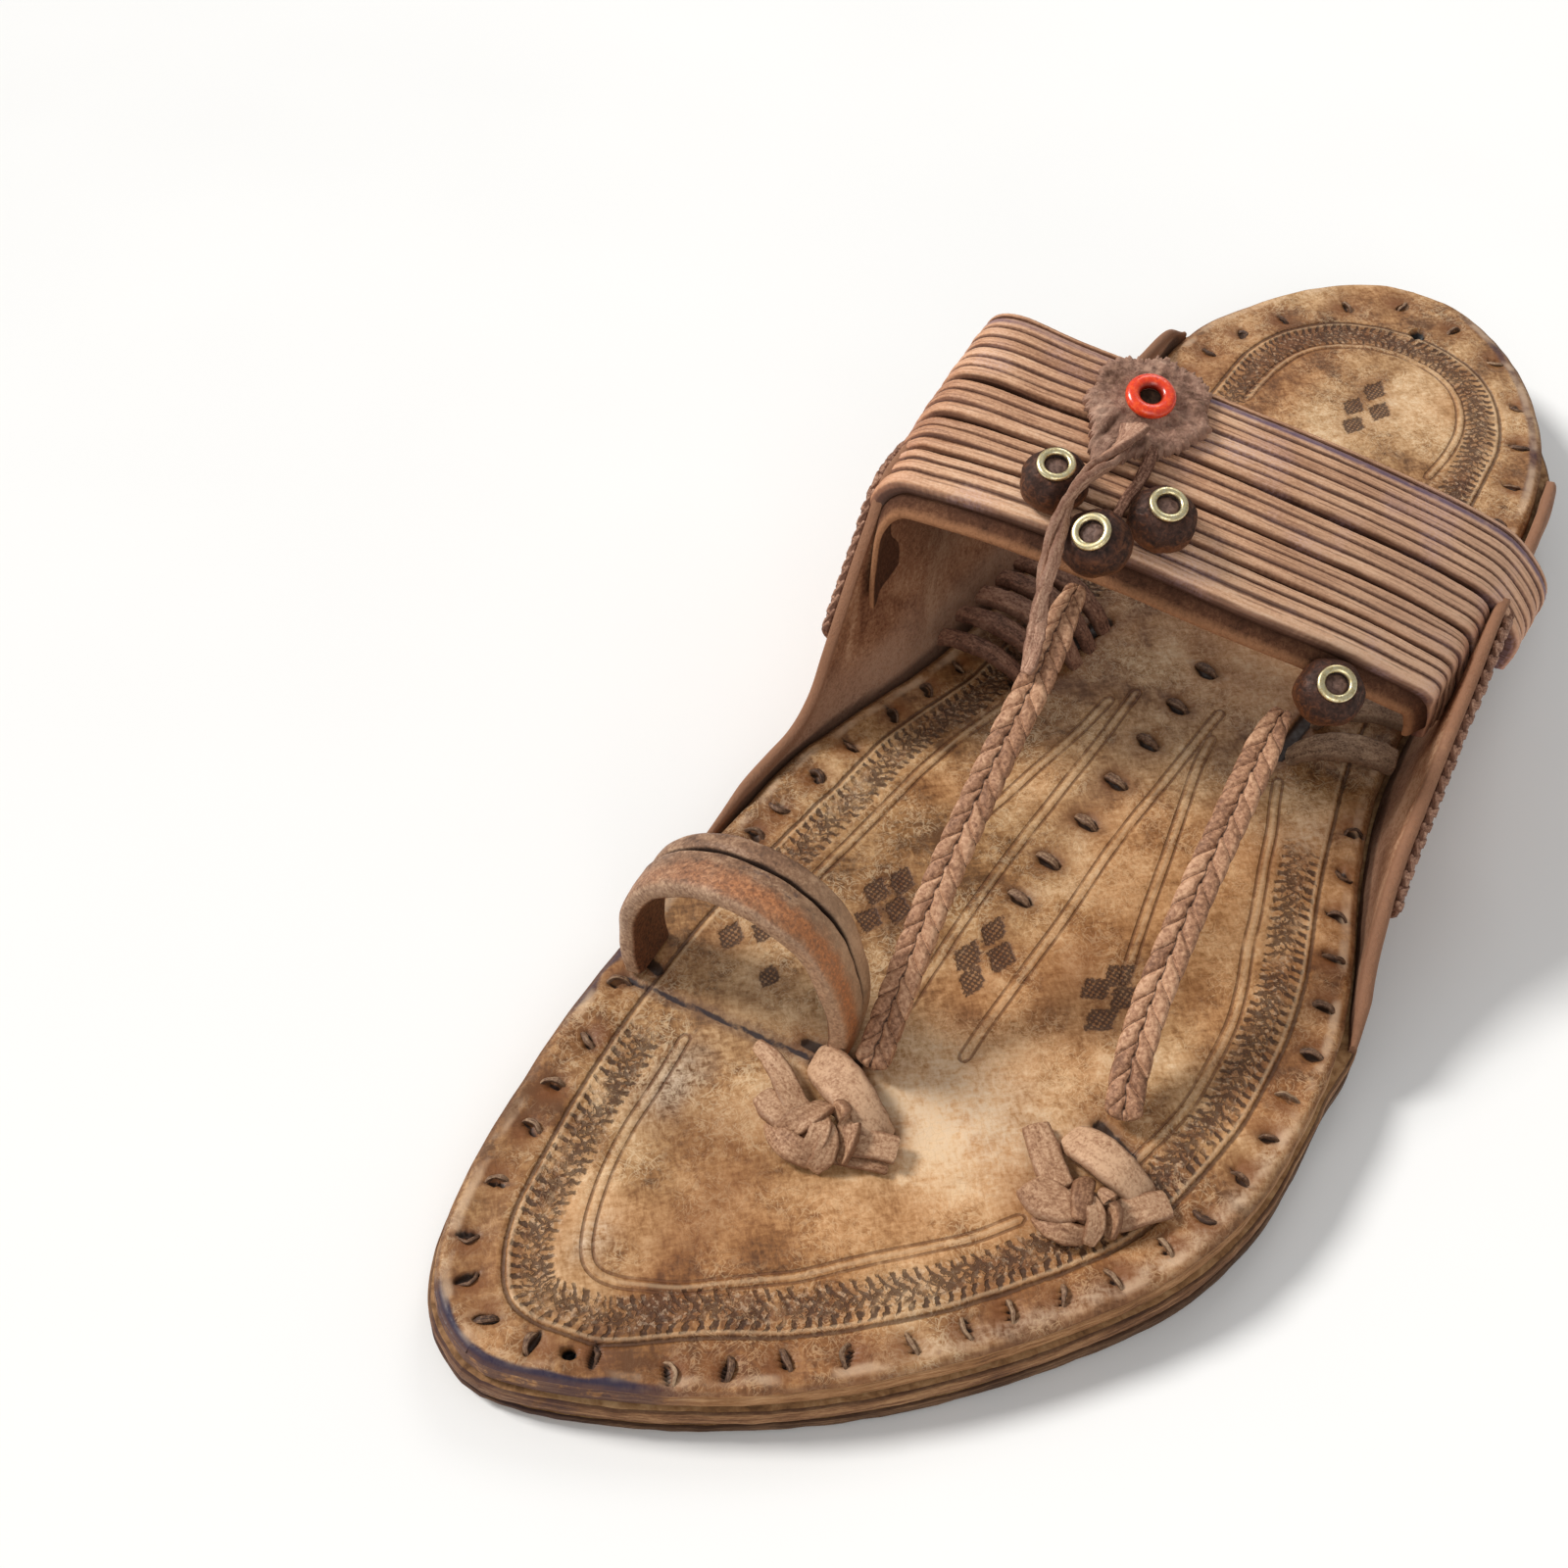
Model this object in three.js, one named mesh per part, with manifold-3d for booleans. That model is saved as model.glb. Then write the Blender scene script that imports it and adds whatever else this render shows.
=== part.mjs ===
// Kolhapuri chappal, left shoe: a toe-loop sandal of stacked leather soles with a
// belted instep band, two side ears, two braids, beads and a rosette.
// Millimetres. Toe towards -Y, heel towards +Y, lateral side +X, medial side -X,
// up +Z. The ground is z = 0 once the shoe is set down by DATUM.
import * as THREE from 'three';
import { mergeVertices } from 'three/addons/utils/BufferGeometryUtils.js';
import Module from 'manifold-3d';

const wasm = await Module();
wasm.setup();

// ---------------------------------------------------------------- main sizes
const GAP = 0.3;             // clearance left between pieces that lie on each other
const TOP_SOLE = 3.4;        // thickness of the footbed layer
const MIDSOLE = 3.0;         // thickness of the middle layer
const RIM = 1.3;             // how far the lower layers stand out past the footbed
const EAR_RIM = 3.0;         // the same under the ears, which stand on the midsole
const EAR_WALL = 2.2;        // thickness of the side ears
const BAND_WALL = 3.0;       // thickness of the instep band
const HEEL_BREAST = 43;      // y where the heel lift starts
const LOOP_WALL = 3.0;       // thickness of the toe loop strip
const BEAD_R = 4.75;         // radius of a domed bead
const BEAD_H = 5.2;          // height of a domed bead
const EYELET_R = 3.05;       // outer radius of a brass eyelet
const EYELET_HOLE = 1.75;    // radius of the hole in an eyelet
const RING_R = 3.85;         // outer radius of the red ring
const RING_HOLE = 1.6;       // radius of the hole in the red ring

// The tables are drawn from a datum beside and below the ground point; this moves
// the shoe so that it stands on z = 0, centred over the origin.
const DATUM = { x: -1.5, z: -2 };

// ------------------------------------------------------------------- tables
// Plan of the footbed's edge, from toe to heel: y, medial x, lateral x
const PLAN = [
  { y: -142.4, medial: -21.2, lateral: -18.2 },
  { y: -141.6, medial: -24.0, lateral: -15.4 },
  { y: -139.8, medial: -27.8, lateral: -11.0 },
  { y: -136.6, medial: -31.4, lateral: -4.8 },
  { y: -131.0, medial: -34.9, lateral: 4.4 },
  { y: -123.0, medial: -37.8, lateral: 14.9 },
  { y: -112.0, medial: -40.5, lateral: 25.9 },
  { y: -98.0, medial: -43.0, lateral: 36.8 },
  { y: -82.0, medial: -44.7, lateral: 46.3 },
  { y: -66.0, medial: -45.2, lateral: 50.6 },
  { y: -50.0, medial: -45.6, lateral: 50.6 },
  { y: -36.0, medial: -45.4, lateral: 49.0 },
  { y: -22.0, medial: -42.6, lateral: 44.8 },
  { y: -8.0, medial: -39.3, lateral: 39.4 },
  { y: 8.0, medial: -37.4, lateral: 34.6 },
  { y: 24.0, medial: -37.4, lateral: 32.2 },
  { y: 42.0, medial: -39.0, lateral: 31.2 },
  { y: 60.0, medial: -41.6, lateral: 31.0 },
  { y: 78.0, medial: -44.6, lateral: 30.4 },
  { y: 94.0, medial: -46.4, lateral: 28.4 },
  { y: 107.0, medial: -45.0, lateral: 24.8 },
  { y: 119.0, medial: -40.4, lateral: 19.0 },
  { y: 129.0, medial: -34.4, lateral: 11.6 },
  { y: 136.4, medial: -28.0, lateral: 3.8 },
  { y: 140.8, medial: -21.4, lateral: -3.4 },
  { y: 142.4, medial: -15.6, lateral: -8.8 },
];

// Side view of the sole: y, height of the footbed, height of the outsole's underside
const SIDE = [
  { y: -146, top: 10.9, under: 3.2 },
  { y: -132, top: 10.6, under: 2.5 },
  { y: -116, top: 10.8, under: 2 },
  { y: -82, top: 11.5, under: 2 },
  { y: -46, top: 12.6, under: 2 },
  { y: -22, top: 13.3, under: 3.4 },
  { y: 6, top: 14.2, under: 5.0 },
  { y: 40, top: 15.2, under: 6.2 },
  { y: 80, top: 16.4, under: 7.3 },
  { y: 115, top: 17.3, under: 8.0 },
  { y: 146, top: 17.9, under: 8.5 },
];

// Ears by stations along the sole: y, x and height of the upper edge (mid wall)
const MEDIAL_EAR = [
  { y: -57, x: -47.4, z: 12.4 },
  { y: -48, x: -47.3, z: 13.6 },
  { y: -40, x: -46.9, z: 14.8 },
  { y: -34, x: -46.6, z: 16.2 },
  { y: -29.5, x: -46.3, z: 20.5 },
  { y: -26, x: -46.1, z: 28.5 },
  { y: -21.5, x: -45.8, z: 39.0 },
  { y: -17.5, x: -45.6, z: 47.0 },
  { y: -13, x: -45.5, z: 54.6 },
  { y: -5, x: -45.2, z: 57.4 },
  { y: 6, x: -45.0, z: 60.0 },
  { y: 15, x: -45.2, z: 59.6 },
  { y: 23, x: -45.4, z: 52.6 },
  { y: 33, x: -45.5, z: 43.0 },
  { y: 46, x: -45.2, z: 33.5 },
  { y: 62, x: -45.6, z: 26.5 },
  { y: 80, x: -46.8, z: 21.8 },
  { y: 95, x: -48.3, z: 19.2 },
  { y: 104, x: -47.6, z: 18.0 },
];
const LATERAL_EAR = [
  { y: -34, x: 50.2, z: 13.4 },
  { y: -29.5, x: 49.2, z: 14.4 },
  { y: -25, x: 47.6, z: 16.4 },
  { y: -19, x: 45.8, z: 19.8 },
  { y: -11, x: 44.0, z: 24.2 },
  { y: -3, x: 42.8, z: 29.6 },
  { y: 6, x: 41.6, z: 35.6 },
  { y: 15, x: 40.4, z: 40.6 },
  { y: 23, x: 39.2, z: 44.0 },
  { y: 31, x: 38.4, z: 44.4 },
  { y: 39, x: 37.4, z: 41.6 },
  { y: 47, x: 36.4, z: 36.2 },
  { y: 58, x: 35.0, z: 30.0 },
  { y: 70, x: 33.8, z: 25.2 },
  { y: 84, x: 31.9, z: 21.4 },
  { y: 94, x: 30.3, z: 19.2 },
  { y: 102, x: 28.4, z: 18.2 },
];

// Instep band, outer face, by sections from the medial to the lateral end:
// front edge (f) and rear edge (r)
const BAND = [
  { fx: -46.6, fy: -16.5, fz: 31.0, rx: -46.6, ry: 24.0, rz: 38.0 },
  { fx: -47.4, fy: -16.4, fz: 42.0, rx: -48.0, ry: 21.5, rz: 50.0 },
  { fx: -46.9, fy: -16.0, fz: 51.0, rx: -48.6, ry: 19.0, rz: 60.0 },
  { fx: -43.0, fy: -15.4, fz: 55.8, rx: -46.4, ry: 17.4, rz: 66.2 },
  { fx: -37.0, fy: -15.0, fz: 57.0, rx: -41.2, ry: 17.0, rz: 68.6 },
  { fx: -28.0, fy: -14.0, fz: 57.7, rx: -31.5, ry: 18.0, rz: 67.6 },
  { fx: -15.6, fy: -12.0, fz: 57.4, rx: -19.5, ry: 20.4, rz: 66.0 },
  { fx: -3.0, fy: -9.4, fz: 55.8, rx: -6.5, ry: 23.0, rz: 64.0 },
  { fx: 9.6, fy: -6.2, fz: 53.1, rx: 7.0, ry: 26.6, rz: 61.2 },
  { fx: 21.4, fy: -1.0, fz: 48.7, rx: 19.4, ry: 31.4, rz: 57.0 },
  { fx: 31.0, fy: 4.4, fz: 43.4, rx: 29.4, ry: 35.6, rz: 53.0 },
  { fx: 37.2, fy: 8.4, fz: 39.0, rx: 36.2, ry: 39.0, rz: 48.4 },
  { fx: 39.2, fy: 10.4, fz: 33.6, rx: 40.0, ry: 40.4, rz: 41.6 },
  { fx: 39.4, fy: 11.0, fz: 27.4, rx: 40.0, ry: 40.6, rz: 34.0 },
];

// Toe loop, middle of the strip's wall: x, y, z and width of the strip
const LOOP = [
  { x: -40.3, y: -80.6, z: 12.2, w: 9.0 },
  { x: -41.2, y: -80.4, z: 18.0, w: 9.4 },
  { x: -40.8, y: -80.0, z: 25.0, w: 10.0 },
  { x: -37.4, y: -79.4, z: 32.2, w: 10.6 },
  { x: -31.0, y: -78.6, z: 36.6, w: 11.0 },
  { x: -23.8, y: -77.8, z: 38.2, w: 11.2 },
  { x: -17.0, y: -77.0, z: 36.4, w: 11.2 },
  { x: -12.0, y: -76.2, z: 31.4, w: 11.0 },
  { x: -9.3, y: -75.8, z: 24.6, w: 10.4 },
  { x: -8.2, y: -75.6, z: 18.2, w: 9.6 },
  { x: -8.6, y: -75.6, z: 12.2, w: 8.6 },
];

// Braids, from the band down to the footbed: x, y, z of the middle
const BRAID_MEDIAL = [
  { x: -9.9, y: -18.0, z: 54.8 },
  { x: -9.1, y: -24.0, z: 53.4 },
  { x: -7.6, y: -32.4, z: 49.7 },
  { x: -6.9, y: -42.0, z: 43.8 },
  { x: -6.0, y: -52.2, z: 36.8 },
  { x: -5.2, y: -60.0, z: 30.8 },
  { x: -4.4, y: -67.0, z: 24.8 },
  { x: -3.4, y: -74.4, z: 18.4 },
  { x: -2.9, y: -78.6, z: 14.6 },
];
const BRAID_LATERAL = [
  { x: 20.4, y: -6.5, z: 38.1 },
  { x: 20.7, y: -11.0, z: 38.8 },
  { x: 21.6, y: -18.8, z: 37.4 },
  { x: 22.7, y: -28.0, z: 34.5 },
  { x: 23.7, y: -37.0, z: 30.8 },
  { x: 24.9, y: -45.6, z: 26.8 },
  { x: 26.2, y: -54.0, z: 22.2 },
  { x: 28.2, y: -61.6, z: 17.6 },
  { x: 30.2, y: -65.8, z: 15.0 },
];
const BRAID_W = 5.4;         // width of a braid
const BRAID_T = 3.4;         // thickness of a braid

// Twisted tail strip from the rosette to the medial braid
const TAIL_W = 2.6;
const TAIL_T = 1.3;

// Beads that sit on the band: plan place
const BEADS = [
  { name: '1', x: -20.9, y: -7.0 },
  { name: '2', x: -5.5, y: -3.6 },
];

// Lacing strips between the ears and slits in the footbed: start at the ear and its
// height over the footbed, end in the footbed, width
const LACING = [
  { name: 'lacing_medial_1', x0: -35.6, y0: 18.4, h0: 5.2, x1: -18.6, y1: 17.6, w: 4.0 },
  { name: 'lacing_medial_2', x0: -35.8, y0: 12.6, h0: 5.6, x1: -18.4, y1: 12.4, w: 4.0 },
  { name: 'lacing_medial_3', x0: -36.4, y0: 6.9, h0: 5.8, x1: -18.2, y1: 7.6, w: 3.8 },
  { name: 'lacing_medial_4', x0: -37.0, y0: 1.6, h0: 5.2, x1: -20.4, y1: 2.9, w: 3.6 },
  { name: 'lacing_medial_5', x0: -37.4, y0: -3.4, h0: 3.6, x1: -22.6, y1: -1.6, w: 3.0 },
  { name: 'lacing_lateral_1', x0: 30.6, y0: 31.4, h0: 4.0, x1: 19.0, y1: 27.0, w: 4.6 },
  { name: 'lacing_lateral_2', x0: 31.4, y0: 23.0, h0: 4.0, x1: 19.6, y1: 19.0, w: 5.0 },
  { name: 'lacing_lateral_3', x0: 33.2, y0: 14.2, h0: 3.4, x1: 19.4, y1: 9.8, w: 5.4 },
];

// ---------------------------------------------------------------- functions
// Smooth value of every column of a table at row position t, 0 to 1
function sample(table, t) {
  const n = table.length - 1;
  const f = Math.min(Math.max(t, 0), 1) * n;
  const i = Math.min(Math.floor(f), n - 1);
  const s = f - i;
  const rows = [Math.max(i - 1, 0), i, i + 1, Math.min(i + 2, n)].map((k) => table[k]);
  const out = {};
  for (const key of Object.keys(table[0])) {
    const [a, b, c, d] = rows.map((r) => r[key]);
    out[key] = 0.5 * (2 * b + (c - a) * s + (2 * a - 5 * b + 4 * c - d) * s * s
      + (3 * b - a - 3 * c + d) * s * s * s);
  }
  return out;
}

// Value of one column at a given y, straight between rows, softly rounded
function atY(table, key, y) {
  const n = table.length;
  let i = 0;
  while (i < n - 2 && table[i + 1].y < y) i++;
  const a = table[i];
  const b = table[i + 1];
  const s = Math.min(Math.max((y - a.y) / (b.y - a.y), 0), 1);
  const p = table[Math.max(i - 1, 0)];
  const q = table[Math.min(i + 2, n - 1)];
  const h = b.y - a.y;
  const rise = b[key] - a[key];
  const ma = i === 0 ? rise / h : (rise * (a[key] - p[key]) <= 0 ? 0 : (b[key] - p[key]) / (b.y - p.y));
  const mb = i >= n - 2 ? rise / h : (rise * (q[key] - b[key]) <= 0 ? 0 : (q[key] - a[key]) / (q.y - a.y));
  const s2 = s * s;
  const s3 = s2 * s;
  return (2 * s3 - 3 * s2 + 1) * a[key] + (s3 - 2 * s2 + s) * h * ma
    + (-2 * s3 + 3 * s2) * b[key] + (s3 - s2) * h * mb;
}

const clamp = (v, a, b) => Math.min(Math.max(v, a), b);
const smooth = (a, b, v) => { const t = clamp((v - a) / (b - a), 0, 1); return t * t * (3 - 2 * t); };

// Closed body from a grid of rings: each ring is a closed loop of the same number
// of points, capped at both ends
function ringSolid(rings) {
  const m = rings[0].length;
  const pos = [];
  const idx = [];
  for (const ring of rings) for (const p of ring) pos.push(p[0], p[1], p[2]);
  for (let i = 0; i < rings.length - 1; i++) {
    for (let j = 0; j < m; j++) {
      const a = i * m + j;
      const b = i * m + (j + 1) % m;
      const c = a + m;
      const d = b + m;
      idx.push(a, b, d, a, d, c);
    }
  }
  return { pos, idx, m, n: rings.length };
}

// Caps for a ring made of an upper row and a lower row of equal length
function capPair(solid, ringIndex, flip) {
  const { idx, m } = solid;
  const k = m / 2;
  const base = ringIndex * m;
  for (let j = 0; j < k - 1; j++) {
    const a = base + j;
    const b = base + j + 1;
    const c = base + (m - 1 - j);
    const d = base + (m - 2 - j);
    if (flip) idx.push(a, c, b, b, c, d);
    else idx.push(a, b, c, b, d, c);
  }
}

// Sheet with thickness: rows of outer points and of matching inner points
function sheetSolid(outer, inner) {
  const rings = outer.map((row, i) => [...row, ...[...inner[i]].reverse()]);
  const s = ringSolid(rings);
  capPair(s, 0, true);
  capPair(s, rings.length - 1, false);
  return toManifold(s.pos, s.idx);
}

function toManifold(pos, idx) {
  let g = new THREE.BufferGeometry();
  g.setAttribute('position', new THREE.BufferAttribute(new Float32Array(pos), 3));
  g.setIndex(idx);
  g = mergeVertices(g, 1e-4);
  const p = g.getAttribute('position').array;
  const raw = g.getIndex().array;
  const tri = [];
  for (let i = 0; i < raw.length; i += 3) {
    if (raw[i] !== raw[i + 1] && raw[i + 1] !== raw[i + 2] && raw[i] !== raw[i + 2]) {
      tri.push(raw[i], raw[i + 1], raw[i + 2]);
    }
  }
  let volume = 0;
  for (let i = 0; i < tri.length; i += 3) {
    const [a, b, c] = [tri[i] * 3, tri[i + 1] * 3, tri[i + 2] * 3];
    volume += p[a] * (p[b + 1] * p[c + 2] - p[b + 2] * p[c + 1])
      - p[a + 1] * (p[b] * p[c + 2] - p[b + 2] * p[c])
      + p[a + 2] * (p[b] * p[c + 1] - p[b + 1] * p[c]);
  }
  if (volume < 0) {
    for (let i = 0; i < tri.length; i += 3) [tri[i + 1], tri[i + 2]] = [tri[i + 2], tri[i + 1]];
  }
  return new wasm.Manifold(new wasm.Mesh({
    numProp: 3,
    vertProperties: new Float32Array(p),
    triVerts: new Uint32Array(tri),
  }));
}

// three.js geometry to a joinable solid, and back
function solidOf(geometry, matrix) {
  let g = geometry.clone();
  if (matrix) g.applyMatrix4(matrix);
  g.deleteAttribute('normal');
  g.deleteAttribute('uv');
  g = mergeVertices(g, 1e-4);
  return toManifold(g.getAttribute('position').array,
    g.getIndex() ? Array.from(g.getIndex().array) : [...Array(g.getAttribute('position').count).keys()]);
}

function geometryOf(manifold) {
  const mesh = manifold.getMesh();
  const g = new THREE.BufferGeometry();
  const n = mesh.numProp;
  const count = mesh.vertProperties.length / n;
  const pos = new Float32Array(count * 3);
  for (let i = 0; i < count; i++) {
    for (let k = 0; k < 3; k++) pos[i * 3 + k] = mesh.vertProperties[i * n + k];
  }
  g.setAttribute('position', new THREE.BufferAttribute(pos, 3));
  g.setIndex(new THREE.BufferAttribute(new Uint32Array(mesh.triVerts), 1));
  g.computeVertexNormals();
  return g;
}

// Points of the two sides of a sole layer, its edge moved outwards by grow(y, side)
const STATIONS = 42;
function soleStations(grow, from = 0) {
  const rows = [];
  for (let i = 0; i <= STATIONS; i++) rows.push(sample(PLAN, i / STATIONS));
  const loop = [...rows.map((r) => [r.medial, r.y]), ...[...rows].reverse().map((r) => [r.lateral, r.y])];
  const n = loop.length;
  const moved = loop.map((p, i) => {
    const a = loop[(i + n - 1) % n];
    const b = loop[(i + 1) % n];
    const dx = b[0] - a[0];
    const dy = b[1] - a[1];
    const l = Math.hypot(dx, dy);
    const d = grow(p[1], p[0] < -0 - 2 ? -1 : 1);
    return [p[0] - (dy / l) * d, p[1] + (dx / l) * d];
  });
  const out = [];
  for (let i = 0; i <= STATIONS; i++) out.push({ m: moved[i], l: moved[n - 1 - i] });
  return out.filter((r) => (r.m[1] + r.l[1]) / 2 >= from || from === 0);
}

// One leather layer between two height functions
function layer(grow, lower, upper, from) {
  const cross = [0, 0.08, 0.92, 1];
  const outer = [];
  const inner = [];
  for (const s of soleStations(grow, from)) {
    const line = cross.map((c) => [s.m[0] + (s.l[0] - s.m[0]) * c, s.m[1] + (s.l[1] - s.m[1]) * c]);
    outer.push(line.map(([x, y]) => [x, y, upper(y)]));
    inner.push(line.map(([x, y]) => [x, y, lower(y)]));
  }
  return sheetSolid(outer, inner);
}

const topZ = (y) => atY(SIDE, 'top', y);
const underZ = (y) => atY(SIDE, 'under', y);
const midTopZ = (y) => topZ(y) - TOP_SOLE - GAP;
const midUnderZ = (y) => midTopZ(y) - MIDSOLE;
const outTopZ = (y) => midUnderZ(y) - GAP;

// the midsole and outsole widen under the ears
function rimGrow(y, side) {
  const front = side < 0 ? smooth(-66, -54, y) : smooth(-44, -32, y);
  const back = 1 - smooth(102, 114, y);
  return RIM + (EAR_RIM - RIM) * front * back;
}

// x of the ear's foot, middle of its wall
const EAR_OFFSET = EAR_WALL / 2 + GAP + 0.6;
function footX(y, side) {
  // station of the plan at this y
  let lo = 0;
  let hi = 1;
  for (let i = 0; i < 30; i++) {
    const mid = (lo + hi) / 2;
    if (sample(PLAN, mid).y < y) lo = mid; else hi = mid;
  }
  const r = sample(PLAN, lo);
  return side < 0 ? r.medial - EAR_OFFSET : r.lateral + EAR_OFFSET;
}

// Ear: a wall that rises from the midsole's rim to its upper edge
function earMid(table, side, t, h) {
  const r = sample(table, t);
  const fx = footX(r.y, side);
  const fz = midTopZ(r.y) + GAP;
  const lean = Math.pow(h, 0.85);
  const bow = Math.sin(Math.PI * h) * 0.02 * (r.z - fz);
  return new THREE.Vector3(fx + (r.x - fx) * lean + side * bow, r.y, fz + (r.z - fz) * h);
}
function earSolid(table, side) {
  const N = 28;
  const M = 5;
  const outer = [];
  const inner = [];
  const e = 1e-3;
  for (let i = 0; i <= N; i++) {
    const t = i / N;
    const ro = [];
    const ri = [];
    for (let j = 0; j <= M; j++) {
      const h = j / M;
      const p = earMid(table, side, t, h);
      const dt = earMid(table, side, Math.min(t + e, 1), h).sub(earMid(table, side, Math.max(t - e, 0), h));
      const dh = earMid(table, side, t, Math.min(h + e, 1)).sub(earMid(table, side, t, Math.max(h - e, 0)));
      const n = dt.cross(dh).normalize();
      if (n.x * side < 0) n.negate();
      const flat = j === 0;
      if (flat) n.setZ(0).normalize();
      ro.push([p.x + n.x * EAR_WALL / 2, p.y + n.y * EAR_WALL / 2, p.z + n.z * EAR_WALL / 2]);
      ri.push([p.x - n.x * EAR_WALL / 2, p.y - n.y * EAR_WALL / 2, p.z - n.z * EAR_WALL / 2]);
    }
    outer.push(ro);
    inner.push(ri);
  }
  return sheetSolid(outer, inner);
}

// Point of the band's outer face; across 0..1 medial to lateral, along 0 front .. 1 rear
function bandAt(across, along) {
  const r = sample(BAND, across);
  const crown = 0.7 * 4 * along * (1 - along);
  const p = new THREE.Vector3(
    r.fx + (r.rx - r.fx) * along,
    r.fy + (r.ry - r.fy) * along,
    r.fz + (r.rz - r.fz) * along,
  );
  return { p, crown };
}
function bandPoint(across, along, lift = 0) {
  const e = 1e-3;
  const { p, crown } = bandAt(across, along);
  const du = bandAt(Math.min(across + e, 1), along).p.sub(bandAt(Math.max(across - e, 0), along).p);
  const dv = bandAt(across, along + e).p.sub(bandAt(across, along - e).p);
  const n = du.cross(dv).normalize();
  const mid = new THREE.Vector3(0, 5, 20);
  if (n.dot(p.clone().sub(mid)) < 0) n.negate();
  return { point: p.add(n.clone().multiplyScalar(crown + lift)), normal: n };
}
function bandSolid() {
  const N = 38;
  const M = 4;
  const outer = [];
  const inner = [];
  for (let i = 0; i <= N; i++) {
    const ro = [];
    const ri = [];
    for (let j = 0; j <= M; j++) {
      ro.push(bandPoint(i / N, j / M, 0).point.toArray());
      ri.push(bandPoint(i / N, j / M, -BAND_WALL).point.toArray());
    }
    outer.push(ro);
    inner.push(ri);
  }
  return sheetSolid(outer, inner);
}
// place on the band that lies over a plan point x, y
function bandUV(x, y) {
  let best = null;
  for (let i = 0; i <= 200; i++) {
    for (let j = -10; j <= 50; j++) {
      const { point } = bandPoint(i / 200, j / 40, 0);
      const d = Math.hypot(point.x - x, point.y - y) - point.z * 1e-4;
      if (!best || d < best.d) best = { d, u: i / 200, v: j / 40 };
    }
  }
  return best;
}

// Strip of rectangular section with soft corners along a table of points;
// flat(t) gives the direction of its width
function stripSolid(points, width, thick, flatDir, steps) {
  const curve = new THREE.CatmullRomCurve3(points.map((p) => new THREE.Vector3(p.x, p.y, p.z)));
  const rings = [];
  for (let i = 0; i <= steps; i++) {
    const t = i / steps;
    const p = curve.getPoint(t);
    const tan = curve.getTangent(t);
    const side = flatDir(t).clone();
    side.sub(tan.clone().multiplyScalar(side.dot(tan))).normalize();
    const up = new THREE.Vector3().crossVectors(tan, side).normalize();
    const w = (typeof width === 'function' ? width(t) : width) / 2;
    const h = (typeof thick === 'function' ? thick(t) : thick) / 2;
    const c = Math.min(w, h) * 0.45;
    const shape = [[-w, h - c], [-w + c, h], [w - c, h], [w, h - c], [w, -h + c], [w - c, -h], [-w + c, -h], [-w, -h + c]];
    rings.push(shape.map(([a, b]) => p.clone()
      .add(side.clone().multiplyScalar(a)).add(up.clone().multiplyScalar(b)).toArray()));
  }
  const s = ringSolid(rings);
  capPair(s, 0, true);
  capPair(s, rings.length - 1, false);
  return toManifold(s.pos, s.idx);
}

// Half-plane cut: keeps what lies above the footbed by a clearance
function aboveFootbed(solid, clearance) {
  const rowsY = [];
  for (let y = -146; y <= 146; y += 12) rowsY.push(y);
  const outer = rowsY.map((y) => [[-70, y, topZ(y) + clearance], [70, y, topZ(y) + clearance]]);
  const inner = rowsY.map((y) => [[-70, y, -30], [70, y, -30]]);
  return solid.subtract(sheetSolid(outer, inner));
}

// Turn a piece made about +Z to a direction, at a place
function placed(normal, point) {
  const q = new THREE.Quaternion().setFromUnitVectors(new THREE.Vector3(0, 0, 1), normal);
  return new THREE.Matrix4().compose(point, q, new THREE.Vector3(1, 1, 1));
}

// ---------------------------------------------------------------- materials
const leatherTop = new THREE.MeshStandardMaterial({ color: 0xa9824a, roughness: 0.55, metalness: 0 });
const leatherEdge = new THREE.MeshStandardMaterial({ color: 0x8a6844, roughness: 0.7, metalness: 0 });
const leatherBand = new THREE.MeshStandardMaterial({ color: 0xb48a68, roughness: 0.6, metalness: 0 });
const leatherDark = new THREE.MeshStandardMaterial({ color: 0x3c261a, roughness: 0.5, metalness: 0 });
const leatherLoop = new THREE.MeshStandardMaterial({ color: 0xa0704a, roughness: 0.55, metalness: 0 });
const brass = new THREE.MeshStandardMaterial({ color: 0xd9c07a, roughness: 0.3, metalness: 1 });
const redRing = new THREE.MeshStandardMaterial({ color: 0xd83a12, roughness: 0.3, metalness: 0 });

const chappal = new THREE.Group();
function addPiece(name, geometry, material, matrix) {
  const mesh = new THREE.Mesh(geometry, material);
  mesh.name = name;
  if (matrix) {
    mesh.applyMatrix4(matrix);
  }
  chappal.add(mesh);
  return mesh;
}

// --------------------------------------------------------------------- soles
addPiece('outsole', geometryOf(layer(rimGrow, underZ, outTopZ, 0)), leatherEdge);
addPiece('midsole', geometryOf(layer((y, s) => rimGrow(y, s) - 0.15, midUnderZ, midTopZ, 0)), leatherEdge);
addPiece('top_sole', geometryOf(layer(() => 0, (y) => topZ(y) - TOP_SOLE, topZ, 0)), leatherTop);
addPiece('heel_lift', geometryOf(layer(() => RIM - 0.3, () => -DATUM.z, (y) => underZ(y) - GAP, HEEL_BREAST)), leatherEdge);

// --------------------------------------------------------------------- upper
const ears = earSolid(MEDIAL_EAR, -1).add(earSolid(LATERAL_EAR, 1));
const upper = bandSolid().add(ears);
addPiece('upper', geometryOf(upper), leatherBand);

// ------------------------------------------------------------------ toe loop
addPiece('toe_loop', geometryOf(aboveFootbed(stripSolid(LOOP, (t) => sample(LOOP, t).w, LOOP_WALL,
  () => new THREE.Vector3(-0.16, 0.987, 0), 24), GAP)), leatherLoop);

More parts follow.
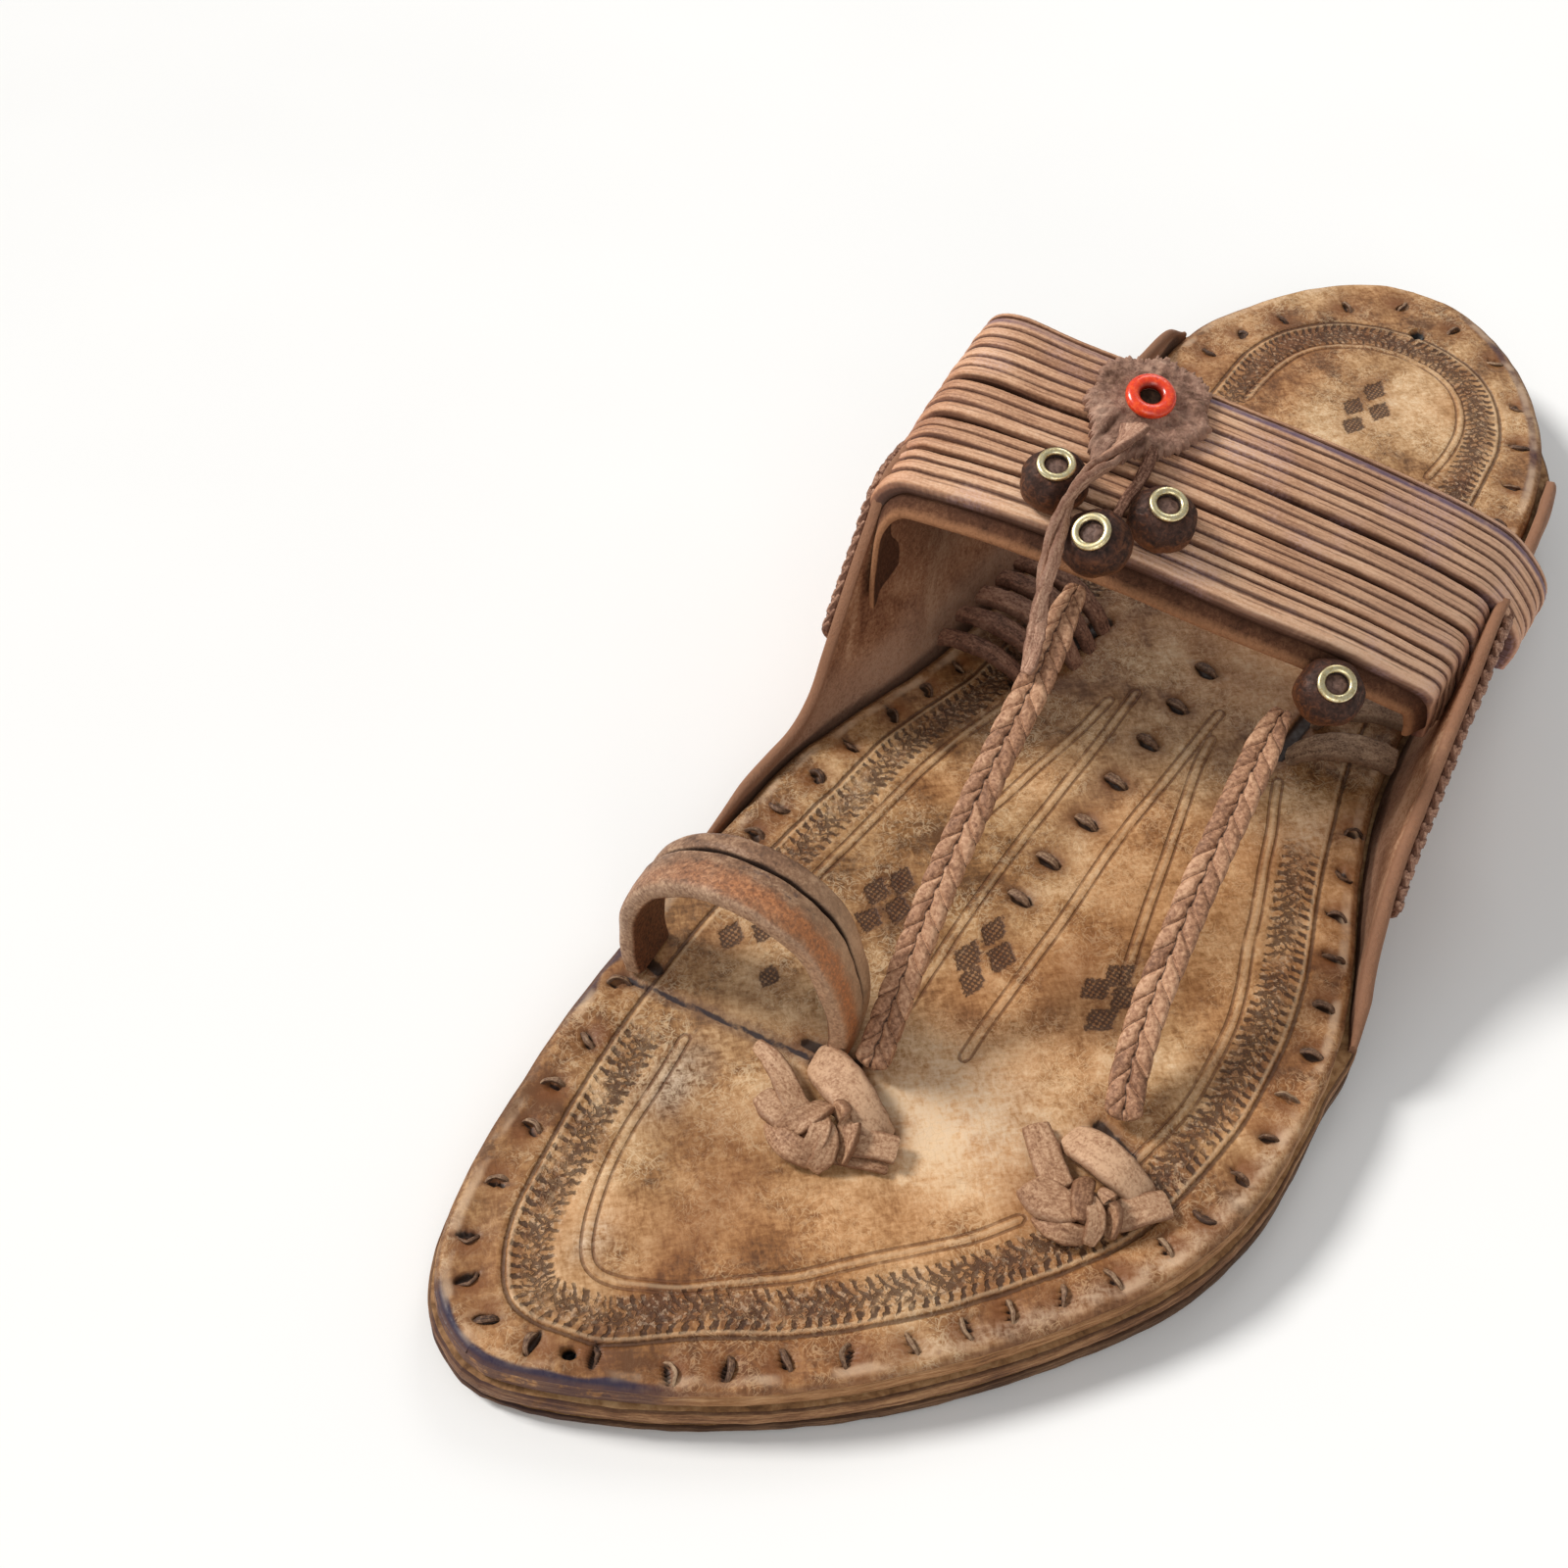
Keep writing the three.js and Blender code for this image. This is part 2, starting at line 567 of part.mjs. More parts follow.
// -------------------------------------------------------------------- braids
const across = () => new THREE.Vector3(1, 0, 0);
addPiece('braid_medial', geometryOf(aboveFootbed(stripSolid(BRAID_MEDIAL, BRAID_W, BRAID_T, across, 20), GAP)), leatherBand);
addPiece('braid_lateral', geometryOf(aboveFootbed(stripSolid(BRAID_LATERAL, BRAID_W, BRAID_T, across, 20), GAP)), leatherBand);

// --------------------------------------------------------------------- knots
// core: a flattened ball; tails: short flat strips joined to it
function knotSolid(cx, cy, tails) {
  const base = topZ(cy);
  const ball = new THREE.SphereGeometry(1, 12, 7);
  let s = solidOf(ball, new THREE.Matrix4().compose(
    new THREE.Vector3(cx, cy, base + 2.4), new THREE.Quaternion(), new THREE.Vector3(6.6, 5.4, 3.6)));
  for (const tail of tails) {
    const [x1, y1, lift, w] = tail;
    const dir = new THREE.Vector3(x1 - cx, y1 - cy, 0).normalize();
    const side = new THREE.Vector3(-dir.y, dir.x, 0);
    s = s.add(stripSolid([
      { x: cx, y: cy, z: base + 2.2 },
      { x: (cx + x1) / 2, y: (cy + y1) / 2, z: base + 2.6 },
      { x: x1, y: y1, z: base + lift },
    ], w, 1.8, () => side, 6));
  }
  return aboveFootbed(s, GAP);
}
addPiece('knot_medial', geometryOf(knotSolid(-3.6, -91.0, [[-14.6, -87.2, 1.9, 5.0], [7.6, -89.4, 2.0, 4.6], [4.0, -84.2, 2.6, 5.2]])), leatherBand);
addPiece('knot_lateral', geometryOf(knotSolid(31.4, -78.2, [[22.8, -73.8, 2.2, 4.6], [40.2, -73.6, 2.0, 4.6], [35.6, -70.6, 2.6, 5.4]])), leatherBand);

// ------------------------------------------------------------------- rosette
// scalloped disc that follows the band's face
const ROSETTE = { x: -17.2, y: 12.6, rx: 9.0, ry: 9.4, lobes: 8, thick: 1.5 };
{
  const R = 4;
  const A = 32;
  const centre = bandUV(ROSETTE.x, ROSETTE.y);
  // millimetres to fractions of the band near the rosette
  const du = bandPoint(centre.u + 0.02, centre.v).point.distanceTo(bandPoint(centre.u - 0.02, centre.v).point) / 0.04;
  const dv = bandPoint(centre.u, centre.v + 0.05).point.distanceTo(bandPoint(centre.u, centre.v - 0.05).point) / 0.1;
  const edge = (a) => 1 + 0.07 * Math.cos(ROSETTE.lobes * a) + 0.03 * Math.cos(3 * a + 1);
  const pos = [];
  const idx = [];
  for (const lift of [GAP + ROSETTE.thick, GAP]) {
    const c = bandPoint(centre.u, centre.v, lift).point;
    pos.push(c.x, c.y, c.z);
    for (let r = 1; r <= R; r++) {
      for (let k = 0; k < A; k++) {
        const a = (k / A) * 2 * Math.PI;
        const f = (r / R) * edge(a);
        const q = bandPoint(centre.u + (ROSETTE.rx * f * Math.cos(a)) / du,
          centre.v + (ROSETTE.ry * f * Math.sin(a)) / dv, lift).point;
        pos.push(q.x, q.y, q.z);
      }
    }
  }
  const block = 1 + R * A;
  for (const [b, flip] of [[0, false], [block, true]]) {
    const tri = (i, j, k) => (flip ? idx.push(i, k, j) : idx.push(i, j, k));
    for (let k = 0; k < A; k++) {
      const k2 = (k + 1) % A;
      tri(b, b + 1 + k, b + 1 + k2);
      for (let r = 0; r < R - 1; r++) {
        const p = b + 1 + r * A;
        tri(p + k, p + A + k, p + A + k2);
        tri(p + k, p + A + k2, p + k2);
      }
    }
  }
  const rim = 1 + (R - 1) * A;
  for (let k = 0; k < A; k++) {
    const k2 = (k + 1) % A;
    idx.push(rim + k, block + rim + k, block + rim + k2, rim + k, block + rim + k2, rim + k2);
  }
  addPiece('rosette', geometryOf(toManifold(pos, idx)), leatherBand);
  // red ring that lies on the rosette
  const seat = bandPoint(centre.u, centre.v, GAP + ROSETTE.thick + GAP + 0.35);
  const profile = [];
  const mid = (RING_R + RING_HOLE) / 2;
  const half = (RING_R - RING_HOLE) / 2;
  for (let k = 0; k <= 8; k++) {
    const a = (k / 8) * 2 * Math.PI;
    profile.push(new THREE.Vector2(mid + half * Math.cos(a), 0.95 + 0.95 * Math.sin(a)));
  }
  addPiece('ring_red', geometryOf(solidOf(new THREE.LatheGeometry(profile, 22).rotateX(Math.PI / 2),
    placed(seat.normal, seat.point))), redRing);
}

// --------------------------------------------------------- beads and eyelets
function beadProfile() {
  const pts = [[0, 0], [BEAD_R - 0.3, 0], [BEAD_R, 0.7]];
  for (let k = 1; k <= 4; k++) {
    const a = (k / 4) * (Math.PI / 2);
    pts.push([EYELET_R - 0.2 + (BEAD_R - EYELET_R + 0.2) * Math.cos(a), 2.6 + (BEAD_H - 2.6) * Math.sin(a)]);
  }
  pts.push([0, BEAD_H]);
  return pts.map((p) => new THREE.Vector2(p[0], p[1]));
}
function eyeletProfile() {
  const mid = (EYELET_R + EYELET_HOLE) / 2;
  const half = (EYELET_R - EYELET_HOLE) / 2;
  const pts = [];
  for (let k = 0; k <= 6; k++) {
    const a = (k / 6) * 2 * Math.PI;
    pts.push(new THREE.Vector2(mid + half * Math.cos(a), 0.5 + 0.5 * Math.sin(a)));
  }
  return pts;
}
function addBead(name, point, axis) {
  addPiece(`bead_${name}`, geometryOf(solidOf(new THREE.LatheGeometry(beadProfile(), 18).rotateX(Math.PI / 2),
    placed(axis, point))), leatherDark);
  const seat = point.clone().add(axis.clone().multiplyScalar(BEAD_H + GAP));
  addPiece(`eyelet_${name}`, geometryOf(solidOf(new THREE.LatheGeometry(eyeletProfile(), 20).rotateX(Math.PI / 2),
    placed(axis, seat))), brass);
}
for (const b of BEADS) {
  const { u, v } = bandUV(b.x, b.y);
  const seat = bandPoint(u, v, GAP + 0.3);
  addBead(b.name, seat.point, seat.normal);
}
// the third and fourth beads hang at the band's front edge, over the braids' ends
addBead('3', new THREE.Vector3(-9.9, -13.6, 58.9), new THREE.Vector3(-0.05, -0.52, 0.85).normalize());
addBead('4', new THREE.Vector3(24.6, -2.9, 41.2), new THREE.Vector3(0.26, -0.38, 0.89).normalize());

// ---------------------------------------------------------------- tail strip
{
  const path = [
    { x: -14.6, y: 1.4, z: 65.0 },
    { x: -14.6, y: -4.4, z: 66.2 },
    { x: -15.4, y: -9.6, z: 66.8 },
    { x: -15.3, y: -15.0, z: 65.3 },
    { x: -13.6, y: -21.0, z: 60.8 },
    { x: -11.2, y: -27.0, z: 56.2 },
    { x: -8.8, y: -32.4, z: 53.1 },
  ];
  addPiece('tail_strip', geometryOf(stripSolid(path, TAIL_W, TAIL_T, across, 14)), leatherBand);
}

// ------------------------------------------------------------ lacing strips
for (const s of LACING) {
  const pts = [];
  for (let k = 0; k <= 5; k++) {
    const f = k / 5;
    const x = s.x0 + (s.x1 - s.x0) * f;
    const y = s.y0 + (s.y1 - s.y0) * f;
    const lift = s.h0 * (1 - f ** 3) + 1.1 * Math.sin(Math.PI * f) ** 0.8;
    pts.push({ x, y, z: topZ(y) + 0.5 + lift });
  }
  const dir = new THREE.Vector3(-(s.y1 - s.y0), s.x1 - s.x0, 0).normalize();
  addPiece(s.name, geometryOf(aboveFootbed(stripSolid(pts, s.w, 1.6, () => dir, 6), GAP)), leatherBand);
}

for (const mesh of chappal.children) {
  mesh.geometry.translate(DATUM.x, 0, DATUM.z);
}

export default chappal;
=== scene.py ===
import math

import bmesh
import bpy
import numpy as np
from mathutils import Matrix


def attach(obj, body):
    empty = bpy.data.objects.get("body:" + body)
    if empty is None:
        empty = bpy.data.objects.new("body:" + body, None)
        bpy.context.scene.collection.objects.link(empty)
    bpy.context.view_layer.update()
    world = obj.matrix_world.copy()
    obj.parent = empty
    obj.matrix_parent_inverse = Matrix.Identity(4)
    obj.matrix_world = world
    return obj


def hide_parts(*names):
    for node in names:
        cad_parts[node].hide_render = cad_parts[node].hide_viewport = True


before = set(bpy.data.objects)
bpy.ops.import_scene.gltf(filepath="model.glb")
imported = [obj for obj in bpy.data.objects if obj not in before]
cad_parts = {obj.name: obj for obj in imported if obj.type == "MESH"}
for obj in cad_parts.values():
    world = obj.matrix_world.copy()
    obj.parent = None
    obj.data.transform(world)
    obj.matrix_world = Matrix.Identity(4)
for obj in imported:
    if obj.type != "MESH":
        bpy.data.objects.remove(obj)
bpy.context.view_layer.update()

# Leather toe-loop sandal, left foot. Tables are in millimetres from the drawing's
# datum: toe towards -Y, lateral side +X. SHIFT sets the shoe down over the origin.
MM = 0.001
SHIFT = np.array([-1.5, 0.0, -2.0])

# ------------------------------------------------------------------ camera
AXES = np.array([[0.816892, 0.57631972, 0.02330336],
                 [-0.43848602, 0.59426029, 0.67422898],
                 [0.37472319, -0.56099046, 0.73815462]])
cam_data = bpy.data.cameras.new("camera")
cam_data.sensor_fit = "HORIZONTAL"
cam_data.sensor_width = 36.0
cam_data.lens = 43.964
cam_data.clip_start = 0.01
cam = bpy.data.objects.new("camera", cam_data)
bpy.context.scene.collection.objects.link(cam)
m4 = Matrix.Identity(4)
for r in range(3):
    for c in range(3):
        m4[r][c] = AXES[c][r]
m4[0][3], m4[1][3], m4[2][3] = 0.068580, -0.211418, 0.233640
cam.matrix_world = m4
bpy.context.scene.camera = cam
bpy.context.scene.view_settings.view_transform = "Standard"

# ------------------------------------------------------------------ sizes
GAP, TOP_SOLE, MIDSOLE, RIM, EAR_RIM, EAR_WALL = 0.3, 3.4, 3.0, 1.3, 3.0, 2.2
HEEL_BREAST = 43.0
PLAN = np.array([  # y, medial x, lateral x
    [-142.4, -21.2, -18.2], [-141.6, -24.0, -15.4], [-139.8, -27.8, -11.0], [-136.6, -31.4, -4.8],
    [-131.0, -34.9, 4.4], [-123.0, -37.8, 14.9], [-112.0, -40.5, 25.9], [-98.0, -43.0, 36.8],
    [-82.0, -44.7, 46.3], [-66.0, -45.2, 50.6], [-50.0, -45.6, 50.6], [-36.0, -45.4, 49.0],
    [-22.0, -42.6, 44.8], [-8.0, -39.3, 39.4], [8.0, -37.4, 34.6], [24.0, -37.4, 32.2],
    [42.0, -39.0, 31.2], [60.0, -41.6, 31.0], [78.0, -44.6, 30.4], [94.0, -46.4, 28.4],
    [107.0, -45.0, 24.8], [119.0, -40.4, 19.0], [129.0, -34.4, 11.6], [136.4, -28.0, 3.8],
    [140.8, -21.4, -3.4], [142.4, -15.6, -8.8]])
SIDE = np.array([  # y, footbed height, outsole underside
    [-146, 10.9, 3.2], [-132, 10.6, 2.5], [-116, 10.8, 2], [-82, 11.5, 2], [-46, 12.6, 2], [-22, 13.3, 3.4],
    [6, 14.2, 5.0], [40, 15.2, 6.2], [80, 16.4, 7.3], [115, 17.3, 8.0], [146, 17.9, 8.5]], float)
MEDIAL_EAR = np.array([  # y, x, z of the upper edge
    [-57, -47.4, 12.4], [-48, -47.3, 13.6], [-40, -46.9, 14.8], [-34, -46.6, 16.2], [-29.5, -46.3, 20.5],
    [-26, -46.1, 28.5], [-21.5, -45.8, 39.0], [-17.5, -45.6, 47.0], [-13, -45.5, 54.6], [-5, -45.2, 57.4],
    [6, -45.0, 60.0], [15, -45.2, 58.0], [23, -45.4, 49.0], [33, -45.5, 39.5], [46, -45.2, 31.0],
    [62, -45.6, 25.5], [80, -46.8, 21.8], [95, -48.3, 19.2], [104, -47.6, 18.0]])
LATERAL_EAR = np.array([
    [-34, 50.2, 13.4], [-29.5, 49.2, 14.4], [-25, 47.6, 16.4], [-19, 45.8, 19.8], [-11, 44.0, 24.2],
    [-3, 42.8, 29.6], [6, 41.6, 35.6], [15, 40.4, 40.6], [23, 39.2, 44.0], [31, 38.4, 43.6],
    [39, 37.4, 38.4], [47, 36.4, 31.6], [58, 35.0, 26.0], [70, 33.8, 22.6], [84, 31.9, 21.4],
    [94, 30.3, 19.2], [102, 28.4, 18.2]])
BAND = np.array([  # front edge x, y, z and rear edge x, y, z of the outer face, medial to lateral
    [-46.6, -16.5, 31.0, -46.6, 24.0, 38.0], [-47.4, -16.4, 42.0, -48.0, 21.5, 50.0],
    [-46.9, -16.0, 51.0, -48.6, 19.0, 60.0], [-43.0, -15.4, 55.8, -46.4, 17.4, 66.2],
    [-37.0, -15.0, 57.0, -41.2, 17.0, 68.6], [-28.0, -14.0, 57.7, -31.5, 18.0, 67.6],
    [-15.6, -12.0, 57.4, -19.5, 20.4, 66.0], [-3.0, -9.4, 55.8, -6.5, 23.0, 64.0],
    [9.6, -6.2, 53.1, 7.0, 26.6, 61.2], [21.4, -1.0, 48.7, 19.4, 31.4, 57.0],
    [31.0, 4.4, 43.4, 29.4, 35.6, 53.0], [37.2, 8.4, 39.0, 36.2, 39.0, 48.4],
    [39.2, 10.4, 33.6, 40.0, 40.4, 41.6], [39.4, 11.0, 27.4, 40.0, 40.6, 34.0]])
LOOP = np.array([  # x, y, z, width
    [-40.3, -80.6, 12.2, 9.0], [-41.2, -80.4, 18.0, 9.4], [-40.8, -80.0, 25.0, 10.0], [-37.4, -79.4, 32.2, 10.6],
    [-31.0, -78.6, 36.6, 11.0], [-23.8, -77.8, 38.2, 11.2], [-17.0, -77.0, 36.4, 11.2], [-12.0, -76.2, 31.4, 11.0],
    [-9.3, -75.8, 24.6, 10.4], [-8.2, -75.6, 18.2, 9.6], [-8.6, -75.6, 12.2, 8.6]])
BRAID_MEDIAL = np.array([
    [-9.9, -18.0, 54.8], [-9.1, -24.0, 53.4], [-7.6, -32.4, 49.7], [-6.9, -42.0, 43.8], [-6.0, -52.2, 36.8],
    [-5.2, -60.0, 30.8], [-4.2, -67.0, 24.8], [-3.0, -74.4, 18.4], [-2.2, -79.4, 14.0]])
BRAID_LATERAL = np.array([
    [20.4, -6.5, 38.1], [20.7, -11.0, 38.8], [21.6, -18.8, 37.4], [22.7, -28.0, 34.5], [23.7, -37.0, 30.8],
    [24.9, -45.6, 26.8], [26.2, -54.0, 22.2], [28.2, -61.6, 17.6], [30.4, -66.6, 14.6]])

# tooling on the footbed, x, y in the plan
BORDER = np.array([  # single scored line, closed round the sole
    [29.4, 7.4], [31.1, 1.3], [32.8, -5.1], [35.0, -12.6], [37.2, -19.2], [39.7, -26.4], [41.4, -33.1],
    [42.8, -40.9], [43.4, -48.0], [43.7, -56.0], [43.0, -64.0], [42.0, -71.0], [40.5, -77.0], [38.9, -81.5],
    [35.5, -87.7], [30.0, -96.0], [25.0, -102.7], [21.0, -107.1], [15.0, -113.2], [9.4, -118.2], [3.6, -122.4],
    [0.2, -125.1], [-2.5, -127.4], [-5.2, -129.8], [-8.4, -132.0], [-12.0, -133.2], [-16.4, -134.3],
    [-19.8, -134.3], [-22.6, -132.9], [-25.3, -130.1], [-27.6, -126.5], [-29.5, -121.8], [-31.2, -115.1],
    [-33.1, -107.3], [-34.8, -97.9], [-36.2, -88.0], [-37.2, -74.0], [-37.4, -62.0], [-37.2, -54.2],
    [-36.7, -43.7], [-36.1, -35.3], [-35.8, -24.2], [-33.6, -13.1], [-31.7, -4.8], [-30.6, 10.0], [-30.2, 28.0],
    [-31.2, 50.0], [-33.0, 74.0], [-33.9, 92.0], [-33.9, 103.0], [-31.6, 112.0], [-27.4, 119.0], [-21.0, 124.6],
    [-13.0, 127.2], [-4.6, 126.9], [3.4, 124.0], [10.4, 118.4], [15.0, 111.0], [17.8, 103.0], [18.9, 94.0],
    [20.4, 78.0], [22.4, 58.0], [24.8, 36.0], [27.2, 18.0]])
DOUBLES = [  # double scored lines, middle of each pair
    [[-27.0, -89.0], [-25.6, -97.0], [-24.5, -105.0], [-22.7, -112.0], [-20.0, -118.6], [-17.2, -122.9],
     [-14.6, -124.3], [-11.8, -123.8], [-8.7, -122.3], [-4.2, -119.6], [0.2, -115.7], [5.2, -111.2], [7.2, -109.3],
     [12.8, -102.7], [18.3, -96.6], [22.2, -92.1], [26.1, -86.0]],
    [[-22.0, 2.0], [-23.6, -7.6], [-25.2, -14.0], [-26.7, -24.2], [-27.3, -35.3], [-28.0, -46.0], [-28.6, -58.0]],
    [[20.2, 4.0], [21.7, -0.3], [23.9, -5.9], [26.1, -13.1], [28.9, -21.4], [30.8, -28.0], [33.3, -35.3],
     [35.0, -42.0], [35.8, -50.3], [36.1, -57.6], [35.3, -64.2], [34.2, -70.4]],
    [[-10.2, 4.0], [-10.8, -4.0], [-11.9, -13.1], [-13.4, -24.2], [-14.6, -32.0]],
    [[-7.4, 8.0], [-7.0, -4.0], [-6.8, -18.0], [-6.7, -30.0], [-6.0, -46.4], [-5.1, -57.6], [-4.4, -66.0]],
    [[5.9, 12.0], [5.6, -5.0], [5.4, -24.0], [6.2, -41.0], [6.5, -63.0], [6.8, -68.7]],
    [[7.4, 6.0], [8.3, -0.3], [10.6, -9.8], [13.3, -20.9], [15.3, -29.8], [17.8, -39.8], [18.9, -43.7]],
    [[10.2, 88.0], [10.5, 97.0], [9.4, 105.0], [6.0, 112.4], [0.2, 117.8], [-7.0, 119.9], [-14.4, 119.2],
     [-20.6, 115.4], [-25.0, 109.4], [-27.0, 101.0], [-27.4, 90.0]]]
SLIT = [[-40.4, -85.6], [-34.0, -84.7], [-28.0, -83.9], [-20.0, -82.8], [-12.0, -81.6], [-6.4, -80.4]]
EDGE_STITCHES = np.array([  # x, y, kind: 0 pale bent thong, 1 dark slit, 2 sunk thong
    [34.4, 1.1, 1], [36.7, -7.3, 1], [39.2, -15.3, 1], [41.9, -22.6, 2], [44.4, -31.7, 2], [46.4, -40.0, 2],
    [46.7, -48.4, 0], [47.5, -55.6, 1], [46.9, -63.4, 1], [45.8, -71.2, 2], [43.6, -78.5, 0], [40.3, -86.3, 0],
    [36.1, -92.1, 0], [31.7, -97.9, 0], [28.6, -102.9, 0], [23.9, -108.8, 0], [18.3, -114.9, 0], [12.2, -119.9, 2],
    [6.9, -125.0, 2], [1.3, -130.0, 0], [-7.6, -133.4, 1], [-14.8, -136.6, 2], [-21.7, -137.6, 2],
    [-27.6, -134.6, 1], [-31.6, -129.9, 1], [-33.4, -122.0, 0], [-35.3, -112.9, 0], [-37.4, -105.7, 0],
    [-38.1, -97.1, 2], [-40.6, -87.1, 0], [-41.1, -62.0, 2], [-41.1, -52.8, 2], [-41.1, -45.9, 2], [-40.0, -37.6, 2],
    [-39.3, -28.7, 1], [-37.6, -19.2, 1], [-36.2, -11.2, 1], [-34.6, -3.4, 1], [-33.6, 30.0, 1], [-34.8, 42.0, 1],
    [-36.0, 54.0, 2], [-37.6, 66.0, 2], [-39.4, 78.0, 1], [-40.4, 90.0, 2], [-40.0, 99.0, 2], [-37.6, 108.0, 1],
    [-33.0, 117.6, 1], [-24.5, 128.8, 0], [-15.5, 135.6, 0], [-3.5, 133.8, 0], [7.0, 128.6, 0], [15.8, 117.6, 1],
    [20.6, 106.5, 2], [23.8, 95.0, 1], [25.4, 83.0, 2], [26.2, 70.0, 1], [26.8, 57.0, 2], [27.6, 44.0, 1]])
CENTRE_STITCHES = np.array([[-0.2, 19.6], [-0.3, 9.4], [-0.5, -0.4], [-0.6, -10.9], [-0.3, -20.9], [-1.3, -30.9],
                            [-1.1, -39.8]])
DIAMONDS = np.array([  # x, y, half width, half length, turn in degrees
    [-1.1, -47.6, 1.7, 3.0, 8], [2.2, -50.9, 2.0, 3.0, 12], [-1.9, -53.7, 1.9, 3.0, 8], [0.9, -57.0, 1.8, 2.9, 14],
    [-17.4, -47.4, 1.9, 2.9, 20], [-19.4, -51.4, 2.0, 2.7, 16], [-15.0, -52.2, 1.9, 2.8, 24], [-17.4, -56.4, 1.9, 2.5, 18],
    [17.8, -43.7, 1.9, 2.9, -18], [16.2, -47.8, 2.0, 2.7, -24], [20.4, -46.6, 1.8, 2.8, -16], [19.4, -52.0, 1.9, 3.0, -20],
    [-32.4, -70.6, 1.9, 2.7, 20], [-29.0, -67.0, 1.7, 2.4, 16], [-23.6, -73.4, 1.5, 2.2, 16],
    [-8.4, 106.2, 2.0, 3.3, 4], [-5.0, 101.0, 1.9, 3.0, 4], [-9.8, 99.6, 1.9, 3.0, 4], [-7.4, 94.2, 2.0, 3.0, 4]])
HOLES = np.array([[-10.3, -135.0, 0.95], [-8.9, 128.4, 1.55]])


# --------------------------------------------------------------- functions
def sample(table, t):
    t = np.asarray(t, float)
    n = len(table) - 1
    f = np.clip(t, 0, 1) * n
    i = np.minimum(np.floor(f).astype(int), n - 1)
    s = (f - i)[..., None]
    a, b, c, d = table[np.maximum(i - 1, 0)], table[i], table[i + 1], table[np.minimum(i + 2, n)]
    return 0.5 * (2 * b + (c - a) * s + (2 * a - 5 * b + 4 * c - d) * s * s + (3 * b - a - 3 * c + d) * s ** 3)


def at_y(table, col, y):
    ys, v = table[:, 0], table[:, col]
    y = np.asarray(y, float)
    n = len(ys)
    i = np.clip(np.searchsorted(ys, y) - 1, 0, n - 2)
    h = ys[i + 1] - ys[i]
    s = np.clip((y - ys[i]) / h, 0, 1)
    rise = v[i + 1] - v[i]
    p, q = np.maximum(i - 1, 0), np.minimum(i + 2, n - 1)
    ma = np.where(i == 0, rise / h, np.where(rise * (v[i] - v[p]) <= 0, 0, (v[i + 1] - v[p]) / (ys[i + 1] - ys[p])))
    mb = np.where(i >= n - 2, rise / h, np.where(rise * (v[q] - v[i + 1]) <= 0, 0, (v[q] - v[i]) / (ys[q] - ys[i])))
    return ((2 * s ** 3 - 3 * s ** 2 + 1) * v[i] + (s ** 3 - 2 * s ** 2 + s) * h * ma
            + (-2 * s ** 3 + 3 * s ** 2) * v[i + 1] + (s ** 3 - s ** 2) * h * mb)


def smooth(a, b, v):
    t = np.clip((np.asarray(v, float) - a) / (b - a), 0, 1)
    return t * t * (3 - 2 * t)


def unit(v):
    return v / np.maximum(np.linalg.norm(v, axis=-1, keepdims=True), 1e-12)


def waves(p, size, seed, n=7):
    """Smooth irregular value about -1..1; features of about the given size."""
    g = np.random.default_rng(seed)
    p = np.asarray(p, float)
    out = np.zeros(p.shape[:-1])
    for _ in range(n):
        d = g.normal(size=p.shape[-1])
        d /= np.linalg.norm(d)
        out += np.sin(p @ d * (2 * np.pi / size) * g.uniform(0.6, 1.7) + g.uniform(0, 6.283))
    return out / n ** 0.5 / 1.1


def top_z(y):
    return at_y(SIDE, 1, y)


def under_z(y):
    return at_y(SIDE, 2, y)


def mid_top_z(y):
    return top_z(y) - TOP_SOLE - GAP


def mid_under_z(y):
    return mid_top_z(y) - MIDSOLE


def out_top_z(y):
    return mid_under_z(y) - GAP


def rim_grow(y, x):
    front = np.where(x < -2, smooth(-66, -54, y), smooth(-44, -32, y))
    return RIM + (EAR_RIM - RIM) * front * (1 - smooth(102, 114, y))


_tt = np.linspace(0, 1, 4001)
_ty = sample(PLAN, _tt)[:, 0]


def plan_at(y):
    return sample(PLAN, np.interp(y, _ty, _tt))


def outline(n, grow):
    """Medial side then lateral side points of the sole's edge, moved out by grow."""
    rows = sample(PLAN, np.linspace(0, 1, n + 1))
    loop = np.concatenate([rows[:, [1, 0]], rows[::-1][:, [2, 0]]])
    d = np.roll(loop, -1, 0) - np.roll(loop, 1, 0)
    d = unit(d)
    g = grow(loop[:, 1], loop[:, 0]) if callable(grow) else np.full(len(loop), float(grow))
    return loop + np.stack([-d[:, 1], d[:, 0]], 1) * g[:, None]


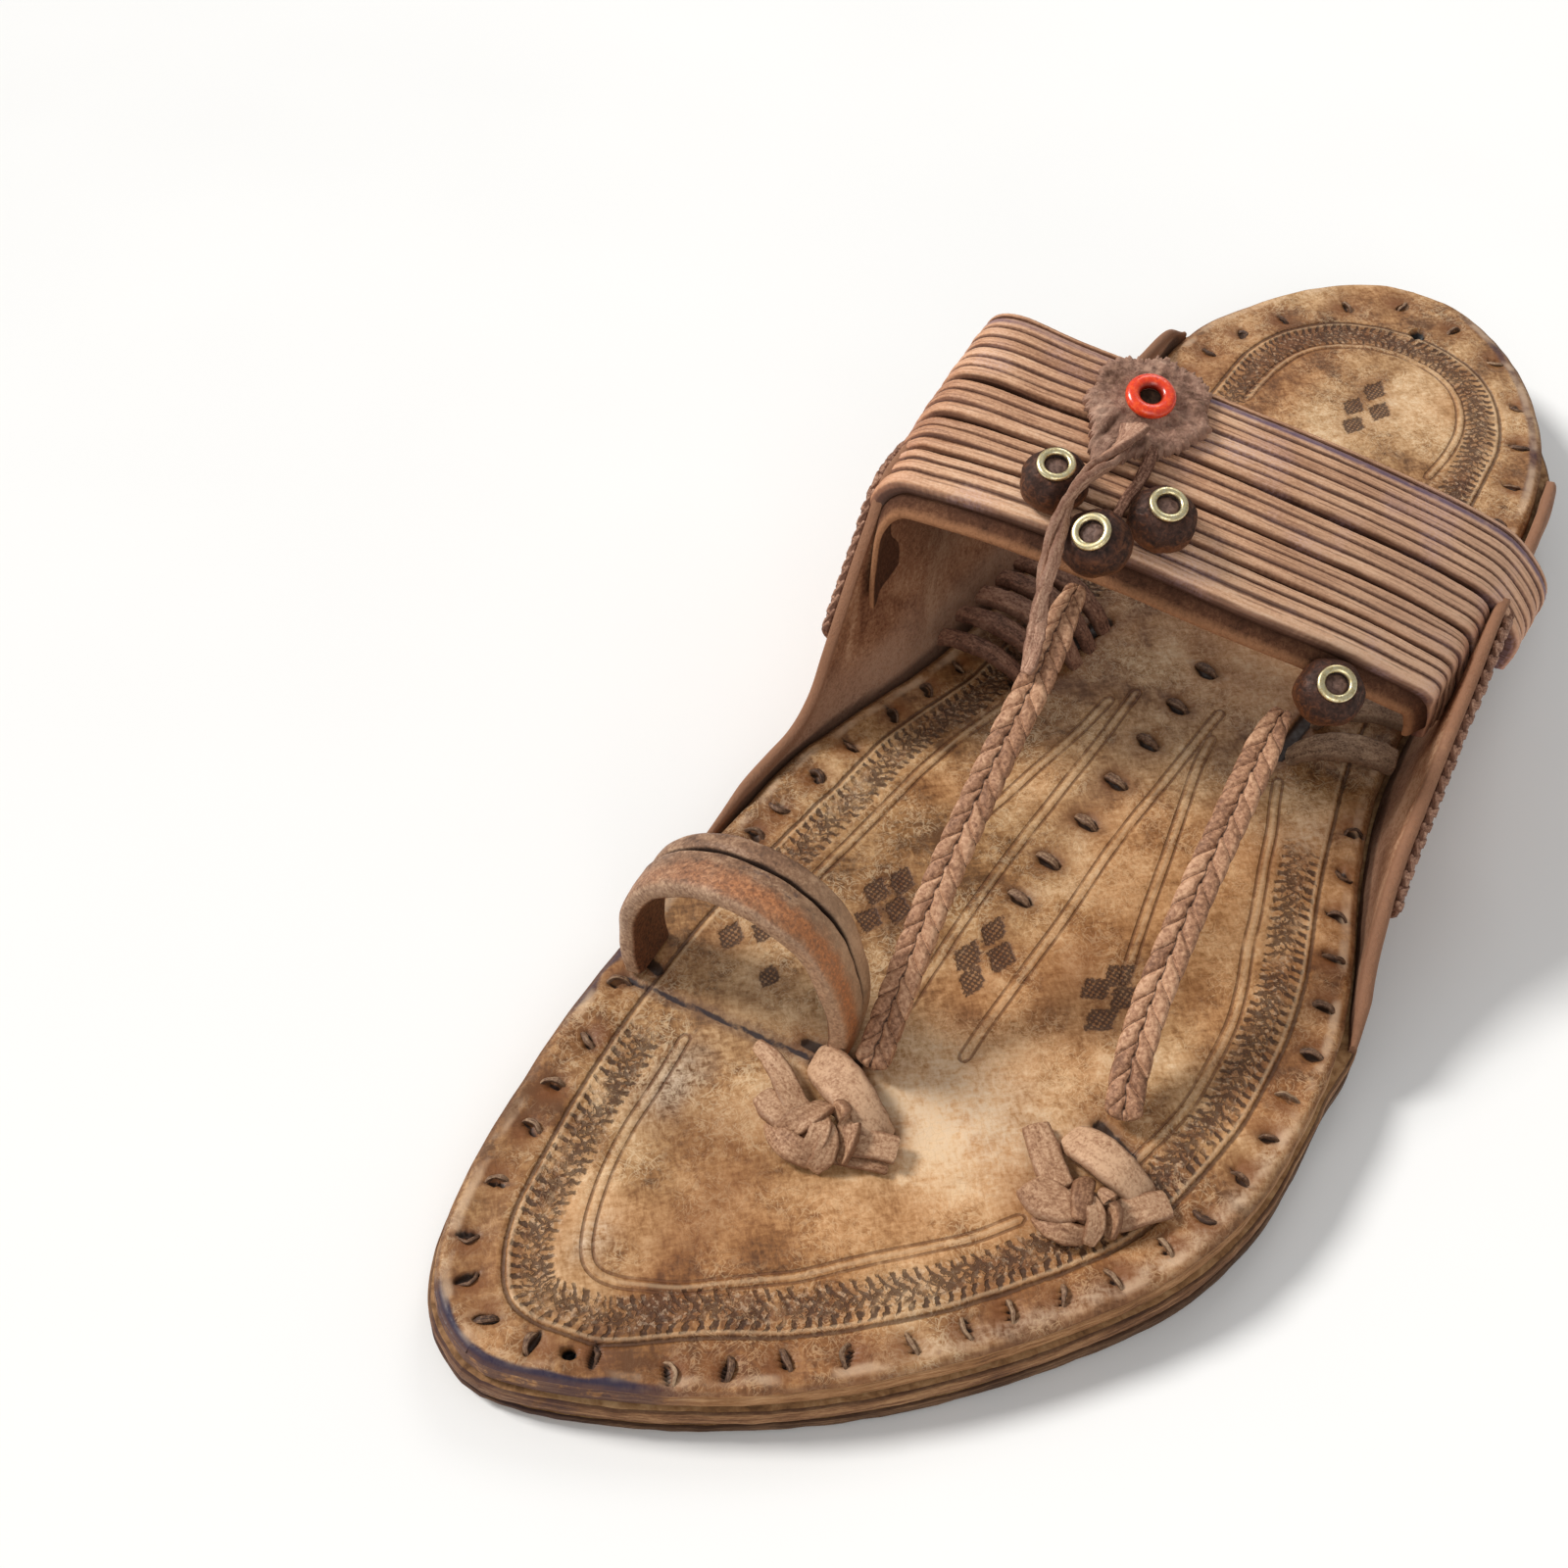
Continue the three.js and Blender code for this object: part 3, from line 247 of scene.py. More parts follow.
class Line:
    """A smooth line in the plan; gives signed distance (left side positive) and length along."""

    def __init__(self, pts, closed=False, step=0.45):
        pts = np.asarray(pts, float)
        if closed:
            k = 3
            ext = np.concatenate([pts[-k:], pts, pts[:k]])
            t0, t1 = k / (len(ext) - 1), (k + len(pts)) / (len(ext) - 1)
            dense = sample(ext, np.linspace(t0, t1, 6000))
        else:
            dense = sample(pts, np.linspace(0, 1, 3000))
        seg = np.linalg.norm(np.diff(dense, axis=0), axis=1)
        s = np.concatenate([[0], np.cumsum(seg)])
        n = max(int(s[-1] / step), 4)
        self.s = np.linspace(0, s[-1], n + 1)
        self.p = np.stack([np.interp(self.s, s, dense[:, 0]), np.interp(self.s, s, dense[:, 1])], 1)

    def query(self, xy):
        xy = np.asarray(xy, np.float32)
        p = self.p.astype(np.float32)
        best = np.empty(len(xy), int)
        for k in range(0, len(xy), 6000):
            q = xy[k:k + 6000]
            best[k:k + 6000] = np.argmin((q[:, None, 0] - p[None, :, 0]) ** 2 + (q[:, None, 1] - p[None, :, 1]) ** 2, 1)
        xy = xy.astype(float)
        d_out = np.full(len(xy), 1e9)
        s_out = np.zeros(len(xy))
        g_out = np.ones(len(xy))
        for off in (-1, 0):
            i = np.clip(best + off, 0, len(self.p) - 2)
            a, b = self.p[i], self.p[i + 1]
            ab = b - a
            t = np.clip(((xy - a) * ab).sum(1) / (ab * ab).sum(1), 0, 1)
            c = a + ab * t[:, None]
            r = xy - c
            d = np.linalg.norm(r, axis=1)
            side = np.sign(ab[:, 0] * r[:, 1] - ab[:, 1] * r[:, 0])
            m = d < d_out
            d_out[m], g_out[m] = d[m], np.where(side[m] == 0, 1, side[m])
            s_out[m] = (self.s[i] + t * (self.s[i + 1] - self.s[i]))[m]
        return d_out * g_out, s_out


# -------------------------------------------------------------- mesh making
PIECES = {}


def build(name, verts, faces, mat, replaces=(), attrs=None, sharp=40, fix=True):
    me = bpy.data.meshes.new(name)
    v = (np.asarray(verts, float) + SHIFT) * MM
    me.from_pydata(v.tolist(), [], faces)
    for k, a in (attrs or {}).items():
        at = me.attributes.new(k, "FLOAT", "POINT")
        at.data.foreach_set("value", np.asarray(a, np.float32).ravel())
    if fix:
        bm = bmesh.new()
        bm.from_mesh(me)
        bmesh.ops.recalc_face_normals(bm, faces=bm.faces)
        bm.to_mesh(me)
        bm.free()
    me.polygons.foreach_set("use_smooth", [True] * len(me.polygons))
    if sharp:
        me.set_sharp_from_angle(angle=math.radians(sharp))
    me.update()
    ob = bpy.data.objects.new(name, me)
    bpy.context.scene.collection.objects.link(ob)
    me.materials.append(mat)
    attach(ob, "root")
    if replaces:
        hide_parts(*replaces)
    PIECES[name] = ob
    return ob


class Soup:
    """Collects small closed shapes into one mesh."""

    def __init__(self):
        self.v, self.f, self.a, self.n = [], [], {}, 0

    def add(self, verts, faces, **attrs):
        verts = np.asarray(verts, float).reshape(-1, 3)
        self.v.append(verts)
        self.f += [[int(i) + self.n for i in f] for f in faces]
        for k, a in attrs.items():
            self.a.setdefault(k, []).append(np.broadcast_to(np.asarray(a, float), (len(verts),)))
        self.n += len(verts)

    def build(self, name, mat, slot, replaces=(), sharp=40):
        return build(name, np.concatenate(self.v), self.f, mat, replaces,
                     {k: np.concatenate(a) for k, a in self.a.items()}, sharp)


def ring_faces(ni, m, closed=False, caps=True):
    idx = np.arange(ni * m).reshape(ni, m)
    a, b = idx[:-1], idx[1:]
    q = np.stack([a, np.roll(a, -1, 1), np.roll(b, -1, 1), b], -1).reshape(-1, 4)
    if closed:
        a, b = idx[-1:], idx[:1]
        q = np.concatenate([q, np.stack([a, np.roll(a, -1, 1), np.roll(b, -1, 1), b], -1).reshape(-1, 4)])
    f = q.tolist()
    if caps and not closed:
        f.append(idx[0][::-1].tolist())
        f.append(idx[-1].tolist())
    return f


def section(w, h, m=16, p=0.5):
    a = (np.arange(m) + 0.5) / m * 2 * np.pi
    c, s = np.cos(a), np.sin(a)
    return np.stack([np.sign(c) * np.abs(c) ** p * w / 2, np.sign(s) * np.abs(s) ** (p * 0.9) * h / 2], 1)


def path_frames(pts, n, side):
    t = np.linspace(0, 1, n)
    pts = np.asarray(pts, float)
    p = sample(pts, t)
    tan = unit(np.gradient(p, axis=0))
    sd = np.broadcast_to(np.asarray(side, float), p.shape)
    sd = unit(sd - tan * (sd * tan).sum(1, keepdims=True))
    up = np.cross(tan, sd)
    s = np.concatenate([[0], np.cumsum(np.linalg.norm(np.diff(p, axis=0), axis=1))])
    return p, tan, sd, up, s


def strip(soup, pts, w, h, side, n=24, m=16, p=0.5, twist=0.0, bow=0.0, rnd=0.0, taper=0.35, rough=0.0, seed=1, tone=0.0):
    """A thong or strip swept along pts; w and h may be arrays over the path."""
    P, tan, sd, up, s = path_frames(pts, n, side)
    w = np.broadcast_to(np.asarray(w, float), (n,)) if np.ndim(w) == 0 else np.interp(np.linspace(0, 1, n), np.linspace(0, 1, len(w)), w)
    h = np.broadcast_to(np.asarray(h, float), (n,)) if np.ndim(h) == 0 else np.interp(np.linspace(0, 1, n), np.linspace(0, 1, len(h)), h)
    tw = np.linspace(0, 1, n) * twist if np.ndim(twist) == 0 else np.interp(np.linspace(0, 1, n), np.linspace(0, 1, len(twist)), twist)
    base = section(1, 1, m, p)
    rings, av, aw = [], [], []
    for i in range(n):
        c, q = math.cos(tw[i]), math.sin(tw[i])
        a = sd[i] * c + up[i] * q
        b = -sd[i] * q + up[i] * c
        k = base * [w[i], h[i]]
        z = k[:, 1] + bow * (1 - (2 * k[:, 0] / max(w[i], 1e-6)) ** 2)
        rings.append(P[i] + k[:, :1] * a + z[:, None] * b)
        av.append(base[:, 0] * 2)
        aw.append(base[:, 1] * 2)
    R = np.array(rings)
    # soften the two ends
    e0, e1 = R[0].mean(0), R[-1].mean(0)
    R = np.concatenate([[e0 + (R[0] - e0) * (1 - taper) - tan[0] * 0.25], R, [e1 + (R[-1] - e1) * (1 - taper) + tan[-1] * 0.25]])
    av, aw = [av[0]] + av + [av[-1]], [aw[0]] + aw + [aw[-1]]
    s = np.concatenate([[s[0] - 0.25], s, [s[-1] + 0.25]])
    if rough:
        R = R + unit(R - R.mean(1, keepdims=True)) * (waves(R, 2.2, seed) * rough)[..., None]
    soup.add(R.reshape(-1, 3), ring_faces(len(R), m), u=np.repeat(s, m), v=np.array(av).ravel(), w=np.array(aw).ravel(),
             rnd=rnd, tone=tone)


# --------------------------------------------------------------- materials
def lin(c):
    c = np.array(c, float) / 255
    return tuple(np.where(c <= 0.04045, c / 12.92, ((c + 0.055) / 1.055) ** 2.4)) + (1.0,)


class Mat:
    def __init__(self, name, roughness=0.6, specular=0.4, metallic=0.0, coat=0.0, sheen=0.0):
        self.m = bpy.data.materials.new(name)
        self.m.use_nodes = True
        self.t = self.m.node_tree
        self.t.nodes.clear()
        self.out = self.t.nodes.new("ShaderNodeOutputMaterial")
        self.b = self.t.nodes.new("ShaderNodeBsdfPrincipled")
        self.t.links.new(self.b.outputs[0], self.out.inputs[0])
        self.b.inputs["Roughness"].default_value = roughness
        self.b.inputs["Specular IOR Level"].default_value = specular
        self.b.inputs["Metallic"].default_value = metallic
        self.b.inputs["Coat Weight"].default_value = coat
        self.b.inputs["Coat Roughness"].default_value = 0.25
        self.b.inputs["Sheen Weight"].default_value = sheen
        self.b.inputs["Sheen Roughness"].default_value = 0.5
        self._p = None

    def node(self, kind):
        return self.t.nodes.new(kind)

    def put(self, sock, v):
        if isinstance(v, bpy.types.NodeSocket):
            self.t.links.new(v, sock)
        elif v is not None:
            sock.default_value = v

    def pos(self):
        if self._p is None:
            tc = self.node("ShaderNodeTexCoord")
            s = self.node("ShaderNodeVectorMath")
            s.operation = "SCALE"
            self.put(s.inputs[0], tc.outputs["Object"])
            s.inputs["Scale"].default_value = 1000.0
            self._p = s.outputs[0]
        return self._p

    def attr(self, name):
        a = self.node("ShaderNodeAttribute")
        a.attribute_name = name
        return a.outputs["Fac"]

    def vec(self, x, y, z=0.0):
        c = self.node("ShaderNodeCombineXYZ")
        self.put(c.inputs[0], x)
        self.put(c.inputs[1], y)
        self.put(c.inputs[2], z)
        return c.outputs[0]

    def scaled(self, v, s):
        n = self.node("ShaderNodeVectorMath")
        n.operation = "MULTIPLY"
        self.put(n.inputs[0], v)
        n.inputs[1].default_value = s
        return n.outputs[0]

    def noise(self, v, scale, detail=3.0, rough=0.55, dist=0.0):
        n = self.node("ShaderNodeTexNoise")
        self.put(n.inputs["Vector"], v)
        n.inputs["Scale"].default_value = scale
        n.inputs["Detail"].default_value = detail
        n.inputs["Roughness"].default_value = rough
        n.inputs["Distortion"].default_value = dist
        return n.outputs["Fac"]

    def voronoi(self, v, scale, feature="DISTANCE_TO_EDGE"):
        n = self.node("ShaderNodeTexVoronoi")
        n.feature = feature
        self.put(n.inputs["Vector"], v)
        n.inputs["Scale"].default_value = scale
        return n.outputs["Distance"]


    def f(self, op, a, b=None, c=None, clamp=False):
        n = self.node("ShaderNodeMath")
        n.operation = op
        n.use_clamp = clamp
        self.put(n.inputs[0], a)
        if b is not None:
            self.put(n.inputs[1], b)
        if c is not None:
            self.put(n.inputs[2], c)
        return n.outputs[0]

    def step(self, v, a, b, lo=0.0, hi=1.0):
        n = self.node("ShaderNodeMapRange")
        n.interpolation_type = "SMOOTHSTEP"
        self.put(n.inputs["Value"], v)
        n.inputs["From Min"].default_value = a
        n.inputs["From Max"].default_value = b
        n.inputs["To Min"].default_value = lo
        n.inputs["To Max"].default_value = hi
        return n.outputs[0]

    def ramp(self, v, stops):
        n = self.node("ShaderNodeValToRGB")
        self.put(n.inputs[0], v)
        el = n.color_ramp.elements
        while len(el) < len(stops):
            el.new(0.5)
        for e, (p, c) in zip(el, stops):
            e.position = p
            e.color = lin(c)
        return n.outputs[0]

    def mix(self, fac, a, b, mode="MIX"):
        n = self.node("ShaderNodeMix")
        n.data_type = "RGBA"
        n.blend_type = mode
        n.clamp_factor = True
        self.put(n.inputs[0], fac)
        self.put(n.inputs[6], lin(a) if isinstance(a, tuple) else a)
        self.put(n.inputs[7], lin(b) if isinstance(b, tuple) else b)
        return n.outputs[2]

    def bump(self, h, strength=0.5, dist=0.3, base=None):
        n = self.node("ShaderNodeBump")
        n.inputs["Strength"].default_value = strength
        n.inputs["Distance"].default_value = dist * MM
        self.put(n.inputs["Height"], h)
        if base is not None:
            self.put(n.inputs["Normal"], base)
        return n.outputs[0]

    def finish(self, colour, rough=None, normal=None):
        self.put(self.b.inputs["Base Color"], colour)
        if rough is not None:
            self.put(self.b.inputs["Roughness"], rough)
        if normal is not None:
            self.put(self.b.inputs["Normal"], normal)
        return self.t


def material(fn, name, **kw):
    m = Mat(name, **kw)
    mat = m.m
    fn(m)
    return mat


def fibres(m, scale=1.0, seed=0.0):
    """Fine crackled fibre pattern of greased vegetable-tanned leather, 0..1."""
    p = m.pos()
    sep = m.node("ShaderNodeSeparateXYZ")
    m.put(sep.inputs[0], p)
    x, y = sep.outputs[0], sep.outputs[1]
    d1 = m.vec(m.f("MULTIPLY", m.f("ADD", x, y), 0.75), m.f("MULTIPLY", m.f("SUBTRACT", x, y), 0.28), 0.0)
    d2 = m.vec(m.f("MULTIPLY", m.f("ADD", x, y), 0.26), m.f("MULTIPLY", m.f("SUBTRACT", x, y), 0.7), 5.0)
    a = m.noise(d1, 1.5 * scale, 3.0, 0.6, 0.5)
    b = m.noise(d2, 1.4 * scale, 3.0, 0.6, 0.5)
    c = m.noise(p, 0.75 * scale, 3.0, 0.6, 0.8)
    return m.f("ADD", m.f("MULTIPLY", a, 0.36), m.f("ADD", m.f("MULTIPLY", b, 0.36), m.f("MULTIPLY", c, 0.28)))


def footbed_look(m):
    p = m.pos()
    fib = fibres(m)
    big = m.noise(p, 0.045, 3.0, 0.5, 0.4)
    med = m.noise(p, 0.17, 3.0, 0.55, 0.5)
    v = m.f("ADD", m.f("MULTIPLY", fib, 0.66), m.f("ADD", m.f("MULTIPLY", big, 0.22), m.f("MULTIPLY", med, 0.36)))
    # zone: lighter and darker regions, with painted shade under the band and painted light under the toe loop
    v = m.f("ADD", v, m.f("MULTIPLY", m.f("SUBTRACT", m.attr("zone"), 0.5), 0.14))
    v = m.f("ADD", v, m.f("MULTIPLY", m.f("SUBTRACT", fib, 0.5), -0.04))
    v = m.f("ADD", v, m.f("MULTIPLY", m.f("SUBTRACT", big, 0.5), 0.32))
    col = m.ramp(v, [(0.44, (100, 66, 36)), (0.53, (146, 103, 61)), (0.61, (182, 139, 93)), (0.69, (210, 169, 124)),
                     (0.82, (240, 212, 174))])
    # thin pale fibre lines, and a darker crackle
    f1 = m.f("ABSOLUTE", m.f("SUBTRACT", m.noise(m.scaled(p, (1.0, 0.5, 1.0)), 0.62, 2.0, 0.55, 1.2), 0.5))
    f2 = m.f("ABSOLUTE", m.f("SUBTRACT", m.noise(m.scaled(p, (0.5, 1.0, 1.0)), 0.7, 2.0, 0.55, 1.2), 0.47))
    line1 = m.f("MAXIMUM", m.step(f1, 0.034, 0.006), m.step(f2, 0.03, 0.006))
    patch = m.step(m.noise(p, 0.09, 2.0), 0.36, 0.6)
    col = m.mix(m.f("MULTIPLY", m.f("MULTIPLY", line1, patch), 0.42), col, (240, 212, 172))
    net = m.voronoi(m.scaled(p, (1.0, 0.8, 1.0)), 1.1)
    netm = m.f("MULTIPLY", m.step(net, 0.07, 0.0), m.step(m.noise(p, 0.13, 2.0), 0.62, 0.42))
    col = m.mix(m.f("MULTIPLY", netm, 0.14), col, (96, 58, 32))
    # warm golden and grey zones; the grey patch under the toe loop is painted shade
    zone = m.step(m.noise(p, 0.03, 2.0, 0.5), 0.42, 0.62)
    col = m.mix(m.f("MULTIPLY", zone, 0.38), col, (226, 172, 100), "MULTIPLY")
    grey = m.attr("grey")
    col = m.mix(m.f("MULTIPLY", grey, 0.28), col, (132, 108, 84))
    # pale: painted highlights on the medial toe, and other pale places
    pale = m.attr("pale")
    col = m.mix(m.f("MULTIPLY", m.f("MULTIPLY", pale, m.step(fib, 0.38, 0.62)), 0.75), col, (222, 200, 174))
    # burnish
    burn = m.f("MULTIPLY", m.attr("burn"), m.step(m.noise(p, 0.32, 3.0, 0.6), 0.25, 0.6, 0.7, 1.0), clamp=True)
    col = m.mix(m.f("MULTIPLY", burn, 0.84), col, (122, 71, 34))
    # wheel-tooled band beside the scored border
    bd, bs = m.attr("bd"), m.attr("bs")
    on = m.attr("tool")
    worn = m.step(m.noise(p, 0.3, 3.0, 0.6), 0.34, 0.52, 0.3, 1.0)
    bsj = m.f("ADD", bs, m.f("MULTIPLY", m.f("SUBTRACT", m.noise(p, 0.75, 2.0), 0.5), 1.7))
    bdj = m.f("ADD", bd, m.f("MULTIPLY", m.f("SUBTRACT", m.noise(p, 0.62, 2.0), 0.5), 1.3))

    def teeth(pitch, lo, hi, slope, phase, width):
        ph = m.f("FRACT", m.f("ADD", m.f("DIVIDE", m.f("ADD", bsj, m.f("MULTIPLY", bd, slope)), pitch), phase))
        tri = m.f("ABSOLUTE", m.f("SUBTRACT", ph, 0.5))
        line = m.step(tri, width, width * 0.5)
        win = m.f("MULTIPLY", m.step(bdj, lo - 0.25, lo + 0.15), m.step(bdj, hi + 0.25, hi - 0.15))
        return m.f("MULTIPLY", line, win)

    outer = teeth(1.72, 0.85, 2.35, 0.35, 0.0, 0.27)
    za = teeth(1.72, 2.5, 4.4, 0.8, 0.1, 0.2)
    zb = teeth(1.72, 3.4, 5.2, -0.9, 0.4, 0.2)
    inner = teeth(1.72, 5.0, 6.5, -0.3, 0.5, 0.24)
    blob = m.f("MULTIPLY", m.step(m.noise(p, 0.95, 3.0, 0.7, 0.8), 0.50, 0.57), m.f("MULTIPLY", m.step(bdj, 1.9, 2.8), m.step(bdj, 6.3, 5.2)))
    marks = m.f("MAXIMUM", m.f("MAXIMUM", outer, m.f("MULTIPLY", inner, 0.9)), m.f("MULTIPLY", m.f("MAXIMUM", m.f("MAXIMUM", za, zb), blob), 0.82))
    marks = m.f("MULTIPLY", m.f("MULTIPLY", marks, on), worn)
    trough = m.f("MULTIPLY", m.f("MULTIPLY", m.step(bdj, 1.2, 2.6), m.step(bdj, 6.6, 5.0)), on)
    col = m.mix(m.f("MULTIPLY", trough, m.step(m.noise(p, 0.35, 3.0), 0.35, 0.65, 0.1, 0.5)), col, (112, 72, 48))
    fleck = m.f("MULTIPLY", m.f("MULTIPLY", m.step(m.noise(p, 1.25, 2.0, 0.6), 0.56, 0.62), on), m.f("MULTIPLY", m.step(bd, 1.4, 2.2), m.step(bd, 7.2, 6.2)))
    col = m.mix(m.f("MULTIPLY", fleck, 0.3), col, (226, 196, 164))
    col = m.mix(m.f("MULTIPLY", marks, 0.88), col, (60, 36, 22))
    # scored lines
    line = m.step(m.f("ABSOLUTE", m.f("ADD", bd, m.f("MULTIPLY", m.f("SUBTRACT", m.noise(p, 1.4, 2.0), 0.5), 0.3))), 0.42, 0.12)
    ld = m.attr("ld")
    dbl = m.step(m.f("ABSOLUTE", m.f("SUBTRACT", ld, 0.8)), 0.3, 0.08)
    dblw = m.f("MULTIPLY", dbl, m.step(m.noise(p, 0.2, 2.0), 0.3, 0.5, 0.45, 1.0))
    lip = m.step(m.f("ABSOLUTE", m.f("SUBTRACT", bd, 0.75)), 0.4, 0.05)
    col = m.mix(m.f("MULTIPLY", lip, 0.3), col, (222, 190, 152))
    mid = m.step(ld, 0.42, 0.1)
    col = m.mix(m.f("MULTIPLY", mid, 0.3), col, (224, 190, 150))
    col = m.mix(m.f("MULTIPLY", line, 0.75), col, (74, 46, 28))
    col = m.mix(m.f("MULTIPLY", dblw, 0.66), col, (98, 56, 28))
    # diamond stamps
    sep = m.node("ShaderNodeSeparateXYZ")
    m.put(sep.inputs[0], p)
    px, py = sep.outputs[0], sep.outputs[1]
    r = m.f("ADD", m.attr("sr"), m.f("MULTIPLY", m.f("SUBTRACT", m.noise(p, 1.6, 2.0), 0.5), 0.75))
    dia = m.step(r, 1.08, 0.9)
    hat = m.f("MULTIPLY", m.f("SINE", m.f("MULTIPLY", m.f("ADD", px, py), 4.6)), m.f("SINE", m.f("MULTIPLY", m.f("SUBTRACT", px, py), 4.6)))
    dots = m.step(m.f("ADD", hat, m.f("MULTIPLY", m.f("SUBTRACT", m.noise(p, 1.1, 2.0), 0.5), 1.6)), 0.35, -0.1)
    ring = m.step(m.f("ABSOLUTE", m.f("SUBTRACT", r, 0.92)), 0.2, 0.04)
    stamp = m.f("MULTIPLY", dia, m.f("MAXIMUM", m.f("MULTIPLY", dots, 0.9), m.f("MULTIPLY", ring, 0.7)))
    col = m.mix(m.f("MULTIPLY", m.step(r, 1.25, 0.95), 0.5), col, (108, 70, 44))
    col = m.mix(m.f("MULTIPLY", stamp, 0.85), col, (54, 33, 23))
    # slits, pits, nail holes; the greyish halo by the slits and the dark insides of slits, pits and holes are painted
    # shade
    wig = m.f("MULTIPLY", m.f("SUBTRACT", m.noise(p, 1.2), 0.5), 0.5)
    slit = m.step(m.f("ADD", m.attr("sl"), wig), 0.62, 0.3)
    col = m.mix(m.f("MULTIPLY", m.step(m.attr("sl"), 2.2, 0.5), 0.35), col, (80, 62, 60))
    col = m.mix(m.f("MULTIPLY", slit, 0.9), col, (34, 28, 36))
    pitv = m.f("ADD", m.attr("pe"), wig)
    col = m.mix(m.f("MULTIPLY", m.step(pitv, 2.0, 1.0), 0.4), col, (84, 46, 22))
    col = m.mix(m.f("MULTIPLY", m.step(pitv, 1.15, 0.8), 0.9), col, (40, 23, 13))
    col = m.mix(m.step(m.attr("hd"), 1.05, 0.9), col, (8, 6, 5))
    # ink and dark rim
    ink = m.f("MULTIPLY", m.attr("ink"), m.step(m.noise(p, 0.7, 3.0, 0.7), 0.12, 0.36))
    col = m.mix(m.f("MULTIPLY", ink, 0.94), col, (32, 27, 54))
    ed = m.attr("ed")
    rim = m.f("MULTIPLY", m.step(m.f("ABSOLUTE", m.f("SUBTRACT", ed, 0.15)), 0.55, 0.1), m.step(m.noise(p, 0.3), 0.3, 0.6, 0.5, 1.0))
    col = m.mix(m.f("MULTIPLY", rim, 0.55), col, (104, 68, 44))
    lift = m.f("MULTIPLY", m.step(m.f("ABSOLUTE", m.f("SUBTRACT", ed, 1.6)), 1.1, 0.2), m.step(m.noise(p, 0.16, 2.0), 0.4, 0.62))
    col = m.mix(m.f("MULTIPLY", lift, 0.45), col, (226, 192, 158))
    # relief
    h = m.f("MULTIPLY", fib, 0.5)
    h = m.f("SUBTRACT", h, m.f("MULTIPLY", marks, 0.9))
    h = m.f("SUBTRACT", h, m.f("MULTIPLY", line, 0.55))
    h = m.f("SUBTRACT", h, m.f("MULTIPLY", dblw, 0.55))
    h = m.f("SUBTRACT", h, m.f("MULTIPLY", stamp, 0.6))
    n1 = m.bump(h, 0.75, 0.34)
    n2 = m.bump(m.noise(p, 5.5, 3.0, 0.6), 0.25, 0.1, n1)
    rough = m.f("ADD", m.step(fib, 0.35, 0.65, 0.66, 0.44), m.f("MULTIPLY", marks, 0.15))
    m.finish(col, rough, n2)


def edge_look(tint):
    def look(m):
        p = m.pos()
        w = m.attr("w")
        u = m.attr("u")
        q = m.vec(m.f("MULTIPLY", u, 0.06), m.f("MULTIPLY", w, 1.6), tint)
        streak = m.noise(q, 2.0, 4.0, 0.62, 0.3)
        blot = m.noise(p, 0.09, 3.0, 0.55)
        fine = m.noise(m.vec(m.f("MULTIPLY", u, 0.5), m.f("MULTIPLY", w, 4.0), tint), 2.4, 3.0, 0.6)
        v = m.f("ADD", m.f("MULTIPLY", streak, 0.5), m.f("ADD", m.f("MULTIPLY", blot, 0.3), m.f("MULTIPLY", fine, 0.25)))
        k = {0: [(0.36, (86, 54, 32)), (0.5, (152, 106, 66)), (0.62, (190, 144, 100)), (0.74, (214, 176, 134))],
             1: [(0.36, (72, 46, 30)), (0.5, (126, 86, 56)), (0.62, (176, 132, 90)), (0.74, (204, 164, 120))],
             2: [(0.36, (52, 36, 26)), (0.5, (92, 66, 48)), (0.62, (136, 102, 74)), (0.74, (172, 134, 98))]}[tint]
        col = m.ramp(v, k)
        seam = m.step(m.f("ABSOLUTE", w), 0.72, 1.0)
        col = m.mix(m.f("MULTIPLY", seam, 0.75), col, (66, 42, 28))
        ink = m.f("MULTIPLY", m.attr("ink"), m.step(m.noise(p, 0.5, 3.0, 0.7), 0.3, 0.5))
        col = m.mix(m.f("MULTIPLY", ink, 0.6), col, (44, 38, 60))
        n = m.bump(m.f("ADD", streak, m.f("MULTIPLY", fine, 0.5)), 0.6, 0.35)
        m.finish(col, m.step(v, 0.4, 0.7, 0.8, 0.58), n)
    return look


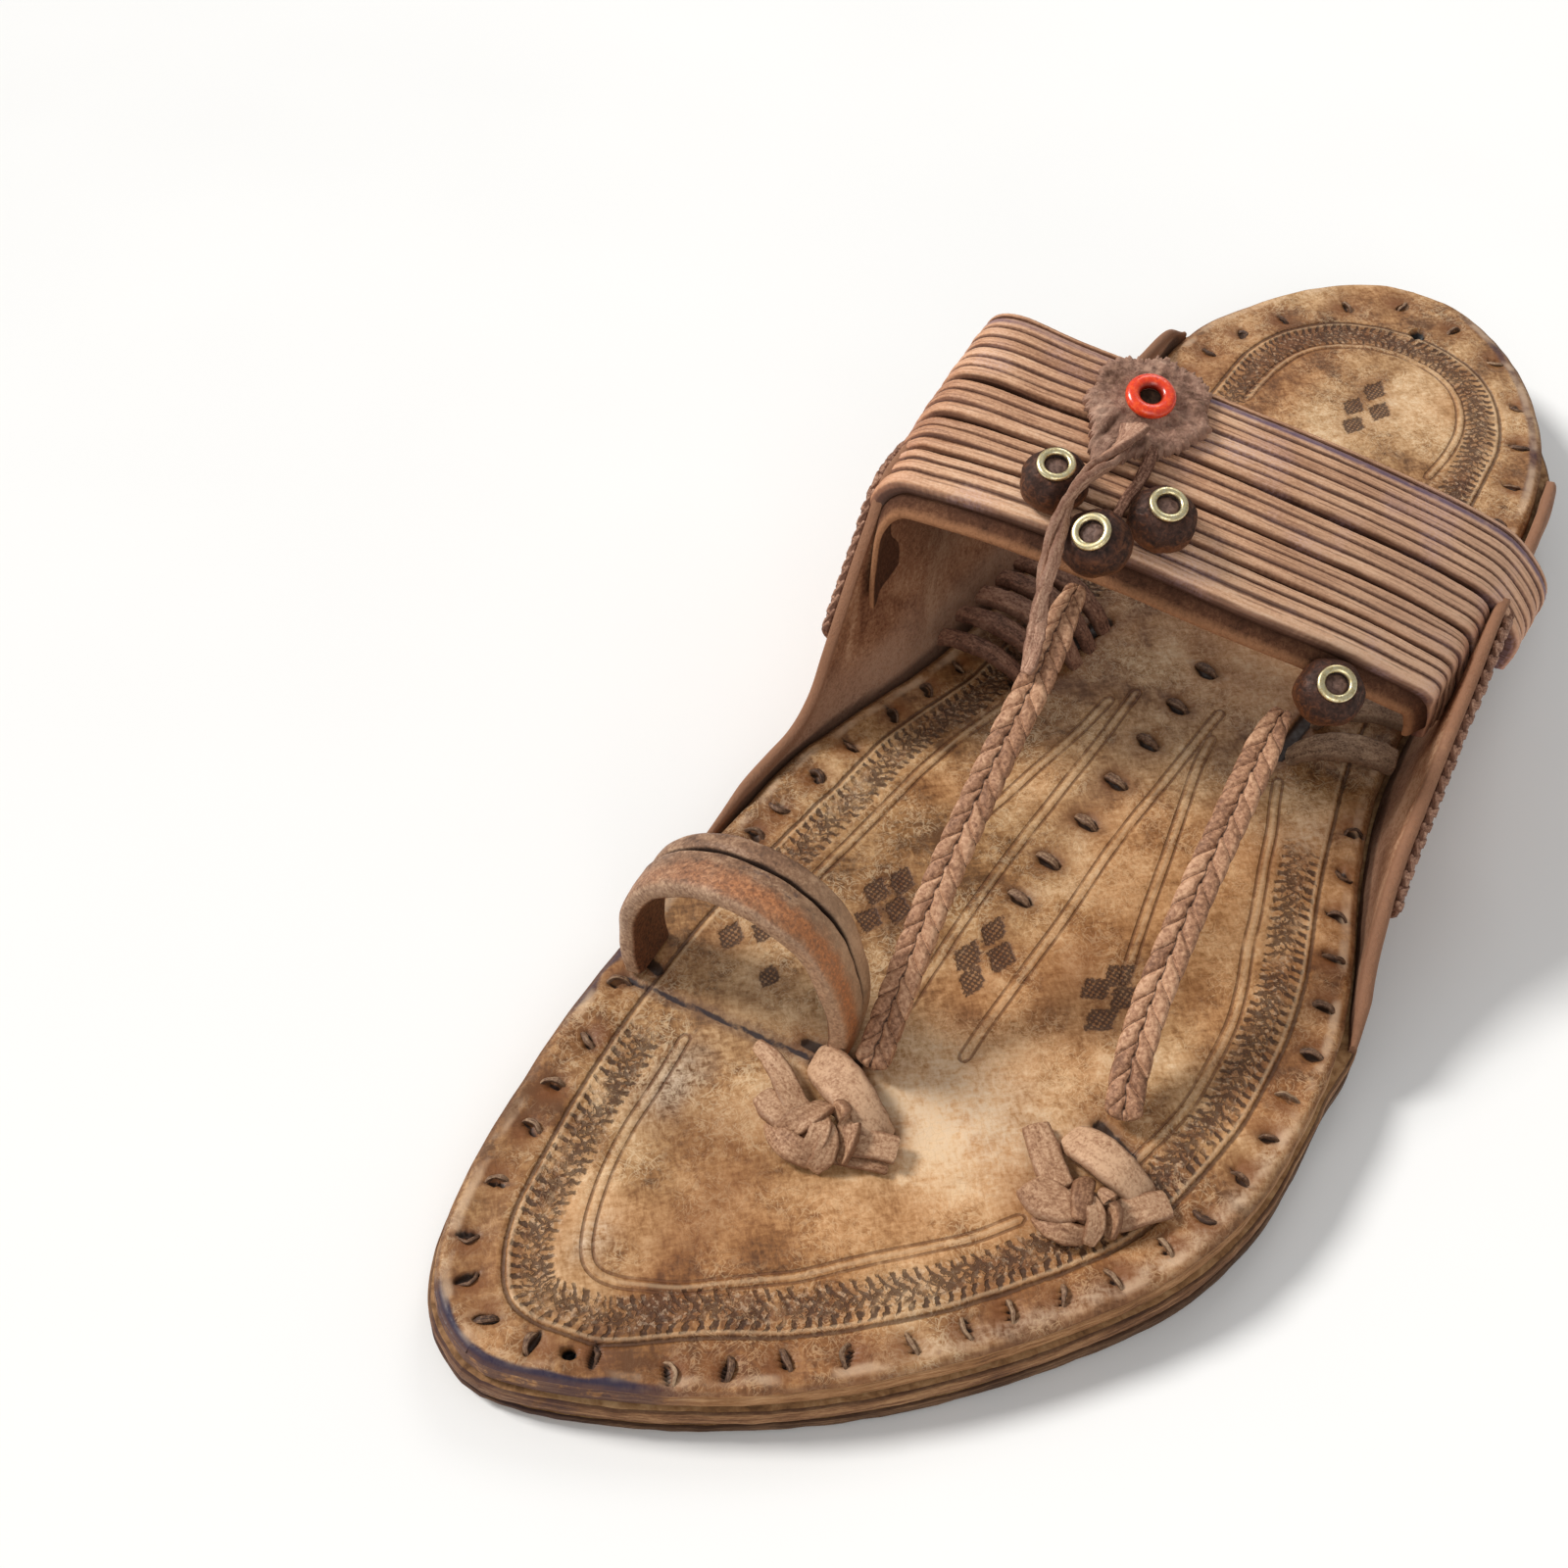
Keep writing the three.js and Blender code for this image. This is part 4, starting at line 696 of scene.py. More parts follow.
def band_look(m):
    """Strips laid on edge: su along in mm, sv strip number plus the place across it."""
    p = m.pos()
    su, sv = m.attr("su"), m.attr("sv")
    k = m.f("FLOOR", sv)
    f = m.f("SUBTRACT", sv, k)
    wn = m.node("ShaderNodeTexWhiteNoise")
    wn.noise_dimensions = "1D"
    m.put(wn.inputs["W"], m.f("ADD", k, 0.37))
    rnd = wn.outputs["Value"]
    streak = m.noise(m.vec(m.f("MULTIPLY", su, 0.05), m.f("MULTIPLY", sv, 2.2), k), 3.0, 4.0, 0.6, 0.2)
    grain = m.noise(m.vec(m.f("MULTIPLY", su, 0.55), m.f("MULTIPLY", sv, 3.0), k), 3.2, 3.0, 0.65)
    blot = m.noise(p, 0.06, 2.0, 0.5)
    v = m.f("ADD", m.f("MULTIPLY", streak, 0.36), m.f("ADD", m.f("MULTIPLY", grain, 0.3), m.f("ADD", m.f("MULTIPLY", blot, 0.25), m.f("MULTIPLY", rnd, 0.12))))
    light = m.ramp(v, [(0.36, (132, 90, 64)), (0.48, (184, 136, 103)), (0.57, (214, 167, 131)), (0.70, (236, 200, 168))])
    # painted light: the band's lateral end is lightened to offset the shade it sits in
    light = m.mix(m.f("MULTIPLY", m.attr("lateral_painted_light"), 0.5), light, (228, 184, 152))
    # dark valleys between the strips, wider and stippled in places
    edge = m.f("ABSOLUTE", m.f("SUBTRACT", f, 0.5))
    wob = m.f("MULTIPLY", m.f("SUBTRACT", m.noise(m.vec(m.f("MULTIPLY", su, 0.12), k, 0.0), 2.0, 3.0), 0.5), 0.14)
    val = m.step(m.f("ADD", edge, wob), 0.27, 0.42)
    hatch = m.step(m.f("SINE", m.f("MULTIPLY", m.f("ADD", su, m.f("MULTIPLY", f, 1.4)), 5.2)), -0.5, 0.5, 0.85, 1.0)
    hz = m.step(m.noise(m.vec(m.f("MULTIPLY", su, 0.03), k, 3.0), 2.2, 1.0), 0.45, 0.6)
    val2 = m.f("MULTIPLY", val, m.f("SUBTRACT", 1.0, m.f("MULTIPLY", hz, m.f("SUBTRACT", 1.0, hatch))))
    col = m.mix(m.f("MULTIPLY", val2, 0.82), light, m.ramp(streak, [(0.35, (78, 46, 34)), (0.6, (122, 80, 60))]))
    fine = m.step(m.f("ABSOLUTE", m.f("SUBTRACT", f, m.f("ADD", 0.5, m.f("MULTIPLY", m.f("SUBTRACT", rnd, 0.5), 0.3)))), 0.07, 0.02)
    fine = m.f("MULTIPLY", fine, m.step(m.noise(m.vec(m.f("MULTIPLY", su, 0.07), k, 7.0), 2.0, 2.0), 0.4, 0.58))
    col = m.mix(m.f("MULTIPLY", fine, 0.55), col, (120, 80, 56))
    core = m.step(edge, 0.42, 0.5)
    col = m.mix(m.f("MULTIPLY", core, 0.7), col, (62, 34, 26))
    # orange side, violet sheen
    org = m.attr("org")
    col = m.mix(m.f("MULTIPLY", org, 0.42), col, (206, 134, 72), "MULTIPLY")
    vio = m.f("MULTIPLY", m.step(m.noise(p, 0.09, 2.0), 0.5, 0.66), m.step(grain, 0.35, 0.6))
    col = m.mix(m.f("MULTIPLY", vio, 0.2), col, (190, 160, 176))
    ink = m.f("MULTIPLY", m.attr("ink"), m.step(m.noise(m.vec(m.f("MULTIPLY", su, 0.2), sv, 0.0), 1.6, 3.0, 0.6), 0.25, 0.5, 0.5, 1.0))
    col = m.mix(m.f("MULTIPLY", ink, 0.8), col, (72, 62, 98))
    cut = m.attr("cut")
    col = m.mix(m.step(cut, 0.3, 0.8), col, (70, 42, 28))
    h = m.f("ADD", m.f("MULTIPLY", grain, 0.5), m.f("MULTIPLY", streak, 0.4))
    n = m.bump(m.f("SUBTRACT", h, m.f("MULTIPLY", val2, 0.5)), 0.6, 0.22)
    m.finish(col, m.step(grain, 0.3, 0.7, 0.62, 0.46), n)


def suede_look(dark, mid, light, tip, nap=1.0):
    def look(m):
        p = m.pos()
        w = m.attr("w")
        a = m.noise(m.scaled(p, (1.0, 1.0, 0.5)), 0.12, 4.0, 0.6, 0.5)
        b = m.noise(p, 1.5, 4.0, 0.65, 0.6)
        v = m.f("ADD", m.f("MULTIPLY", a, 0.6), m.f("MULTIPLY", b, 0.4))
        col = m.ramp(v, [(0.36, dark), (0.5, mid), (0.64, light)])
        # pale: painted sheen on the ears' lower inner faces; pale mottling on the rosette
        pale_tone_and_sheen = m.attr("pale")
        col = m.mix(m.f("MULTIPLY", pale_tone_and_sheen, m.step(b, 0.3, 0.6, 0.5, 0.95)), col, (190, 150, 124))
        # dark: stains, with painted shade at the ears' foot, in the rosette's fold and on the lining under the band
        dk = m.attr("dark")
        col = m.mix(m.f("MULTIPLY", dk, 0.75), col, (60, 34, 22))
        t = m.attr("rim")
        col = m.mix(m.f("MULTIPLY", t, m.step(b, 0.3, 0.6, 0.7, 1.0)), col, tip)
        n = m.bump(m.f("ADD", b, m.f("MULTIPLY", m.noise(p, 4.5, 2.0), 0.5)), 0.7 * nap, 0.3)
        m.finish(col, m.step(b, 0.3, 0.7, 0.85, 0.68), n)
    return look


def thong_look(dark, mid, light, grain=1.0, streak=0.5, seam=None):
    """Cut strips of leather: u along, v across, w through, rnd per strip, tone lighter or darker."""
    def look(m):
        p = m.pos()
        u, v, w, rnd, tone = m.attr("u"), m.attr("v"), m.attr("w"), m.attr("rnd"), m.attr("tone")
        q = m.vec(m.f("MULTIPLY", u, 0.18), m.f("MULTIPLY", v, 1.1), m.f("MULTIPLY", rnd, 19.0))
        s = m.noise(q, 2.2, 4.0, 0.62, 0.3)
        g = m.noise(p, 2.1 * grain, 4.0, 0.62, 0.5)
        t = m.f("ADD", m.f("ADD", m.f("MULTIPLY", s, streak), m.f("MULTIPLY", g, 1 - streak)), m.f("MULTIPLY", tone, 0.16))
        t = m.f("ADD", t, m.f("MULTIPLY", m.f("SUBTRACT", rnd, 0.5), 0.07))
        col = m.ramp(t, [(0.36, dark), (0.5, mid), (0.66, light)])
        side = m.step(m.f("ABSOLUTE", v), 0.72, 0.98)
        col = m.mix(m.f("MULTIPLY", side, 0.9 if seam else 0.6), col, seam or dark)
        n = m.bump(m.f("ADD", m.f("MULTIPLY", s, 2 * streak), g), 0.3 if seam else 0.5, 0.2)
        m.finish(col, m.step(g, 0.3, 0.7, 0.72, 0.52), n)
    return look


def bead_look(m):
    p = m.pos()
    h, r = m.attr("h"), m.attr("r")
    lay = m.noise(m.vec(m.f("MULTIPLY", h, 1.2), m.attr("rnd"), 0.0), 2.4, 3.0, 0.6)
    g = m.noise(p, 1.3, 4.0, 0.6, 0.5)
    t = m.f("ADD", m.f("MULTIPLY", lay, 0.35), m.f("MULTIPLY", g, 0.65))
    col = m.ramp(t, [(0.36, (32, 16, 9)), (0.5, (62, 33, 18)), (0.66, (108, 62, 34))])
    low = m.step(h, 0.55, 0.05)
    col = m.mix(m.f("MULTIPLY", low, 0.5), col, (128, 76, 40))
    blue = m.f("MULTIPLY", m.step(h, 0.6, 0.9), m.step(g, 0.4, 0.6))
    col = m.mix(m.f("MULTIPLY", blue, 0.2), col, (40, 34, 40))
    core = m.step(r, 2.05, 1.7)
    col = m.mix(core, col, m.ramp(g, [(0.35, (74, 52, 44)), (0.65, (124, 96, 84))]))
    gap = m.step(m.f("ABSOLUTE", m.f("SUBTRACT", r, 1.85)), 0.3, 0.08)
    col = m.mix(m.f("MULTIPLY", gap, 0.8), col, (26, 16, 12))
    n = m.bump(m.f("ADD", g, lay), 0.6, 0.3)
    m.finish(col, m.step(g, 0.3, 0.7, 0.72, 0.48), n)


def brass_look(m):
    p = m.pos()
    g = m.noise(p, 2.6, 3.0, 0.6)
    col = m.ramp(g, [(0.3, (200, 178, 126)), (0.5, (232, 216, 168)), (0.7, (244, 234, 200))])
    tarn = m.step(m.noise(p, 0.9, 3.0), 0.58, 0.72)
    col = m.mix(m.f("MULTIPLY", tarn, 0.35), col, (150, 118, 66))
    m.finish(col, m.step(g, 0.3, 0.7, 0.42, 0.28), m.bump(g, 0.08, 0.05))


def red_look(m):
    p = m.pos()
    g = m.noise(p, 1.6, 3.0, 0.6)
    r = m.attr("r")
    col = m.ramp(g, [(0.3, (206, 40, 8)), (0.5, (232, 60, 16)), (0.7, (246, 92, 36))])
    col = m.mix(m.step(r, 2.3, 1.5), col, (120, 22, 8))
    m.finish(col, m.step(g, 0.3, 0.7, 0.3, 0.2), m.bump(g, 0.3, 0.12))


def floor_look(m):
    p = m.pos()
    g = m.noise(p, 0.01, 2.0)
    col = m.ramp(g, [(0.3, (244, 243, 241)), (0.7, (246, 245, 243))])
    m.finish(col, None, m.bump(m.noise(p, 0.4, 2.0), 0.05, 0.05))


def hidden_look(m):
    p = m.pos()
    g = m.noise(p, 1.2, 4.0, 0.6)
    m.finish(m.ramp(g, [(0.35, (28, 18, 13)), (0.65, (62, 42, 30))]), None, m.bump(g, 0.5, 0.25))


def sole_under_look(m):
    p = m.pos()
    g = m.noise(p, 0.6, 4.0, 0.6, 0.4)
    b = m.noise(p, 0.05, 3.0, 0.5)
    v = m.f("ADD", m.f("MULTIPLY", g, 0.55), m.f("MULTIPLY", b, 0.45))
    col = m.ramp(v, [(0.36, (96, 66, 42)), (0.5, (150, 110, 72)), (0.66, (190, 150, 106))])
    m.finish(col, m.step(g, 0.3, 0.7, 0.8, 0.6), m.bump(g, 0.5, 0.3))


M_TOP = material(footbed_look, "footbed_leather", specular=0.35)
M_EDGE0 = material(edge_look(0), "edge_leather_top", specular=0.25)
M_EDGE1 = material(edge_look(1), "edge_leather_mid", specular=0.25)
M_EDGE2 = material(edge_look(2), "edge_leather_low", specular=0.2)
M_BAND = material(band_look, "band_leather", specular=0.35)
M_EAR = material(suede_look((112, 69, 46), (168, 120, 88), (212, 170, 136), (144, 103, 78)), "ear_suede", specular=0.2)
M_LINING = material(suede_look((62, 38, 25), (98, 62, 42), (136, 94, 66), (160, 112, 78)), "lining_suede", specular=0.15)
M_LOOP = material(thong_look((96, 60, 40), (150, 108, 76), (196, 158, 122)), "loop_leather", specular=0.35)
M_BRAID = material(thong_look((120, 82, 59), (168, 122, 91), (208, 163, 128), 0.8, 0.3, (52, 32, 24)), "braid_leather", specular=0.35)
M_KNOT = material(thong_look((112, 74, 50), (160, 118, 87), (204, 164, 130), 1.1, 0.45), "knot_leather", specular=0.3)
M_DARK = material(hidden_look, "dark_leather", roughness=0.85, specular=0.1)
M_ROSE = material(suede_look((96, 68, 54), (154, 118, 100), (198, 162, 140), (172, 134, 114), 1.3), "rosette_suede", specular=0.15)
M_TAIL = material(thong_look((100, 66, 51), (162, 120, 97), (206, 166, 140), 1.4), "tail_leather", specular=0.2)
M_BEAD = material(bead_look, "bead_leather", specular=0.3)
M_BRASS = material(brass_look, "brass", metallic=1.0, specular=0.5)
M_RED = material(red_look, "red_ring", specular=0.5, coat=0.5)
M_LACE_M = material(thong_look((78, 50, 38), (140, 99, 78), (184, 142, 116)), "lacing_medial_leather", specular=0.2)
M_LACE_L = material(thong_look((98, 73, 55), (160, 127, 100), (202, 169, 138), 1.4), "lacing_lateral_leather", specular=0.2)
M_STITCH = material(thong_look((58, 36, 23), (116, 83, 59), (168, 137, 106)), "stitch_thong", specular=0.45)
M_FLOOR = material(floor_look, "floor_white", roughness=0.9, specular=0.1)
M_UNDER = material(sole_under_look, "underside_leather", specular=0.2)


# ------------------------------------------------------------------ footbed
def footbed():
    NS, NC = 424, 208
    t = np.linspace(0, 1, NS + 1)
    rows = sample(PLAN, t)
    s = np.linspace(0, 1, NC + 1)
    c = 0.35 * 0.5 * (1 - np.cos(np.pi * s)) + 0.65 * s
    X = rows[:, 1:2] + (rows[:, 2:3] - rows[:, 1:2]) * c
    Y = np.repeat(rows[:, :1], NC + 1, 1)
    xy = np.stack([X.ravel(), Y.ravel()], 1)
    ol = outline(NS, 0.0)
    edge = Line(np.concatenate([ol, ol[:1]]), step=0.7)
    ed, es = edge.query(xy)
    ed = np.abs(ed)
    border = Line(BORDER, closed=True)
    bd, bs = border.query(xy)
    if bd[np.argmin(np.linalg.norm(xy - [0, -60], axis=1))] < 0:
        bd = -bd
    ld = np.full(len(xy), 99.0)
    for pts in DOUBLES:
        d, _ = Line(pts).query(xy)
        ld = np.minimum(ld, np.abs(d))
    sl, ss = Line(SLIT).query(xy)
    sl = np.abs(sl)
    slit = np.exp(-(sl / 0.5) ** 2)
    # tooled band is cut away under the loop, between its feet and in front of the slit line
    tool = 1 - smooth(-68, -62, xy[:, 1]) * 0
    gap = (xy[:, 0] < 0) * smooth(-92.5, -90, xy[:, 1]) * (1 - smooth(-66, -62, xy[:, 1]))
    tool = tool * (1 - gap)
    tool = tool * (1 - (xy[:, 0] > 20) * smooth(-9, -4, xy[:, 1]) * (1 - smooth(20, 40, xy[:, 1])))

    def near(points, rx, ry):
        d = np.full(len(xy), 99.0)
        for q in points:
            d = np.minimum(d, ((xy[:, 0] - q[0]) / rx) ** 2 + ((xy[:, 1] - q[1]) / ry) ** 2)
        return d
    # local frames along the edge for the thong slits
    en = edge
    pe = np.full(len(xy), 3.0)
    burn = np.zeros(len(xy))
    pinch = np.zeros(len(xy))
    g = np.random.default_rng(5)
    stitch_frames = []
    for x, y, kind in EDGE_STITCHES:
        q = en.p[np.argmin(((en.p - [x, y]) ** 2).sum(1))]
        out = unit(q - np.array([x, y]))
        a = g.uniform(-0.45, 0.45)
        out = np.array([out[0] * math.cos(a) - out[1] * math.sin(a), out[0] * math.sin(a) + out[1] * math.cos(a)])
        tan = np.array([-out[1], out[0]])
        r = xy - [x, y]
        a_, b_ = r @ out, r @ tan
        hl = {0: 1.7, 1: 2.0, 2: 1.9}[int(kind)] * g.uniform(0.8, 1.1)
        hw = {0: 0.42, 1: 0.6, 2: 0.62}[int(kind)] * g.uniform(0.8, 1.15)
        e = np.sqrt((a_ / hl) ** 2 + ((b_ + 0.25 * np.sin(a_)) / hw) ** 2)
        pe = np.minimum(pe, e)
        side = 1.4 if g.random() < 0.5 else -1.4
        burn = np.maximum(burn, 1.0 * np.exp(-((a_ / 3.0) ** 2 + ((b_ - side) / 2.3) ** 2)))
        burn = np.maximum(burn, 0.55 * np.exp(-((a_ / 3.8) ** 2 + (b_ / 3.4) ** 2)))
        pinch = np.maximum(pinch, np.exp(-((a_ / 3.6) ** 2 + (b_ / 1.9) ** 2)))
        stitch_frames.append((x, y, out, tan, int(kind)))
    for x, y in CENTRE_STITCHES:
        a_, b_ = xy[:, 0] - x, xy[:, 1] - y
        e = np.sqrt((a_ / 2.3) ** 2 + ((b_ + 0.12 * a_) / 1.15) ** 2)
        pe = np.minimum(pe, e)
        burn = np.maximum(burn, 0.75 * np.exp(-((a_ / 2.9) ** 2 + (b_ / 3.3) ** 2)))
        pinch = np.maximum(pinch, 0.8 * np.exp(-((a_ / 3.4) ** 2 + (b_ / 2.4) ** 2)))
    # slits where the lacing strips go down, the loop's feet and the knots' thongs
    for x0, y0, x1, y1, hw in [(-19.6, 19.6, -24.4, -1.6, 1.5), (18.6, 27.4, 17.8, 9.0, 1.3), (-44.6, -80.2, -37.4, -81.8, 0.9),
                               (-12.6, -79.6, -4.6, -78.4, 0.9), (27.6, -67.4, 33.6, -69.4, 0.9), (4.2, -86.6, 5.4, -85.2, 0.5),
                               (-9.8, -81.8, -7.0, -83.2, 0.8), (37.0, -75.4, 39.0, -72.6, 0.7)]:
        a, b = np.array([x0, y0]), np.array([x1, y1])
        ab = b - a
        tt = np.clip(((xy - a) @ ab) / (ab @ ab), 0, 1)
        d = np.linalg.norm(xy - (a + ab * tt[:, None]), axis=1)
        pe = np.minimum(pe, d / hw)
        burn = np.maximum(burn, 0.7 * np.exp(-(d / (hw + 2.2)) ** 2))
    hd = np.full(len(xy), 3.0)
    for x, y, r in HOLES:
        hd = np.minimum(hd, np.hypot(xy[:, 0] - x, xy[:, 1] - y) / r)
    hole = 1 - smooth(0.8, 1.15, hd)
    pit = 1 - smooth(0.6, 1.25, pe)
    # stamps: coordinates in the nearest diamond
    best = np.full(len(xy), 3.0)
    for x, y, a, b, turn in DIAMONDS:
        k = math.radians(turn)
        dx, dy = xy[:, 0] - x, xy[:, 1] - y
        u = (dx * math.cos(k) + dy * math.sin(k)) / (a * 1.12)
        v = (-dx * math.sin(k) + dy * math.cos(k)) / (b * 1.08)
        r = np.abs(u) + np.abs(v)
        best = np.minimum(best, r)
        burn = np.maximum(burn, 0.45 * np.exp(-(r / 1.6) ** 2))
    stamp = 1 - smooth(0.9, 1.1, best)
    # broad stains (burnish and grey) and pale places; the grey patch under the toe loop is painted shade, the pale
    # patches on the medial toe near (-24, -96) and (-18, -121) are painted highlights, and the other pale places are
    # worn
    burn = np.maximum(burn, 0.55 * np.exp(-(((xy[:, 0] + 8) / 5) ** 2 + ((xy[:, 1] + 108) / 16) ** 2)))
    burn = np.maximum(burn, 0.5 * np.exp(-(((xy[:, 0] + 14) / 9) ** 2 + ((xy[:, 1] + 99) / 6) ** 2)))
    burn = np.maximum(burn, 0.8 * np.exp(-(((xy[:, 0] + 26) / 12) ** 2 + ((xy[:, 1] - 8) / 16) ** 2)))
    burn = np.maximum(burn, 0.55 * np.exp(-(((xy[:, 0] - 26) / 6) ** 2 + ((xy[:, 1] + 8) / 6) ** 2)))
    burn = np.maximum(burn, 0.3 * np.exp(-(((xy[:, 0] - 6) / 26) ** 2 + ((xy[:, 1] - 24) / 18) ** 2)))
    burn = np.maximum(burn, 0.6 * np.exp(-(((xy[:, 0] - 12) / 4) ** 2 + ((xy[:, 1] + 46) / 9) ** 2)))
    burn = np.maximum(burn, 0.5 * np.exp(-(((xy[:, 0] - 28) / 5) ** 2 + ((xy[:, 1] + 82) / 8) ** 2)))
    burn = np.maximum(burn, 0.5 * np.exp(-(((bd - 4) / 3) ** 2)) * smooth(84, 92, xy[:, 1]))
    grey = 0.9 * np.exp(-(((xy[:, 0] + 2) / 4) ** 2 + ((xy[:, 1] + 12) / 16) ** 2))
    # painted shade: grey patch under the toe loop
    grey = np.maximum(grey, 0.8 * np.exp(-(((xy[:, 0] + 24) / 10) ** 2 + ((xy[:, 1] + 80) / 5) ** 2)))
    grey = np.maximum(grey, 0.5 * np.exp(-(((xy[:, 0] - 4) / 5) ** 2 + ((xy[:, 1] + 80) / 8) ** 2)))
    grey = np.maximum(grey, 0.6 * np.exp(-(((xy[:, 0] - 20) / 6) ** 2 + ((xy[:, 1] + 76) / 5) ** 2)))
    # pale: the first two patches, on the medial toe, are painted highlights; the rest are pale places
    pale = np.exp(-(((xy[:, 0] + 24) / 3.2) ** 2 + ((xy[:, 1] + 96) / 7) ** 2))
    pale = np.maximum(pale, 0.8 * np.exp(-(((xy[:, 0] + 18) / 2.2) ** 2 + ((xy[:, 1] + 121) / 4) ** 2)))
    pale = np.maximum(pale, 0.7 * np.exp(-(((xy[:, 0] - 10) / 12) ** 2 + ((xy[:, 1] + 76) / 9) ** 2)))
    pale = np.maximum(pale, 0.6 * np.exp(-(((xy[:, 0] - 29) / 3) ** 2 + ((xy[:, 1] + 3) / 4) ** 2)))
    pale = np.maximum(pale, 0.6 * np.exp(-((ed - 2.2) / 1.4) ** 2) * smooth(-118, -104, xy[:, 1]) * (1 - smooth(-60, -44, xy[:, 1])) * (xy[:, 0] > 0))
    # lighter forefoot, darker toe sides and waist; darker under the band as painted shade, and lighter under the toe
    # loop as painted light
    zone = 0.12 + 0.95 * np.exp(-(((xy[:, 0] - 14) / 17) ** 2 + ((xy[:, 1] + 82) / 15) ** 2))
    zone += 0.25 * np.exp(-(((xy[:, 0] + 8) / 16) ** 2 + ((xy[:, 1] + 104) / 14) ** 2))
    zone += 0.25 * np.exp(-(((xy[:, 0] + 4) / 14) ** 2 + ((xy[:, 1] + 30) / 14) ** 2))
    zone += 0.45 * np.exp(-(((xy[:, 0] + 8) / 22) ** 2 + ((xy[:, 1] - 98) / 24) ** 2))
    # painted light: this term and the one at (-22, -72) lighten the shade under the toe loop
    zone += 0.3 * np.exp(-(((xy[:, 0] + 24) / 10) ** 2 + ((xy[:, 1] + 80) / 6) ** 2))
    zone -= 0.30 * np.exp(-(((xy[:, 0] - 16) / 8) ** 2 + ((xy[:, 1] + 56) / 10) ** 2))
    zone -= 0.35 * np.exp(-(((xy[:, 0] + 20) / 10) ** 2 + ((xy[:, 1] + 34) / 14) ** 2))
    zone += 0.4 * np.exp(-(((xy[:, 0] + 4) / 20) ** 2 + ((xy[:, 1] + 6) / 20) ** 2))
    zone += 0.4 * np.exp(-(((xy[:, 0] + 22) / 13) ** 2 + ((xy[:, 1] + 72) / 10) ** 2))
    zone -= 0.25 * (1 - smooth(3.0, 9.0, ed))
    # ink along the edge: toe front, medial side by the loop, lateral side of the heel
    inkw = (1 - smooth(0.9, 1.5, ed + 0.3 * waves(xy, 9, 3)))
    toe = (1 - smooth(-137.5, -133.5, xy[:, 1] - 0.16 * (xy[:, 0] + 20))) * smooth(-33, -29, xy[:, 0]) * (1 - smooth(2, 14, xy[:, 0]))
    med = (xy[:, 0] < -30) * smooth(-99, -92, xy[:, 1]) * (1 - smooth(-76, -70, xy[:, 1])) * 0.8
    heel = (xy[:, 0] > -8) * smooth(88, 96, xy[:, 1])
    ink = inkw * np.clip(toe + med, 0, 1)
    ink = np.maximum(ink, 0.62 * heel * np.exp(-((ed - 1.7) / 0.8) ** 4) * smooth(-8, 0, xy[:, 0]))

    # relief in the mesh itself
    z = top_z(xy[:, 1])
    z = z + 0.16 * waves(xy, 26, 11) + 0.06 * waves(xy, 7, 12)
    z -= 0.62 * (1 - smooth(0.0, 1.25, ed)) ** 1.5
    z += 0.12 * np.exp(-((ed - 2.2) / 1.2) ** 2)
    z -= 0.42 * pinch
    z -= 0.75 * smooth(0.2, 1.0, pit)
    z -= 0.30 * np.exp(-(bd / 0.42) ** 2)
    z += 0.10 * np.exp(-((bd - 0.9) / 0.4) ** 2)
    z -= 0.22 * np.exp(-((ld - 0.8) / 0.34) ** 2)
    z += 0.06 * np.exp(-(ld / 0.4) ** 2)
    win = smooth(0.7, 1.2, bd) * (1 - smooth(6.4, 7.0, bd)) * tool
    ph = bs / 1.62 * 2 * np.pi
    tooth = 0.5 + 0.5 * np.cos(ph + 0.8 * bd)
    z -= win * (0.10 + 0.16 * tooth * (0.4 + 0.6 * np.cos((bd - 1.5) / 2.4 * np.pi) ** 2))
    z -= stamp * (0.20 + 0.08 * np.cos((xy[:, 0] + xy[:, 1]) * 4.6) * np.cos((xy[:, 0] - xy[:, 1]) * 4.6))
    z -= 0.45 * slit
    z -= 1.9 * hole
    grid = np.stack([xy[:, 0], xy[:, 1], z], 1)

    idx = np.arange((NS + 1) * (NC + 1)).reshape(NS + 1, NC + 1)
    a, b = idx[:-1, :-1], idx[1:, :-1]
    c2, d2 = idx[1:, 1:], idx[:-1, 1:]
    faces = np.stack([a, d2, c2, b], -1).reshape(-1, 4).tolist()
    loop = np.concatenate([idx[:, 0], idx[-1, 1:-1], idx[::-1, -1], idx[0, 1:-1][::-1]])
    # wall
    top = grid[loop]
    nb = unit(np.roll(top[:, :2], -1, 0) - np.roll(top[:, :2], 1, 0))
    nrm = np.stack([-nb[:, 1], nb[:, 0]], 1)
    under = top_z(top[:, 1]) - TOP_SOLE
    verts = [grid]
    prev = loop
    base = len(grid)
    ws = [np.ones(len(grid)) * 0.0]
    us = [es]
    n = len(loop)
    # start from the outer side of the grid: profile out and down
    wob = 0.10 * waves(top, 6, 21)
    for k, (dz, dn, w) in enumerate([(0.18, 0.10, 0.8), (0.5, 0.22, 0.3), (0.8, 0.16, -0.3), (1.0, 0.0, -0.9)]):
        zz = top[:, 2] + (under - top[:, 2]) * dz
        ring = np.concatenate([top[:, :2] + nrm * (dn + wob * (1 if k < 3 else 0))[:, None], zz[:, None]], 1)
        verts.append(ring)
        ids = base + np.arange(n)
        base += n
        q = np.stack([prev, ids, np.roll(ids, -1), np.roll(prev, -1)], -1)
        faces += q.tolist()
        prev = ids
        ws.append(np.full(n, w))
        us.append(es[loop])
